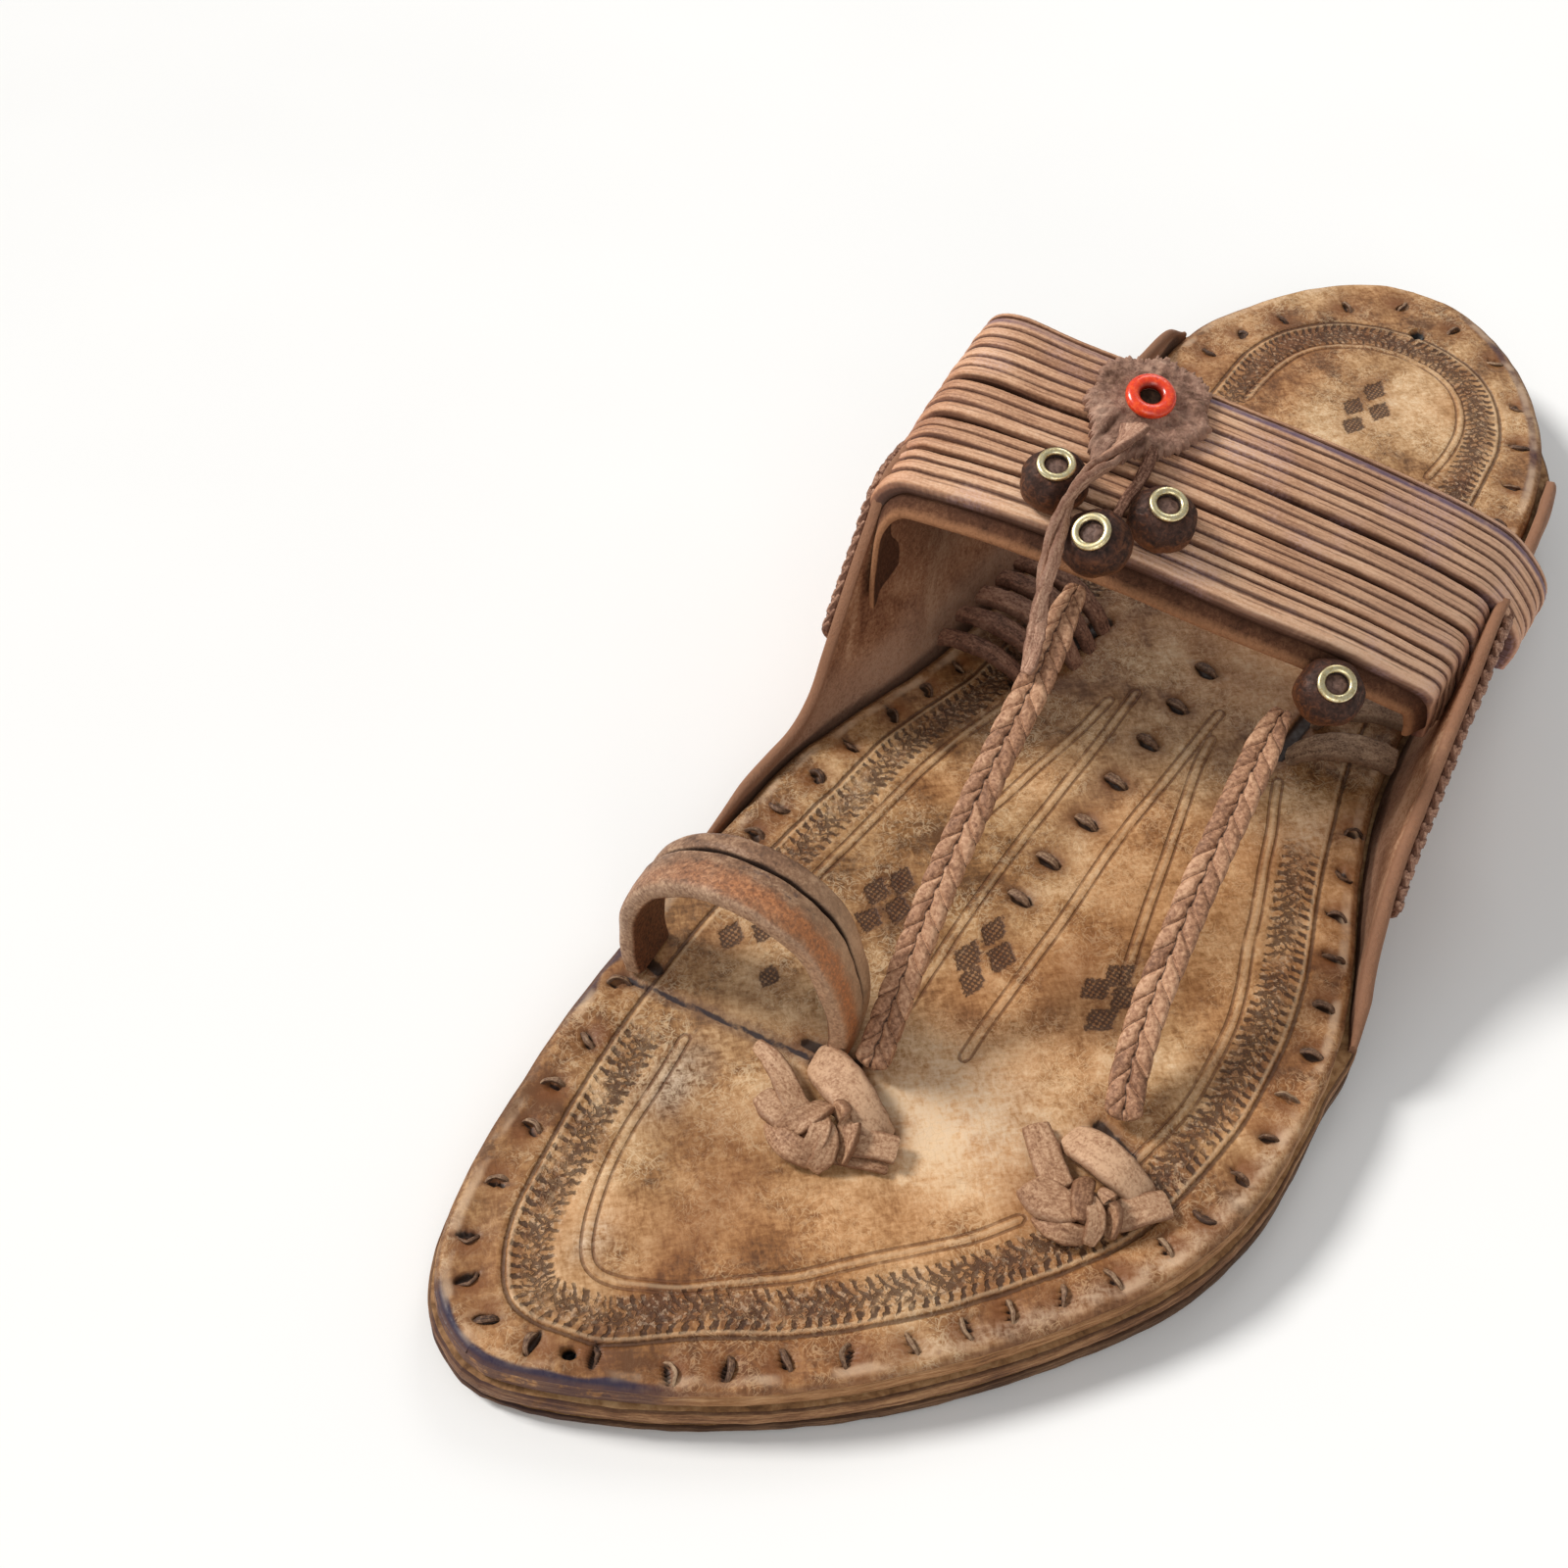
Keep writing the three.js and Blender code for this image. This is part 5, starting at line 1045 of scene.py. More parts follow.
    # underside: across from the medial to the lateral side
    mi = prev[:NS + 1]
    la = prev[NS + 1 + NC - 1: NS + 1 + NC - 1 + NS + 1][::-1]
    faces += np.stack([mi[:-1], mi[1:], la[1:], la[:-1]], -1).tolist()
    faces.append([int(la[0])] + prev[-(NC - 1):].tolist() + [int(mi[0])])
    faces.append([int(mi[-1])] + prev[NS + 1:NS + NC].tolist() + [int(la[-1])])
    V = np.concatenate(verts)
    extra = len(V) - len(grid)

    def pad(v, fill=None):
        tail = np.concatenate([v[loop]] * 4) if fill is None else np.full(extra, fill)
        return np.concatenate([v, tail])
    ob = build("footbed", V, faces, M_TOP, ("top_sole",), {
        "ed": pad(ed), "bd": pad(bd), "bs": pad(bs), "ld": pad(ld), "tool": pad(tool, 0), "sl": pad(sl, 9),
        "pe": pad(pe, 3), "hd": pad(hd, 3), "burn": pad(burn), "grey": pad(grey), "zone": pad(zone), "pale": pad(pale),
        "ink": pad(ink), "sr": pad(best, 3), "w": np.concatenate(ws),
        "u": np.concatenate(us)}, sharp=0)
    # the wall shows the cut edge
    ob.data.materials.append(M_EDGE0)
    npoly = NS * NC
    mi_ = np.zeros(len(ob.data.polygons), np.int32)
    mi_[npoly:] = 1
    ob.data.polygons.foreach_set("material_index", mi_)
    return stitch_frames


def sole_layer(name, grow, low, high, mat, replaces, shrink=0.0, start=None, seed=1):
    """One lower leather layer with a rounded, uneven cut edge."""
    N = 330
    ol = outline(N, grow)
    n = len(ol)
    if start is not None:
        keep = ol[:, 1] >= start
        ol = ol[keep]
        n = len(ol)
    d = unit(np.roll(ol, -1, 0) - np.roll(ol, 1, 0))
    nrm = np.stack([-d[:, 1], d[:, 0]], 1)
    if start is not None:
        nrm[0], nrm[-1] = nrm[1], nrm[-2]
    s = np.concatenate([[0], np.cumsum(np.linalg.norm(np.diff(ol, axis=0), axis=1))])
    lo, hi = low(ol[:, 1]), high(ol[:, 1])
    prof = [(1.0, -0.42, 1.0), (0.93, -0.10, 0.9), (0.78, 0.06, 0.5), (0.5, 0.12, 0.0), (0.25, 0.06, -0.5), (0.08, -0.10, -0.9), (0.0, -0.45, -1.0)]
    rings, w = [], []
    for k, dn, ww in prof:
        z = lo + (hi - lo) * k
        p3 = np.stack([ol[:, 0], ol[:, 1], z], 1)
        wob = 0.06 * waves(p3 * [1, 1, 2.2], 5.0, seed) + 0.07 * waves(p3, 24, seed + 1)
        q = ol + nrm * (dn - shrink + wob)[:, None]
        rings.append(np.stack([q[:, 0], q[:, 1], z], 1))
        w.append(np.full(n, ww))
    R = np.array(rings)
    V = R.reshape(-1, 3)
    m = len(prof)
    idx = np.arange(m * n).reshape(m, n)
    faces = np.stack([idx[:-1], np.roll(idx[:-1], -1, 1), np.roll(idx[1:], -1, 1), idx[1:]], -1).reshape(-1, 4).tolist()
    h = n // 2
    for row, flip in ((idx[0], False), (idx[-1], True)):
        a, b = row[:h], row[::-1][:h]
        q = np.stack([a[:-1], a[1:], b[1:], b[:-1]], -1)
        faces += q.tolist()
        if n % 2:
            faces.append([int(a[-1]), int(row[h]), int(b[-1])])
    u = np.concatenate([s] * m)
    y = V[:, 1]
    x = V[:, 0]
    ink = (1 - smooth(-140.5, -137, y)) * (x > -30) * (x < 6) * 0.5
    ob = build(name, V, faces, mat, replaces, {"u": u, "w": np.concatenate(w), "ink": ink}, sharp=50)
    ob.data.materials.append(M_UNDER)
    mi = np.zeros(len(ob.data.polygons), np.int32)
    mi[n * (m - 1):] = 1
    ob.data.polygons.foreach_set("material_index", mi)
    return ob


frames = footbed()
sole_layer("midsole_layer", lambda y, x: rim_grow(y, x) - 0.15, mid_under_z, mid_top_z, M_EDGE1, ("midsole",), 0.05, None, 31)
sole_layer("outsole_layer", rim_grow, under_z, out_top_z, M_EDGE2, ("outsole",), 0.05, None, 41)
sole_layer("heel_lift_layer", RIM - 0.3, lambda y: np.full(len(y), 2.0), lambda y: under_z(y) - GAP, M_EDGE2, ("heel_lift",), 0.05, HEEL_BREAST, 51)


# ---------------------------------------------------------- thong stitches
def stitches():
    s = Soup()
    g = np.random.default_rng(9)
    for x, y, out, tan, kind in frames:
        z = float(top_z(y)) - 0.35
        if kind == 1:
            h, w, L, tone = 0.10, 0.5, 1.4, -0.2
        elif kind == 2:
            h, w, L, tone = 0.35, 0.85, 1.8, -0.25
        else:
            h, w, L, tone = 0.55, 0.62, 1.85, 0.3
        bend = g.uniform(-1.1, 1.1)
        pts = []
        for k in np.linspace(-1, 1, 6):
            q = np.array([x, y]) + out * k * L + tan * bend * (1 - k * k) + tan * g.uniform(-.08, .08)
            pts.append([q[0], q[1], z + h * (1 - abs(k) ** 2.6) - 0.5 * abs(k) ** 4])
        strip(s, pts, [w * .7, w * 1.1, w, w * .6], 0.6, [tan[0], tan[1], 0.6 * g.uniform(-1, 1)], n=14, m=12, rnd=g.random(),
              rough=0.07, seed=int(g.integers(1e6)), tone=tone + g.uniform(-.2, .2))
    for i, (x, y) in enumerate(CENTRE_STITCHES):
        z = float(top_z(y)) - 0.3
        pts = [[x - 2.2, y + 0.35, z - 0.5], [x - 1.5, y + 0.22, z + 0.15], [x - .3, y, z + 0.42], [x + 0.9, y - .15, z + 0.2], [x + 1.7, y - .3, z - 0.5]]
        strip(s, pts, [0.8, 1.4, 1.6, 1.1, 0.6], 0.7, [0.1, 1, 0.1], n=16, m=14, rnd=i * 0.13, rough=0.08, seed=70 + i, tone=0.1)
    s.build("thong_stitches", M_STITCH, "footbed")


stitches()


# ----------------------------------------------------------------- ears
def foot_x(y, side):
    r = plan_at(y)
    off = EAR_WALL / 2 + GAP + 0.6
    return r[..., 1] - off if side < 0 else r[..., 2] + off


def ear_mid(table, side, t, h):
    r = sample(table, t)
    y, x, z = r[..., 0], r[..., 1], r[..., 2]
    fx = foot_x(y, side)
    fz = mid_top_z(y) + GAP
    return np.stack([fx + (x - fx) * h ** 0.85 + side * np.sin(np.pi * h) * 0.02 * (z - fz), y, fz + (z - fz) * h], -1)


def wall_rings(P, side_sign, thick, ends=4):
    """Rings round a thin wall given by its middle grid P[i, j]; j runs up from the base."""
    du = np.gradient(P, axis=0)
    dv = np.gradient(P, axis=1)
    n = unit(np.cross(du, dv))
    sgn = np.sign((n[..., 0] * side_sign).mean())
    n = n * (sgn if sgn else 1)
    t = np.broadcast_to(np.asarray(thick, float), P.shape[:2])[..., None] / 2
    e1 = unit(P[:, -1] - P[:, -2])
    outer = P + n * t
    inner = P - n * t
    arc = []
    for k in range(1, ends):
        a = math.pi * k / ends
        arc.append(P[:, -1] + n[:, -1] * t[:, -1] * math.cos(a) + e1 * t[:, -1] * math.sin(a) * 0.55)
    arc = np.stack(arc, 1)
    R = np.concatenate([outer, arc, inner[:, ::-1]], 1)
    return R, n


def ear(name, table, side):
    N, Mh = 190, 34
    t = np.linspace(0, 1, N)
    h = np.linspace(0, 1, Mh)
    T, H = np.meshgrid(t, h, indexing="ij")
    ends = 0.35 + 0.65 * smooth(0, 0.07, t) * (1 - smooth(0.95, 1.0, t))
    P = ear_mid(table, side, T, H * ends[:, None])
    # soft troughs running from the strap down to the sole
    hgt = np.clip((table[:, 2].max() - 12) and (P[..., 2] - 12) / 40, 0, 1)
    crease = 0.0 * H
    for y0, sl, a, wd in ([(-8, 0.35, -0.55, 3.2), (2, 0.2, 0.35, 4.0), (16, -0.2, -0.4, 4.5), (34, -0.6, 0.35, 6.0)] if side < 0
                          else [(2, 0.5, -0.4, 3.0), (20, 0.1, 0.3, 4.0), (44, -0.7, -0.35, 6.0)]):
        crease = crease + a * np.exp(-((P[..., 1] - y0 - sl * (P[..., 2] - 20)) / wd) ** 2)
    bulge = crease * np.sin(np.pi * np.clip(H, 0, 1)) * smooth(0.5, 6, P[..., 2] - P[:, :1, 2])
    P[..., 0] += side * (bulge + 0.14 * waves(P, 11, 61 + side) * np.sin(np.pi * H))
    thick = EAR_WALL * (1 - 0.22 * smooth(0.9, 1, H)) * (0.45 + 0.55 * smooth(0, 0.09, T) * (1 - smooth(0.93, 1.0, T)))
    R, n = wall_rings(P, side, thick)
    m = R.shape[1]
    V = R.reshape(-1, 3)
    hh = np.concatenate([h, np.ones(3), h[::-1]])
    inside = np.concatenate([np.zeros(Mh), [0.3, 0.5, 0.7], np.ones(Mh)])
    tt = np.repeat(t, m)
    hh = np.tile(hh, N)
    ins = np.tile(inside, N)
    z_over = V[:, 2] - top_z(V[:, 1])
    above = np.repeat(P[:, -1, 2] - P[:, 0, 2], m)
    dist_top = (1 - hh) * above
    rim = np.where((ins > 0.1) & (ins < 0.9), 1.0, 0.0)
    rim = np.maximum(rim, 1 - smooth(0.2, 1.4, dist_top))
    # pale: painted sheen, a lighter lower part of the inner face, stronger on the medial ear; the outer face gets an
    # even faint pale tint
    pale = (1 - smooth(4.0, 15.0, z_over + 3.0 * waves(V, 14, 8))) * (ins > 0.5) * (0.95 if side < 0 else 0.6)
    pale = np.maximum(pale, 0.25 * (ins < 0.5))
    dark = np.exp(-(((V[:, 1] - 2) / 12) ** 2 + ((V[:, 2] - 42) / 14) ** 2)) * (ins > 0.5) * (side < 0)
    dark = np.maximum(dark, 0.9 * np.exp(-(((V[:, 1] + 13) / 3) ** 2 + ((V[:, 2] - 50) / 4) ** 2)) * (ins > 0.5) * (side < 0))
    # painted shade: darker where the ear meets the footbed
    dark = np.maximum(dark, (1 - smooth(-0.4, 0.8, z_over)) * 0.9)
    build(name, V, ring_faces(N, m), M_EAR, ("upper",),
          {"w": ins, "pale": pale, "dark": dark, "rim": rim}, sharp=50)
    return P, n


MEAR, MN = ear("ear_medial", MEDIAL_EAR, -1)
LEAR, LN = ear("ear_lateral", LATERAL_EAR, 1)


# ----------------------------------------------------------------- band
def band_base(u, v):
    r = sample(BAND, u)
    v = np.asarray(v, float)[..., None]
    return r[..., :3] + (r[..., 3:] - r[..., :3]) * v, 0.7 * 4 * v * (1 - v)


def band_point(u, v, lift=0.0, push=None):
    u, v = np.broadcast_arrays(np.asarray(u, float), np.asarray(v, float))
    e = 1e-3
    p, crown = band_base(u, v)
    du = band_base(np.minimum(u + e, 1), v)[0] - band_base(np.maximum(u - e, 0), v)[0]
    dv = band_base(u, v + e)[0] - band_base(u, v - e)[0]
    n = unit(np.cross(du, dv))
    s = np.sign((n * (p - np.array([0, 5, 20]))).sum(-1, keepdims=True))
    n = n * np.where(s == 0, 1, s)
    p = p + n * (crown + np.asarray(lift, float)[..., None])
    if push is not None:
        p = p + push(u, v)
    return p, n


U_LEN = None


def belt(name, edges, u0, u1, thick, seed, first_strip, push=None, ink_last=False, nu=300):
    """A belt of strips standing on edge. edges are the strips' borders across the band."""
    cols, prof, sv = [], [], []
    fr = [0.0, 0.05, 0.13, 0.24, 0.38, 0.5, 0.62, 0.76, 0.87, 0.95]
    g = np.random.default_rng(seed)
    for k in range(len(edges) - 1):
        a, b = edges[k], edges[k + 1]
        for f in fr + ([1.0] if k == len(edges) - 2 else []):
            cols.append(a + (b - a) * f)
            prof.append(-0.46 * abs(2 * f - 1) ** 4.0)
            sv.append(first_strip + k + min(f, 0.9999))
    cols, prof, sv = map(np.array, (cols, prof, sv))
    u = np.linspace(u0, u1, nu)
    U, Vv = np.meshgrid(u, cols, indexing="ij")
    strip_id = np.floor(sv).astype(int)
    hump = np.zeros((nu, len(cols)))
    for k in np.unique(strip_id):
        off = g.uniform(-0.16, 0.16) + 0.12 * waves(np.stack([u * 120, u * 0 + k * 7], 1), 26, seed * 10 + int(k))
        hump[:, strip_id == k] += off[:, None]
    lift = prof[None, :] + hump + 0.03 * waves(np.stack([U * 160, Vv * 40], -1), 1.6, seed)
    # belt's own edges are rounded down
    lift = lift - 0.7 * (1 - smooth(0, 0.016, Vv - edges[0])) - 0.7 * (1 - smooth(0, 0.016, edges[-1] - Vv))
    # borders wander a little along the belt
    vw = Vv + 0.0022 * waves(np.stack([U * 120, Vv * 0], -1), 30, seed + 3)
    top, n = band_point(U, vw, lift, push)
    bot, _ = band_point(U, vw, np.full(U.shape, -thick), push)
    R = np.concatenate([top, bot[:, ::-1]], 1)
    m = R.shape[1]
    seg = np.linalg.norm(np.diff(top[:, len(cols) // 2], axis=0), axis=1)
    s = np.concatenate([[0], np.cumsum(seg)])
    su = np.repeat(s, m)
    svv = np.tile(np.concatenate([sv, sv[::-1]]), nu)
    uu = np.repeat(u, m)
    cut = np.tile(np.concatenate([np.zeros(len(cols)), np.ones(len(cols))]), nu)
    cut = np.maximum(cut, (np.repeat(np.arange(nu), m) < 1) * 1.0)
    org = 1 - smooth(0.14, 0.34, uu)
    org = np.maximum(org, 0.8 * smooth(0.86, 0.95, uu))
    ink = np.zeros(len(su))
    if ink_last:
        vv = np.tile(np.concatenate([cols, cols[::-1]]), nu)
        ink = np.exp(-((vv - 0.945) / 0.016) ** 4) * smooth(0.1, 0.3, uu) * (1 - 0.5 * smooth(0.2, 0.34, uu) * (1 - smooth(0.4, 0.5, uu)))
    # the last attribute marks the band's lateral end, which band_look lightens as painted light
    build(name, R.reshape(-1, 3), ring_faces(nu, m), M_BAND, ("upper",),
          {"su": su, "sv": svv, "cut": cut, "org": org, "ink": ink, "lateral_painted_light": smooth(0.55, 0.82, uu)}, sharp=60)


def belt_out(u, v):
    """The rear belt's lateral end passes outside the ear."""
    k = smooth(0.83, 0.92, u)
    z = np.zeros(np.shape(u) + (3,))
    z[..., 0] = 2.5 * k - 0.9 * smooth(0.92, 1.0, u)
    z[..., 1] = -1.2 * k
    return z


def belt_in(u, v):
    """The other belts' lateral ends stay inside it."""
    z = np.zeros(np.shape(u) + (3,))
    z[..., 0] = -1.9 * smooth(0.82, 0.92, u)
    return z


belt("belt_front", [0.0, 0.082, 0.141, 0.195], 0.02, 0.985, 2.3, 11, 0, belt_in)
belt("belt_second", [0.204, 0.263, 0.322, 0.379], 0.02, 0.985, 2.3, 12, 4, belt_in)
belt("belt_third", [0.390, 0.458, 0.526, 0.589], 0.02, 0.985, 2.3, 13, 8, belt_in)
belt("belt_rear", [0.611, 0.668, 0.728, 0.788, 0.848, 0.906, 0.968, 1.0], 0.02, 0.985, 2.3, 14, 12, belt_out, True)


def lining():
    nu, nv = 220, 40
    u = np.linspace(0.03, 0.955, nu)
    v = np.linspace(-0.075, 0.985, nv)
    U, V = np.meshgrid(u, v, indexing="ij")
    lift = np.full(U.shape, -2.9) - 1.1 * (1 - smooth(-0.08, 0.02, V)) + 0.08 * waves(np.stack([U * 140, V * 30], -1), 14, 5)
    P, n = band_point(U, V, lift)
    e = unit(P[:, 0] - P[:, 1])
    t = 0.55
    top, bot = P + n * t, P - n * t
    arc = np.stack([P[:, 0] + n[:, 0] * t * math.cos(a) + e * t * math.sin(a) for a in (2.4, 1.57, 0.75)], 1)
    R = np.concatenate([arc, top, bot[:, ::-1]], 1)
    m = R.shape[1]
    rim = np.tile(np.concatenate([np.ones(3) * 0.9, 0.8 * (1 - smooth(-0.07, -0.05, v)), np.zeros(nv)]), nu)
    z = np.zeros(nu * m)
    # painted shade: darker where the lining lies under the band and on its underside; the lip in front stays light
    dark = np.tile(np.concatenate([np.zeros(3), smooth(-0.05, 0.0, v), np.full(nv, 0.4)]), nu)
    build("band_lining", R.reshape(-1, 3), ring_faces(nu, m), M_LINING, ("upper",),
          {"w": z, "pale": z, "dark": dark, "rim": rim}, sharp=50)


lining()


# -------------------------------------------------------- outer ear lacing
def ear_lace(name, P, n, side, t0, t1, depth):
    """Dark thong crossed over a core cord, along the ear's outer face below its edge."""
    s = Soup()
    N = P.shape[0]
    i = np.linspace(t0 * (N - 1), t1 * (N - 1), 60)
    lo = np.floor(i).astype(int)
    f = (i - lo)[:, None]
    hi = np.minimum(lo + 1, N - 1)
    top = P[lo, -1] * (1 - f) + P[hi, -1] * f
    nr = unit(n[lo, -4] * (1 - f) + n[hi, -4] * f)
    dn = unit(P[lo, -6] - P[lo, -1])
    mid = top + dn * depth + nr * (EAR_WALL / 2 + 0.45)
    L = np.concatenate([[0], np.cumsum(np.linalg.norm(np.diff(mid, axis=0), axis=1))])
    strip(s, mid[::3], 1.8, 1.0, dn[0], n=60, m=10, rnd=0.2, tone=-0.6)
    k = 0
    d = 0.8
    while d < L[-1] - 1.2:
        for sg in (-1, 1):
            pts = []
            for q in np.linspace(-1, 1, 6):
                a = d + 1.5 * q * sg
                c = np.array([np.interp(a, L, mid[:, j]) for j in range(3)])
                w = np.array([np.interp(a, L, dn[:, j]) for j in range(3)])
                m_ = np.array([np.interp(a, L, nr[:, j]) for j in range(3)])
                pts.append(c + w * q * 1.5 + m_ * (0.85 * (1 - abs(q) ** 2.2) - 0.25 + 0.12 * sg))
            strip(s, pts, [0.9, 1.5, 1.5, 0.9], 0.75, nr[0] * 0 + unit(mid[-1] - mid[0]), n=10, m=10, rnd=(k * 0.37) % 1, tone=-0.15, rough=0.05, seed=k + 1)
            k += 1
        d += 2.5
    s.build(name, M_TAIL, "lacing_leather")


ear_lace("lace_lateral", LEAR, LN, 1, 0.22, 0.545, 2.4)
ear_lace("lace_medial", MEAR, MN, -1, 0.30, 0.50, 2.4)


# -------------------------------------------------------------- toe loop
def toe_loop():
    n = 150
    t = np.linspace(0, 1, n)
    r = sample(LOOP, t)
    P = r[:, :3]
    tan = unit(np.gradient(P, axis=0))
    sd = np.broadcast_to(np.array([-0.16, 0.987, 0.0]), P.shape)
    sd = unit(sd - tan * (sd * tan).sum(1, keepdims=True))
    up = unit(np.cross(tan, sd))
    if ((P - [-24.5, -78, 14]) * up).sum() < 0:
        up = -up
    # section: across -1 front .. 1 rear, outward offset in mm
    sec = [(-1.0, -0.9), (-1.0, 0.6), (-0.97, 1.05), (-0.90, 1.36), (-0.8, 1.46), (-0.6, 1.55), (-0.4, 1.60), (-0.2, 1.60), (0.0, 1.58), (0.14, 1.5),
           (0.20, 1.42), (0.23, 1.05), (0.24, 0.1), (0.30, -0.1), (0.37, 0.1), (0.385, 0.75), (0.43, 1.05), (0.5, 1.25), (0.68, 1.26), (0.84, 1.18), (0.94, 0.95),
           (1.0, 0.5), (1.0, -0.8), (0.95, -1.3), (0.8, -1.45), (0.4, -1.5), (0.0, -1.5), (-0.4, -1.5), (-0.8, -1.45), (-0.95, -1.3)]
    sec = np.array(sec)
    m = len(sec)
    w = r[:, 3] / 2
    g = 0.10 * waves(np.stack([t * 90, t * 0], 1), 18, 4)
    R = P[:, None] + sd[:, None] * (sec[None, :, :1] * w[:, None, None] + g[:, None, None]) + up[:, None] * sec[None, :, 1:2]
    R = R + unit(R - R.mean(1, keepdims=True)) * (0.05 * waves(R, 3.0, 3) + 0.08 * waves(R, 12, 6))[..., None]
    # keep the feet above the footbed's slits
    z0 = top_z(R[..., 1]) - 0.5
    R[..., 2] = np.maximum(R[..., 2], z0)
    s = np.concatenate([[0], np.cumsum(np.linalg.norm(np.diff(P, axis=0), axis=1))])
    v = np.tile(sec[:, 0], n)
    uu = np.repeat(t, m)
    inner = np.tile((sec[:, 1] < -1.2) * 1.0, n)
    front = np.tile(((sec[:, 0] <= -0.97) & (sec[:, 1] > -1.2)) * 1.0, n)
    groove = np.tile(np.where((sec[:, 0] > 0.225) & (sec[:, 0] < 0.388) & (sec[:, 1] > -0.5), 1.0, 0.0), n)
    build("toe_loop_strip", R.reshape(-1, 3), ring_faces(n, m), M_LOOP2, ("toe_loop",),
          {"u": np.repeat(s, m), "t": uu, "v": v, "inner": inner, "front": front, "groove": groove}, sharp=45)


def loop_look(m):
    p = m.pos()
    u, v, t = m.attr("u"), m.attr("v"), m.attr("t")
    s = m.noise(m.vec(m.f("MULTIPLY", u, 0.16), m.f("MULTIPLY", v, 1.6), 2.0), 2.4, 4.0, 0.6, 0.3)
    g = m.noise(p, 1.9, 4.0, 0.62, 0.5)
    b = m.noise(p, 0.2, 3.0, 0.5)
    k = m.f("ADD", m.f("MULTIPLY", s, 0.4), m.f("ADD", m.f("MULTIPLY", g, 0.4), m.f("MULTIPLY", b, 0.2)))
    col = m.ramp(k, [(0.36, (80, 53, 36)), (0.5, (134, 97, 70)), (0.64, (184, 147, 115))])
    # painted light: the loop's lateral leg (t past 0.5) is lightened to offset its shade
    col = m.mix(m.f("MULTIPLY", m.step(t, 0.5, 0.75), 0.4), col, (222, 180, 140))
    vj = m.f("ADD", v, m.f("MULTIPLY", m.f("SUBTRACT", m.noise(p, 0.35, 3.0), 0.5), 0.7))
    orange = m.f("MULTIPLY", m.step(m.f("ABSOLUTE", m.f("ADD", vj, 0.58)), 0.55, 0.1), m.step(t, 0.3, 0.66, 0.3, 0.95))
    col = m.mix(m.f("MULTIPLY", orange, m.step(g, 0.3, 0.6, 0.55, 0.95)), col, m.ramp(g, [(0.35, (136, 74, 36)), (0.65, (204, 130, 78))]))
    fr = m.attr("front")
    col = m.mix(m.f("MULTIPLY", fr, 0.7), col, m.ramp(g, [(0.35, (138, 104, 80)), (0.65, (196, 162, 132))]))
    inn = m.attr("inner")
    col = m.mix(m.f("MULTIPLY", inn, 0.92), col, m.ramp(g, [(0.35, (62, 34, 18)), (0.65, (116, 68, 40))]))
    scuff = m.f("MULTIPLY", m.step(m.f("ABSOLUTE", m.f("SUBTRACT", t, 0.56)), 0.12, 0.02), m.step(m.f("ABSOLUTE", m.f("ADD", v, 0.08)), 0.3, 0.1))
    scuff = m.f("MULTIPLY", scuff, m.step(m.noise(p, 0.6, 3.0, 0.7), 0.5, 0.62))
    col = m.mix(m.f("MULTIPLY", scuff, 0.7), col, (74, 56, 54))
    gr = m.attr("groove")
    col = m.mix(m.f("MULTIPLY", gr, 0.92), col, (38, 22, 16))
    rear = m.step(v, 0.9, 1.0)
    col = m.mix(m.f("MULTIPLY", rear, 0.4), col, (120, 72, 44))
    n = m.bump(m.f("ADD", s, g), 0.55, 0.25)
    m.finish(col, m.step(g, 0.3, 0.7, 0.66, 0.46), n)


M_LOOP2 = material(loop_look, "toe_loop_leather", specular=0.4)
toe_loop()


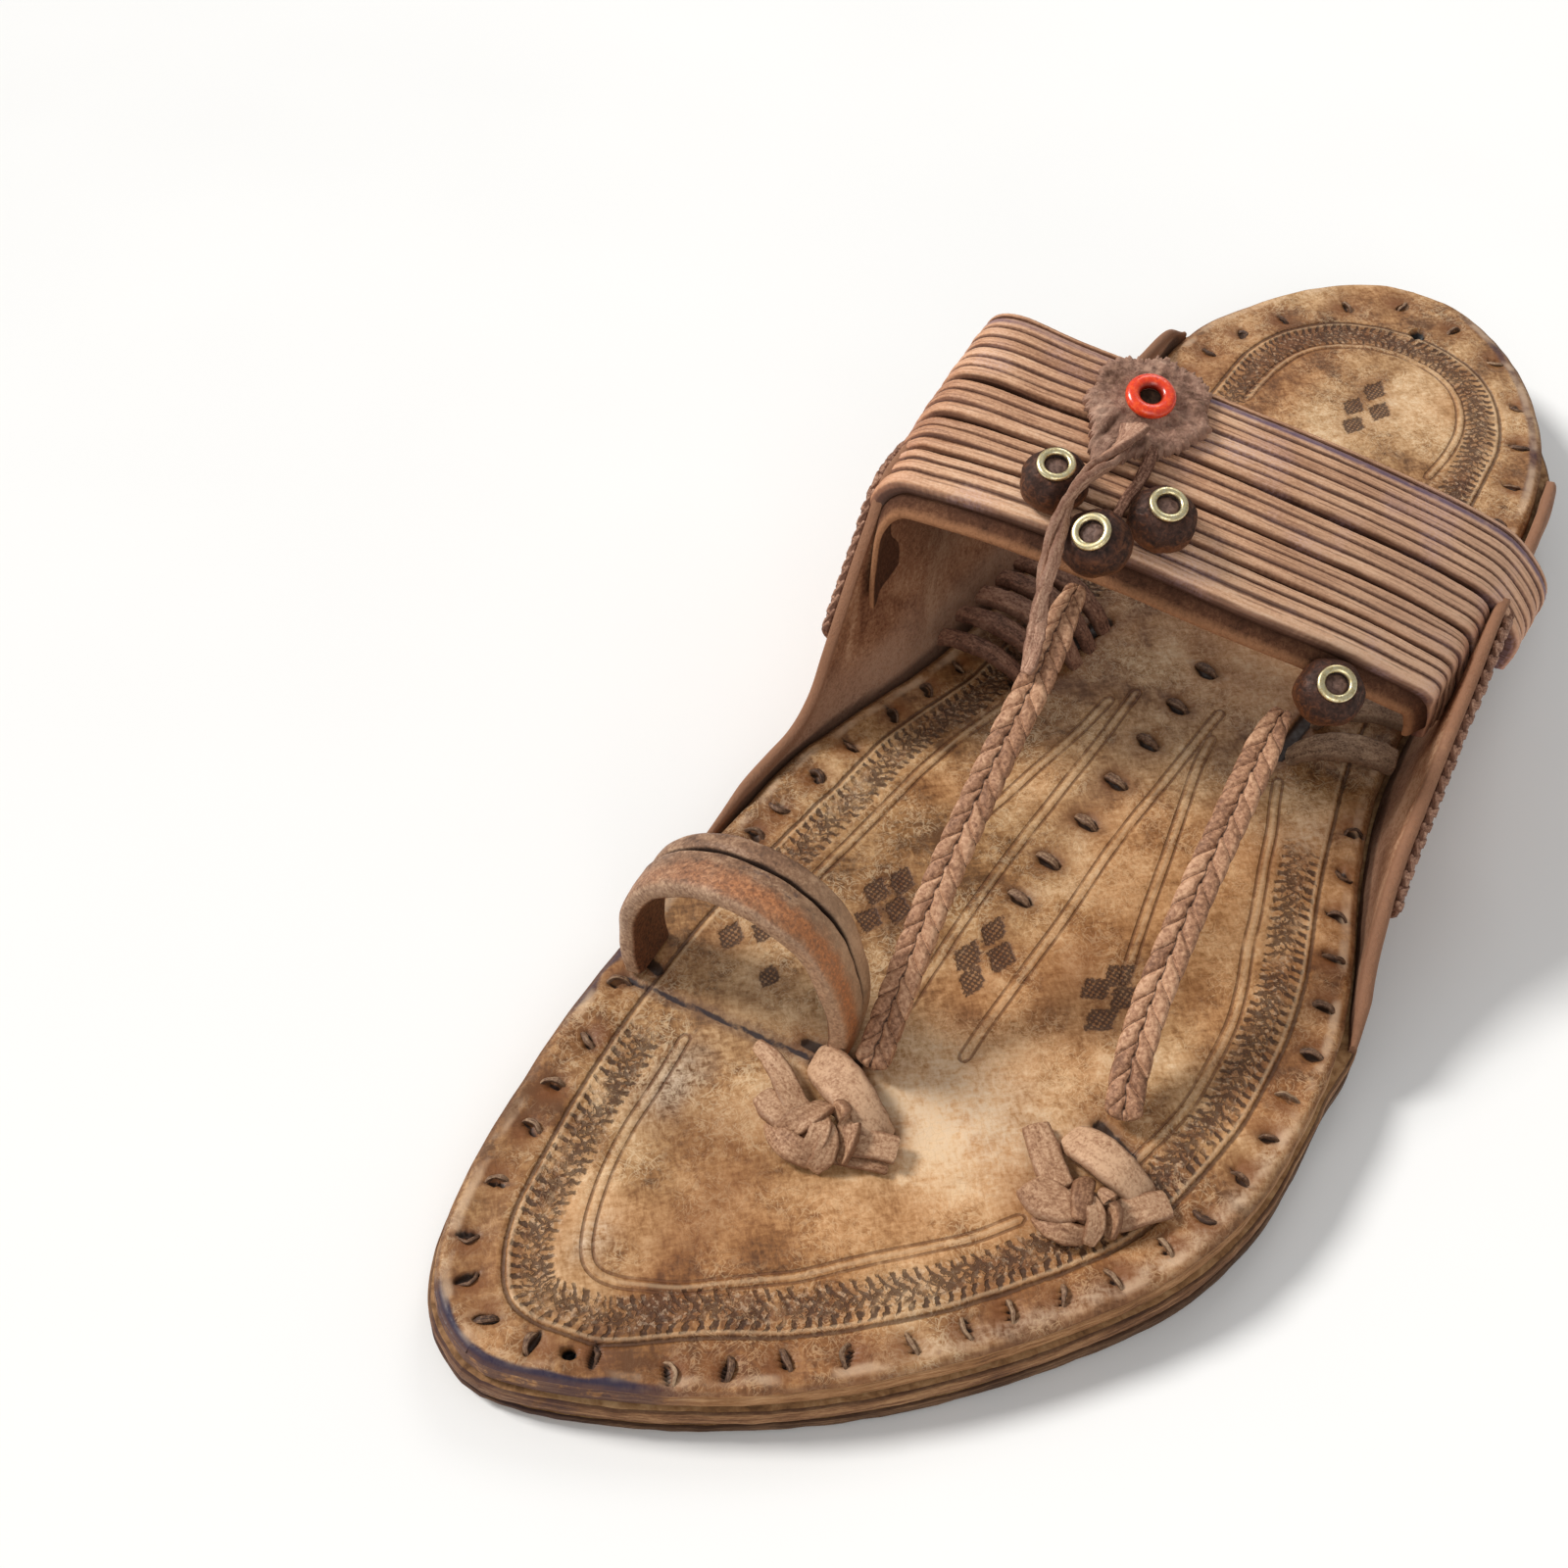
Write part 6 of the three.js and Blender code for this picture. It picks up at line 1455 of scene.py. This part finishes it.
# --------------------------------------------------------------- braids
def braid(name, path, replaces, pitch, seed, width=5.0, tall=2.3, slope=1.25):
    """A flat braid as one closed sweep: two rows of slanting strands that meet on a middle line."""
    g = np.random.default_rng(seed)
    n, m = 700, 64
    Q = sample(path, np.linspace(0, 1, 1400))
    L = np.concatenate([[0], np.cumsum(np.linalg.norm(np.diff(Q, axis=0), axis=1))])
    d = np.linspace(0, L[-1], n)
    P = np.stack([np.interp(d, L, Q[:, j]) for j in range(3)], 1)
    tan = unit(np.gradient(P, axis=0))
    sd = unit(np.array([1.0, 0, 0]) - tan * tan[:, :1])
    up = unit(np.cross(sd, tan))
    up = up * np.sign(up[:, 2:3])
    # flat section, spaced evenly round its edge
    k = section(width, tall, 2000, 0.5)
    k = np.concatenate([k, k[:1]])
    e = np.concatenate([[0], np.cumsum(np.linalg.norm(np.diff(k, axis=0), axis=1))])
    w = np.arange(m) / m * e[-1]
    a, h = np.interp(w, e, k[:, 0])[None], np.interp(w, e, k[:, 1])[None]
    D = d[:, None] + 0 * a
    hw = width / 2
    # the middle line wanders a little from strand to strand
    aa = a - 0.16 * np.sin(2 * np.pi * D / pitch)
    x = np.abs(aa)
    ph = (D - slope * pitch / 3.5 * x) / pitch + np.where(aa > 0, 0.5, 0.0) + 40
    no = np.floor(ph).astype(int)
    f = ph - no
    jit = g.uniform(0, 1, (2, no.max() + 2))
    own = jit[(aa > 0).astype(int), no]
    q = np.minimum(f, 1 - f) * pitch / math.hypot(1, slope)
    cut = np.exp(-(q / 0.21) ** 2)
    mid = np.exp(-(aa / 0.3) ** 2)
    sink = 0.36 * cut * (1 - 0.3 * x / hw) + 0.42 * mid + 0.16 * (2 * f - 1) ** 2 - 0.1 * own
    end = np.clip(np.minimum(D, L[-1] - D) / 1.4, 0, 1)
    end = np.sqrt(np.clip(1 - (1 - end) ** 2, 0.12, 1))
    h2 = (h - np.sign(h) * np.minimum(sink, np.abs(h) * 0.8)) * end
    a2 = (a - np.sign(a) * 0.3 * sink * (x / hw) ** 4) * end * (0.64 + 0.36 * smooth(0.0, 10.0, D))
    V = P[:, None] + a2[..., None] * sd[:, None] + h2[..., None] * up[:, None]
    V = V + up[:, None] * (waves(V, 1.7, seed) * 0.05)[..., None]
    edge = np.maximum(np.abs(2 * f - 1) ** 3, mid)
    s = Soup()
    s.add(V.reshape(-1, 3), ring_faces(n, m), u=((slope * D + x) / math.hypot(1, slope)).ravel(), v=edge.ravel(),
          w=(h2 / tall * 2).ravel(), rnd=own.ravel(), tone=(own - 0.5).ravel() * 0.6)
    s.build(name + "_strands", M_BRAID, "braid_leather", (replaces,), sharp=0)


braid("braid_medial", BRAID_MEDIAL, "braid_medial", 3.3, 3)
braid("braid_lateral", BRAID_LATERAL, "braid_lateral", 3.7, 4, 5.2)


# ---------------------------------------------------------------- knots
def on_bed(pts):
    return [[x, y, float(top_z(y)) + h] for x, y, h in pts]


def knots():
    a = Soup()
    # medial knot: pulled-through strip, twisted tail, flap, lobes, cut tail
    strip(a, on_bed([(-9.4, -81.6, 0.3), (-7.6, -82.3, 1.9), (-4.0, -84.0, 3.3), (0.0, -85.6, 3.2), (3.4, -86.4, 1.9), (5.2, -86.4, 0.2)]),
          [5.2, 6.2, 6.6, 6.4, 5.6, 4.2], 1.3, [-0.35, 1, 0.1], n=26, m=20, bow=0.35, rnd=0.9, tone=0.55, rough=0.06, seed=1)
    strip(a, on_bed([(-17.2, -85.2, 2.1), (-14.4, -86.0, 2.4), (-11.4, -87.4, 2.3), (-8.6, -89.4, 2.6), (-6.0, -90.8, 2.6), (-4.2, -91.2, 1.8)]),
          [2.0, 3.0, 3.4, 3.8, 3.6, 2.6], 1.0, [0.3, 1, 0.3], n=26, m=16, twist=[0.5, 0.25, -0.3, -0.5, -0.2, 0], rnd=0.3, tone=0.5, rough=0.06, seed=2)
    strip(a, on_bed([(-12.0, -91.2, 1.6), (-9.6, -91.9, 2.2), (-7.2, -92.4, 2.6), (-5.0, -92.2, 2.2)]),
          [3.2, 5.2, 4.8, 3.4], 1.1, [0.2, 1, 0.0], n=18, m=18, rnd=0.5, tone=0.35, bow=0.2, rough=0.06, seed=3)
    strip(a, on_bed([(-8.6, -93.6, 1.0), (-6.4, -95.2, 2.0), (-3.6, -96.0, 2.5), (-1.2, -95.2, 1.9), (-0.2, -93.8, 1.0)]),
          [2.6, 3.6, 3.8, 3.4, 2.4], 1.3, [0.2, 1, 0.6], n=20, m=16, rnd=0.1, tone=0.25, bow=0.2, rough=0.07, seed=4)
    strip(a, on_bed([(-6.4, -95.0, 2.2), (-5.0, -93.0, 3.8), (-4.0, -90.8, 4.2), (-3.6, -88.8, 3.4), (-3.6, -87.4, 2.0)]),
          [2.8, 3.6, 3.6, 3.2, 2.2], 1.3, [1, 0.25, 0.1], n=20, m=16, rnd=0.7, tone=0.1, bow=0.25, rough=0.07, seed=5)
    strip(a, on_bed([(-0.2, -96.2, 1.0), (0.5, -94.6, 2.6), (-0.2, -92.6, 3.8), (-1.8, -91.0, 3.8)]),
          [2.2, 3.2, 3.0, 2.0], 1.3, [1, 0.5, -0.2], n=16, m=16, rnd=0.4, tone=0.3, bow=0.25, rough=0.06, seed=6)
    strip(a, on_bed([(2.2, -93.2, 1.2), (1.9, -91.2, 3.0), (0.8, -89.2, 3.9), (-1.4, -87.8, 3.4), (-2.6, -87.4, 2.4)]),
          [2.4, 3.2, 3.4, 3.0, 2.2], 1.3, [0.8, -0.6, -0.1], n=18, m=16, rnd=0.2, tone=0.05, bow=0.25, rough=0.06, seed=7)
    strip(a, on_bed([(0.2, -91.6, 1.6), (2.6, -90.4, 2.1), (5.2, -88.9, 2.2), (7.6, -87.9, 1.9)]),
          [3.4, 3.8, 4.0, 4.1], 0.95, [-0.5, 1, 0.25], n=16, m=16, rnd=0.6, tone=0.3, rough=0.05, seed=8, taper=0.12)
    strip(a, on_bed([(0.6, -92.6, 0.7), (3.2, -91.5, 0.9), (5.6, -90.4, 0.9), (7.4, -89.6, 0.6)]),
          [3.0, 3.4, 3.4, 3.4], 0.8, [-0.5, 1, 0.0], n=12, m=14, rnd=0.65, tone=-0.1, rough=0.05, seed=9, taper=0.12)
    strip(a, on_bed([(-6.8, -93.4, 1.0), (-5.2, -94.0, 1.8), (-3.2, -93.6, 2.1), (-1.4, -92.4, 1.9), (-0.4, -91.0, 1.0)]),
          [3.6, 4.4, 4.6, 4.2, 3.0], 1.3, [0.4, 1, 0.1], n=18, m=16, rnd=0.33, tone=-0.15, bow=0.2, rough=0.06, seed=61)
    strip(a, on_bed([(-2.4, -95.6, 2.2), (-1.4, -94.0, 3.6), (-1.8, -92.2, 4.3), (-3.0, -90.8, 3.8), (-4.2, -90.2, 2.6)]),
          [2.2, 3.0, 3.1, 2.6, 1.8], 1.2, [1, 0.4, 0.1], n=18, m=16, rnd=0.83, tone=0.15, bow=0.25, rough=0.05, seed=62)
    a.build("knot_medial_strips", M_KNOT, "braid_leather", ("knot_medial",), sharp=50)
    b = Soup()
    strip(b, on_bed([(25.6, -71.6, 0.3), (27.4, -72.4, 1.8), (30.6, -73.4, 3.3), (34.0, -74.2, 3.3), (36.8, -74.2, 1.9), (38.2, -73.8, 0.2)]),
          [4.6, 5.6, 6.0, 5.8, 5.0, 4.0], 1.3, [0.1, 1, 0.05], n=26, m=20, bow=0.3, rnd=0.85, tone=0.55, rough=0.06, seed=11)
    strip(b, on_bed([(20.8, -73.2, 0.9), (23.4, -75.6, 1.3), (26.0, -78.2, 1.8), (28.6, -80.0, 2.0)]),
          [3.8, 4.4, 4.4, 3.8], 1.1, [0.72, 0.7, 0.1], n=18, m=16, rnd=0.35, tone=0.3, rough=0.06, seed=12, bow=0.15)
    strip(b, on_bed([(25.0, -81.6, 1.7), (27.6, -82.6, 2.3), (30.0, -82.6, 2.6), (32.0, -81.6, 2.6)]),
          [5.0, 6.6, 5.6, 3.4], 1.1, [0.25, 1, 0.0], n=18, m=18, rnd=0.55, tone=0.15, rough=0.06, seed=13, bow=0.2)
    strip(b, on_bed([(27.8, -84.8, 0.9), (30.2, -85.6, 1.7), (32.6, -85.2, 1.8), (34.4, -83.6, 1.2)]),
          [2.2, 3.0, 3.2, 2.4], 1.2, [0.1, 1, 0.5], n=16, m=14, rnd=0.15, tone=0.05, rough=0.06, seed=14, bow=0.2)
    strip(b, on_bed([(31.0, -77.4, 2.2), (31.2, -79.2, 3.6), (32.0, -81.2, 4.0), (33.0, -83.0, 3.0)]),
          [2.4, 3.0, 3.0, 2.4], 1.2, [1, 0.2, 0.1], n=16, m=14, rnd=0.75, tone=-0.6, rough=0.06, seed=15, bow=0.2)
    strip(b, on_bed([(35.2, -84.4, 1.0), (35.2, -83.0, 2.6), (34.2, -81.4, 3.8), (32.8, -80.2, 3.8)]),
          [1.8, 2.6, 2.6, 1.8], 1.2, [1, 0.6, -0.2], n=14, m=14, rnd=0.45, tone=0.3, rough=0.05, seed=16, bow=0.2)
    strip(b, on_bed([(37.0, -82.0, 1.0), (36.6, -80.4, 2.8), (35.2, -79.0, 3.6), (33.4, -78.4, 3.2)]),
          [1.8, 2.6, 2.8, 2.0], 1.2, [0.8, -0.6, -0.1], n=14, m=14, rnd=0.25, tone=0.15, rough=0.05, seed=17, bow=0.2)
    strip(b, on_bed([(35.4, -80.6, 1.4), (37.2, -78.6, 1.8), (39.2, -76.0, 1.8), (41.0, -73.6, 1.3)]),
          [3.6, 4.4, 4.4, 4.0], 1.0, [-0.8, 0.6, 0.1], n=16, m=16, rnd=0.6, tone=0.3, rough=0.05, seed=18, taper=0.15)
    strip(b, on_bed([(29.0, -80.0, 1.2), (31.0, -80.6, 2.0), (33.2, -80.8, 2.4), (35.4, -80.6, 1.6)]),
          [4.4, 5.4, 5.0, 3.6], 1.3, [0.1, 1, 0.0], n=16, m=16, rnd=0.5, tone=-0.5, rough=0.06, seed=63)
    b.build("knot_lateral_strips", M_KNOT, "braid_leather", ("knot_lateral",), sharp=50)


knots()


# ------------------------------------------- rosette, tail, ring and beads
def band_uv(x, y):
    u, v = np.meshgrid(np.linspace(0, 1, 401), np.linspace(-0.2, 1.2, 141), indexing="ij")
    p, _ = band_point(u, v, np.zeros(u.shape))
    d = np.hypot(p[..., 0] - x, p[..., 1] - y) - p[..., 2] * 1e-4
    k = np.unravel_index(np.argmin(d), d.shape)
    return u[k], v[k]


def rosette():
    cu, cv = band_uv(-17.2, 12.6)
    P = lambda u, v: band_point(np.array([u]), np.array([v]), np.zeros(1))[0][0]
    du = np.linalg.norm(P(cu + 0.02, cv) - P(cu - 0.02, cv)) / 0.04
    dv = np.linalg.norm(P(cu, cv + 0.05) - P(cu, cv - 0.05)) / 0.1
    A, R = 360, 26
    th = np.arange(A) / A * 2 * np.pi
    edge = 1 + 0.05 * np.cos(7 * th + 0.6) + 0.03 * np.cos(4 * th + 2) + 0.02 * np.cos(11 * th)
    saw = 0.035 * (np.abs(((th * 38 / (2 * np.pi)) % 1) - 0.5) * 4 - 1) + 0.02 * np.cos(93 * th)
    lobe = 0.42 * np.exp(-((np.angle(np.exp(1j * (th + 1.72)))) / 0.34) ** 2)
    edge = edge + saw + lobe
    rr = np.concatenate([np.linspace(0.03, 0.9, R - 5), [0.94, 0.97, 0.99, 1.0, 1.0]])
    top_l = np.concatenate([np.full(R - 5, 1.0), [0.95, 0.85, 0.62, 0.30, 0.0]])
    T, Q = np.meshgrid(th, rr, indexing="xy")
    E = edge[None, :] * np.where(Q > 0.6, 1, 1) * Q
    E = Q * (1 + (edge[None, :] - 1) * smooth(0.35, 1.0, Q))
    U = cu + 9.0 * E * np.cos(T) / du
    V = cv + 9.4 * E * np.sin(T) / dv
    x, y = 9.0 * E * np.cos(T), 9.4 * E * np.sin(T)
    q = np.stack([x, y], -1)
    fold = 0.30 * waves(q, 6.5, 5) + 0.16 * waves(q, 2.2, 6) + 0.45 * np.exp(-((x - 0.5 - 0.2 * y) / 1.0) ** 2) * smooth(0, -5, y)
    fold = fold - 0.5 * np.exp(-((x + 1.6 - 0.25 * y) / 0.5) ** 2) * smooth(-2, -6, y)
    lift = 0.35 + (1.45 + fold * smooth(0.25, 0.45, Q)) * top_l[:, None]
    lift = np.maximum(lift, 0.32)
    top, _ = band_point(U, V, lift)
    low, _ = band_point(U[::-1], V[::-1], np.full(U.shape, 0.15))
    rings = np.concatenate([top, low])
    w = np.concatenate([np.repeat(top_l, A), np.zeros(A * R)])
    n = len(rings)
    V3 = rings.reshape(-1, 3)
    qq = np.concatenate([q.reshape(-1, 2), q[::-1].reshape(-1, 2)])
    rim = np.concatenate([(smooth(0.86, 1.0, Q)).ravel() * 0.8, np.ones(A * R) * 0.3])
    # painted shade along the fold's crease; the line below adds random darker mottling
    dark = 0.8 * np.exp(-((qq[:, 0] + 1.6 - 0.25 * qq[:, 1]) / 0.6) ** 2) * smooth(-2, -5, qq[:, 1])
    dark = np.maximum(dark, 0.5 * smooth(0.3, 0.9, waves(qq, 3.2, 9)))
    z = np.zeros(len(V3))
    build("rosette_disc", V3, ring_faces(n, A), M_ROSE, ("rosette",),
          {"w": w, "pale": 0.35 * smooth(0.2, 0.9, waves(qq, 2.6, 19)), "dark": dark, "rim": rim}, sharp=60)
    return cu, cv


CU, CV = rosette()


def turned(profile, axis, at, seg=56, wob=0.0, seed=1, lobes=0):
    """Rings of a turned form: profile of (radius, height)."""
    axis = unit(np.asarray(axis, float))
    x = unit(np.cross(axis, [0.3, 1, 0.1]))
    y = np.cross(axis, x)
    th = np.arange(seg) / seg * 2 * np.pi
    rings = []
    for r, h in profile:
        k = 1 + wob * (np.sin(lobes * th + seed) if lobes else 0) * min(1, r / 3)
        rings.append(at + axis * h + (np.cos(th) * k * r)[:, None] * x + (np.sin(th) * k * r)[:, None] * y)
    return np.array(rings)


def bead_pieces():
    seats = []
    for x, y in [(-20.9, -7.0), (-5.5, -3.6)]:
        u, v = band_uv(x, y)
        p, n = band_point(np.array([u]), np.array([v]), np.array([0.6]))
        seats.append((p[0], n[0]))
    seats.append((np.array([-9.9, -13.6, 58.9]), unit(np.array([-0.05, -0.52, 0.85]))))
    seats.append((np.array([24.6, -2.9, 41.2]), unit(np.array([0.26, -0.38, 0.89]))))
    g = np.random.default_rng(2)
    for i, (at, ax) in enumerate(seats):
        name = i + 1
        prof = [(0.05, 0.0), (3.4, 0.0), (4.45, 0.05), (4.85, 0.35), (5.0, 0.8), (5.02, 1.5), (4.98, 2.2), (4.86, 2.8), (4.6, 3.4), (4.25, 4.0),
                (3.85, 4.5), (3.5, 4.85), (3.2, 5.1), (2.9, 5.25), (2.5, 5.3), (2.1, 5.3), (1.9, 5.22), (1.78, 4.95), (1.6, 5.05), (1.2, 5.2), (0.6, 5.26), (0.05, 5.28)]
        R = turned(prof, ax, at, 60, 0.018, i, 6)
        d = unit(R - at - ax * 2.4)
        R = R + d * (0.07 * waves(R, 2.4, 30 + i) + 0.10 * waves(R, 7, 40 + i))[..., None] * np.array([min(1, p[0] / 3) for p in prof])[:, None, None]
        h = np.repeat([p[1] / 5.3 for p in prof], 60)
        r = np.repeat([p[0] for p in prof], 60)
        build(f"bead_dome_{name}", R.reshape(-1, 3), ring_faces(len(prof), 60), M_BEAD, (f"bead_{name}",),
              {"h": h, "r": r, "rnd": np.full(len(h), i * 0.31)}, sharp=60)
        mid, half = 2.28, 0.58
        pr = []
        for k in range(14):
            a = k / 14 * 2 * np.pi
            pr.append((mid + half * math.copysign(abs(math.cos(a)) ** 0.8, math.cos(a)), 0.42 + 0.42 * math.copysign(abs(math.sin(a)) ** 0.9, math.sin(a))))
        R = turned(pr, ax, at + ax * 5.3, 64, 0.012, i + 2, 2)
        build(f"eyelet_ring_{name}", R.reshape(-1, 3), ring_faces(14, 64, closed=True), M_BRASS, (f"eyelet_{name}",), {}, sharp=0)
    p, n = band_point(np.array([CU]), np.array([CV]), np.array([2.0]))
    mid, half = 2.72, 1.14
    pr = []
    for k in range(18):
        a = k / 18 * 2 * np.pi
        pr.append((mid + half * math.copysign(abs(math.cos(a)) ** 0.9, math.cos(a)), 0.95 + 0.92 * math.sin(a)))
    R = turned(pr, n[0], p[0], 72, 0.02, 3, 2)
    r = np.repeat([q[0] for q in pr], 72)
    build("ring_red_bead", R.reshape(-1, 3), ring_faces(18, 72, closed=True), M_RED, ("ring_red",), {"r": r}, sharp=0)
    R = turned([(0.05, 0.0), (1.0, 0.0), (1.62, 0.1), (1.66, 0.45), (1.2, 0.62), (0.5, 0.5), (0.05, 0.42)], n[0], p[0], 40, 0.03, 1, 3)
    build("ring_core", R.reshape(-1, 3), ring_faces(7, 40), M_DARK, ("ring_red",), {}, sharp=50)


bead_pieces()


def tail():
    s = Soup()
    path = np.array([[-15.4, 5.4, 66.2], [-14.8, 1.4, 65.9], [-14.6, -4.4, 66.3], [-15.2, -9.6, 66.8], [-15.2, -15.0, 65.3], [-13.6, -21.0, 60.8],
                     [-11.4, -27.0, 56.6], [-9.4, -31.4, 53.4], [-8.6, -34.6, 51.2]])
    n = 60
    P, tan, sd, up, L = path_frames(path, n, [1, 0, 0])
    for k, ph in enumerate((0.0, math.pi)):
        a = ph + L / L[-1] * math.pi * 3.1 + 0.4
        r = np.interp(L / L[-1], [0, 0.15, 0.7, 1], [0.9, 0.75, 0.62, 0.35])
        pts = P + sd * (np.cos(a) * r)[:, None] + up * (np.sin(a) * r * 0.7)[:, None]
        strip(s, pts[::2], [2.9, 2.6, 2.4, 2.2, 2.1, 1.8, 1.3], [1.3, 1.2, 1.1, 1.0], [1, 0, 0.2], n=64, m=12, rnd=0.2 + 0.5 * k, tone=0.35 - 0.2 * k,
              rough=0.14, seed=20 + k, twist=3.0, p=0.6)
    s.build("tail_twist", M_TAIL, "rosette_leather", ("tail_strip",), sharp=50)
    d = Soup()
    pts = []
    for x, y, lift in [(-12.6, 6.4, 1.5), (-11.6, 3.6, 1.2), (-11.2, 0.2, 1.0), (-11.2, -3.4, 0.9), (-10.9, -7.0, 0.9)]:
        u, v = band_uv(x, y)
        p, _ = band_point(np.array([u]), np.array([v]), np.array([lift]))
        pts.append(p[0])
    strip(d, pts, [1.6, 1.9, 1.7, 1.5], 1.0, [1, 0, -0.2], n=30, m=12, rnd=0.8, tone=-0.7, rough=0.08, seed=33)
    d.build("tail_dark_strand", M_TAIL, "rosette_leather", ("tail_strip",), sharp=50)


tail()


# -------------------------------------------------------------- lacing
def lacing():
    table = [("lacing_medial_1", -36.6, 18.4, 5.2, -18.6, 17.6, 4.0), ("lacing_medial_2", -36.8, 12.6, 5.6, -18.4, 12.4, 4.2),
             ("lacing_medial_3", -37.4, 6.9, 5.8, -18.2, 7.6, 4.2), ("lacing_medial_4", -38.0, 1.6, 5.2, -20.4, 2.9, 4.0),
             ("lacing_medial_5", -38.4, -3.4, 3.6, -22.6, -1.6, 3.4), ("lacing_lateral_1", 31.6, 31.4, 4.0, 19.0, 27.0, 4.8),
             ("lacing_lateral_2", 32.4, 23.0, 4.0, 19.6, 19.0, 5.2), ("lacing_lateral_3", 34.2, 14.2, 3.4, 19.4, 9.8, 5.6)]
    for i, (name, x0, y0, h0, x1, y1, w) in enumerate(table):
        s = Soup()
        pts = []
        for k in range(9):
            f = k / 8
            x, y = x0 + (x1 - x0) * f, y0 + (y1 - y0) * f
            lift = h0 * (1 - f ** 3) + 1.2 * math.sin(math.pi * f) ** 0.8 - 0.9 * max(0, f - 0.86) / 0.14
            pts.append([x, y, float(top_z(y)) + 0.5 + lift])
        d = unit(np.array([-(y1 - y0), x1 - x0, 0.0]))
        med = "medial" in name
        strip(s, pts, [w * 0.9, w, w * 1.05, w * 0.95, w * 0.7], [1.5, 1.6, 1.5, 1.2], d, n=34, m=18, p=0.42, rnd=(i * 0.37) % 1, tone=(0.1 if med else 0.1) - 0.25 * (i % 3 == 1),
              twist=[0.1 * (-1) ** i, 0.0, 0.12 * (-1) ** i], bow=0.22, rough=0.09, seed=50 + i)
        s.build(name + "_strip", M_LACE_M if med else M_LACE_L, "lacing_leather", (name,), sharp=50)


lacing()

# ------------------------------------------------------------------ stage
me = bpy.data.meshes.new("floor")
q = 2.5
g = np.linspace(-q, q, 9)
fx, fy = np.meshgrid(g, g, indexing="ij")
me.from_pydata(np.stack([fx.ravel(), fy.ravel(), np.full(fx.size, -0.0002)], 1).tolist(), [],
               [[i * 9 + j, (i + 1) * 9 + j, (i + 1) * 9 + j + 1, i * 9 + j + 1] for i in range(8) for j in range(8)])
me.materials.append(M_FLOOR)
floor = bpy.data.objects.new("floor", me)
bpy.context.scene.collection.objects.link(floor)


def lamp(name, at, to, size, power, colour=(1, 1, 1)):
    d = bpy.data.lights.new(name, "AREA")
    d.shape = "DISK"
    d.size = size
    d.energy = power
    d.color = colour
    o = bpy.data.objects.new(name, d)
    bpy.context.scene.collection.objects.link(o)
    a, b = np.array(at, float), np.array(to, float)
    z = unit(a - b)
    x = unit(np.cross([0, 0.01, 1], z))
    y = np.cross(z, x)
    mt = Matrix.Identity(4)
    for r in range(3):
        mt[r][0], mt[r][1], mt[r][2], mt[r][3] = x[r], y[r], z[r], a[r]
    o.matrix_world = mt


def sun(name, at, angle, power, colour):
    d = bpy.data.lights.new(name, "SUN")
    d.energy = power
    d.angle = math.radians(angle)
    d.color = colour
    o = bpy.data.objects.new(name, d)
    bpy.context.scene.collection.objects.link(o)
    z = unit(np.array(at, float))
    x = unit(np.cross([0, 0.01, 1], z))
    y = np.cross(z, x)
    mt = Matrix.Identity(4)
    for r in range(3):
        mt[r][0], mt[r][1], mt[r][2], mt[r][3] = x[r], y[r], z[r], at[r]
    o.matrix_world = mt


sun("key", (-0.84, -0.22, 0.76), 15, 2.7, (1.0, 0.99, 0.97))
lamp("sheen", (-0.25, 0.85, 0.95), (0, 0, 0), 0.5, 2.0, (0.97, 0.985, 1.0))
lamp("fill", (0.5, -0.95, 0.75), (0, 0, 0.02), 0.9, 3.7, (1.0, 0.99, 0.975))
world = bpy.data.worlds.new("world")
bpy.context.scene.world = world
world.use_nodes = True
bg = world.node_tree.nodes["Background"]
bg.inputs[0].default_value = (0.97, 0.985, 1.0, 1)
bg.inputs[1].default_value = 0.36
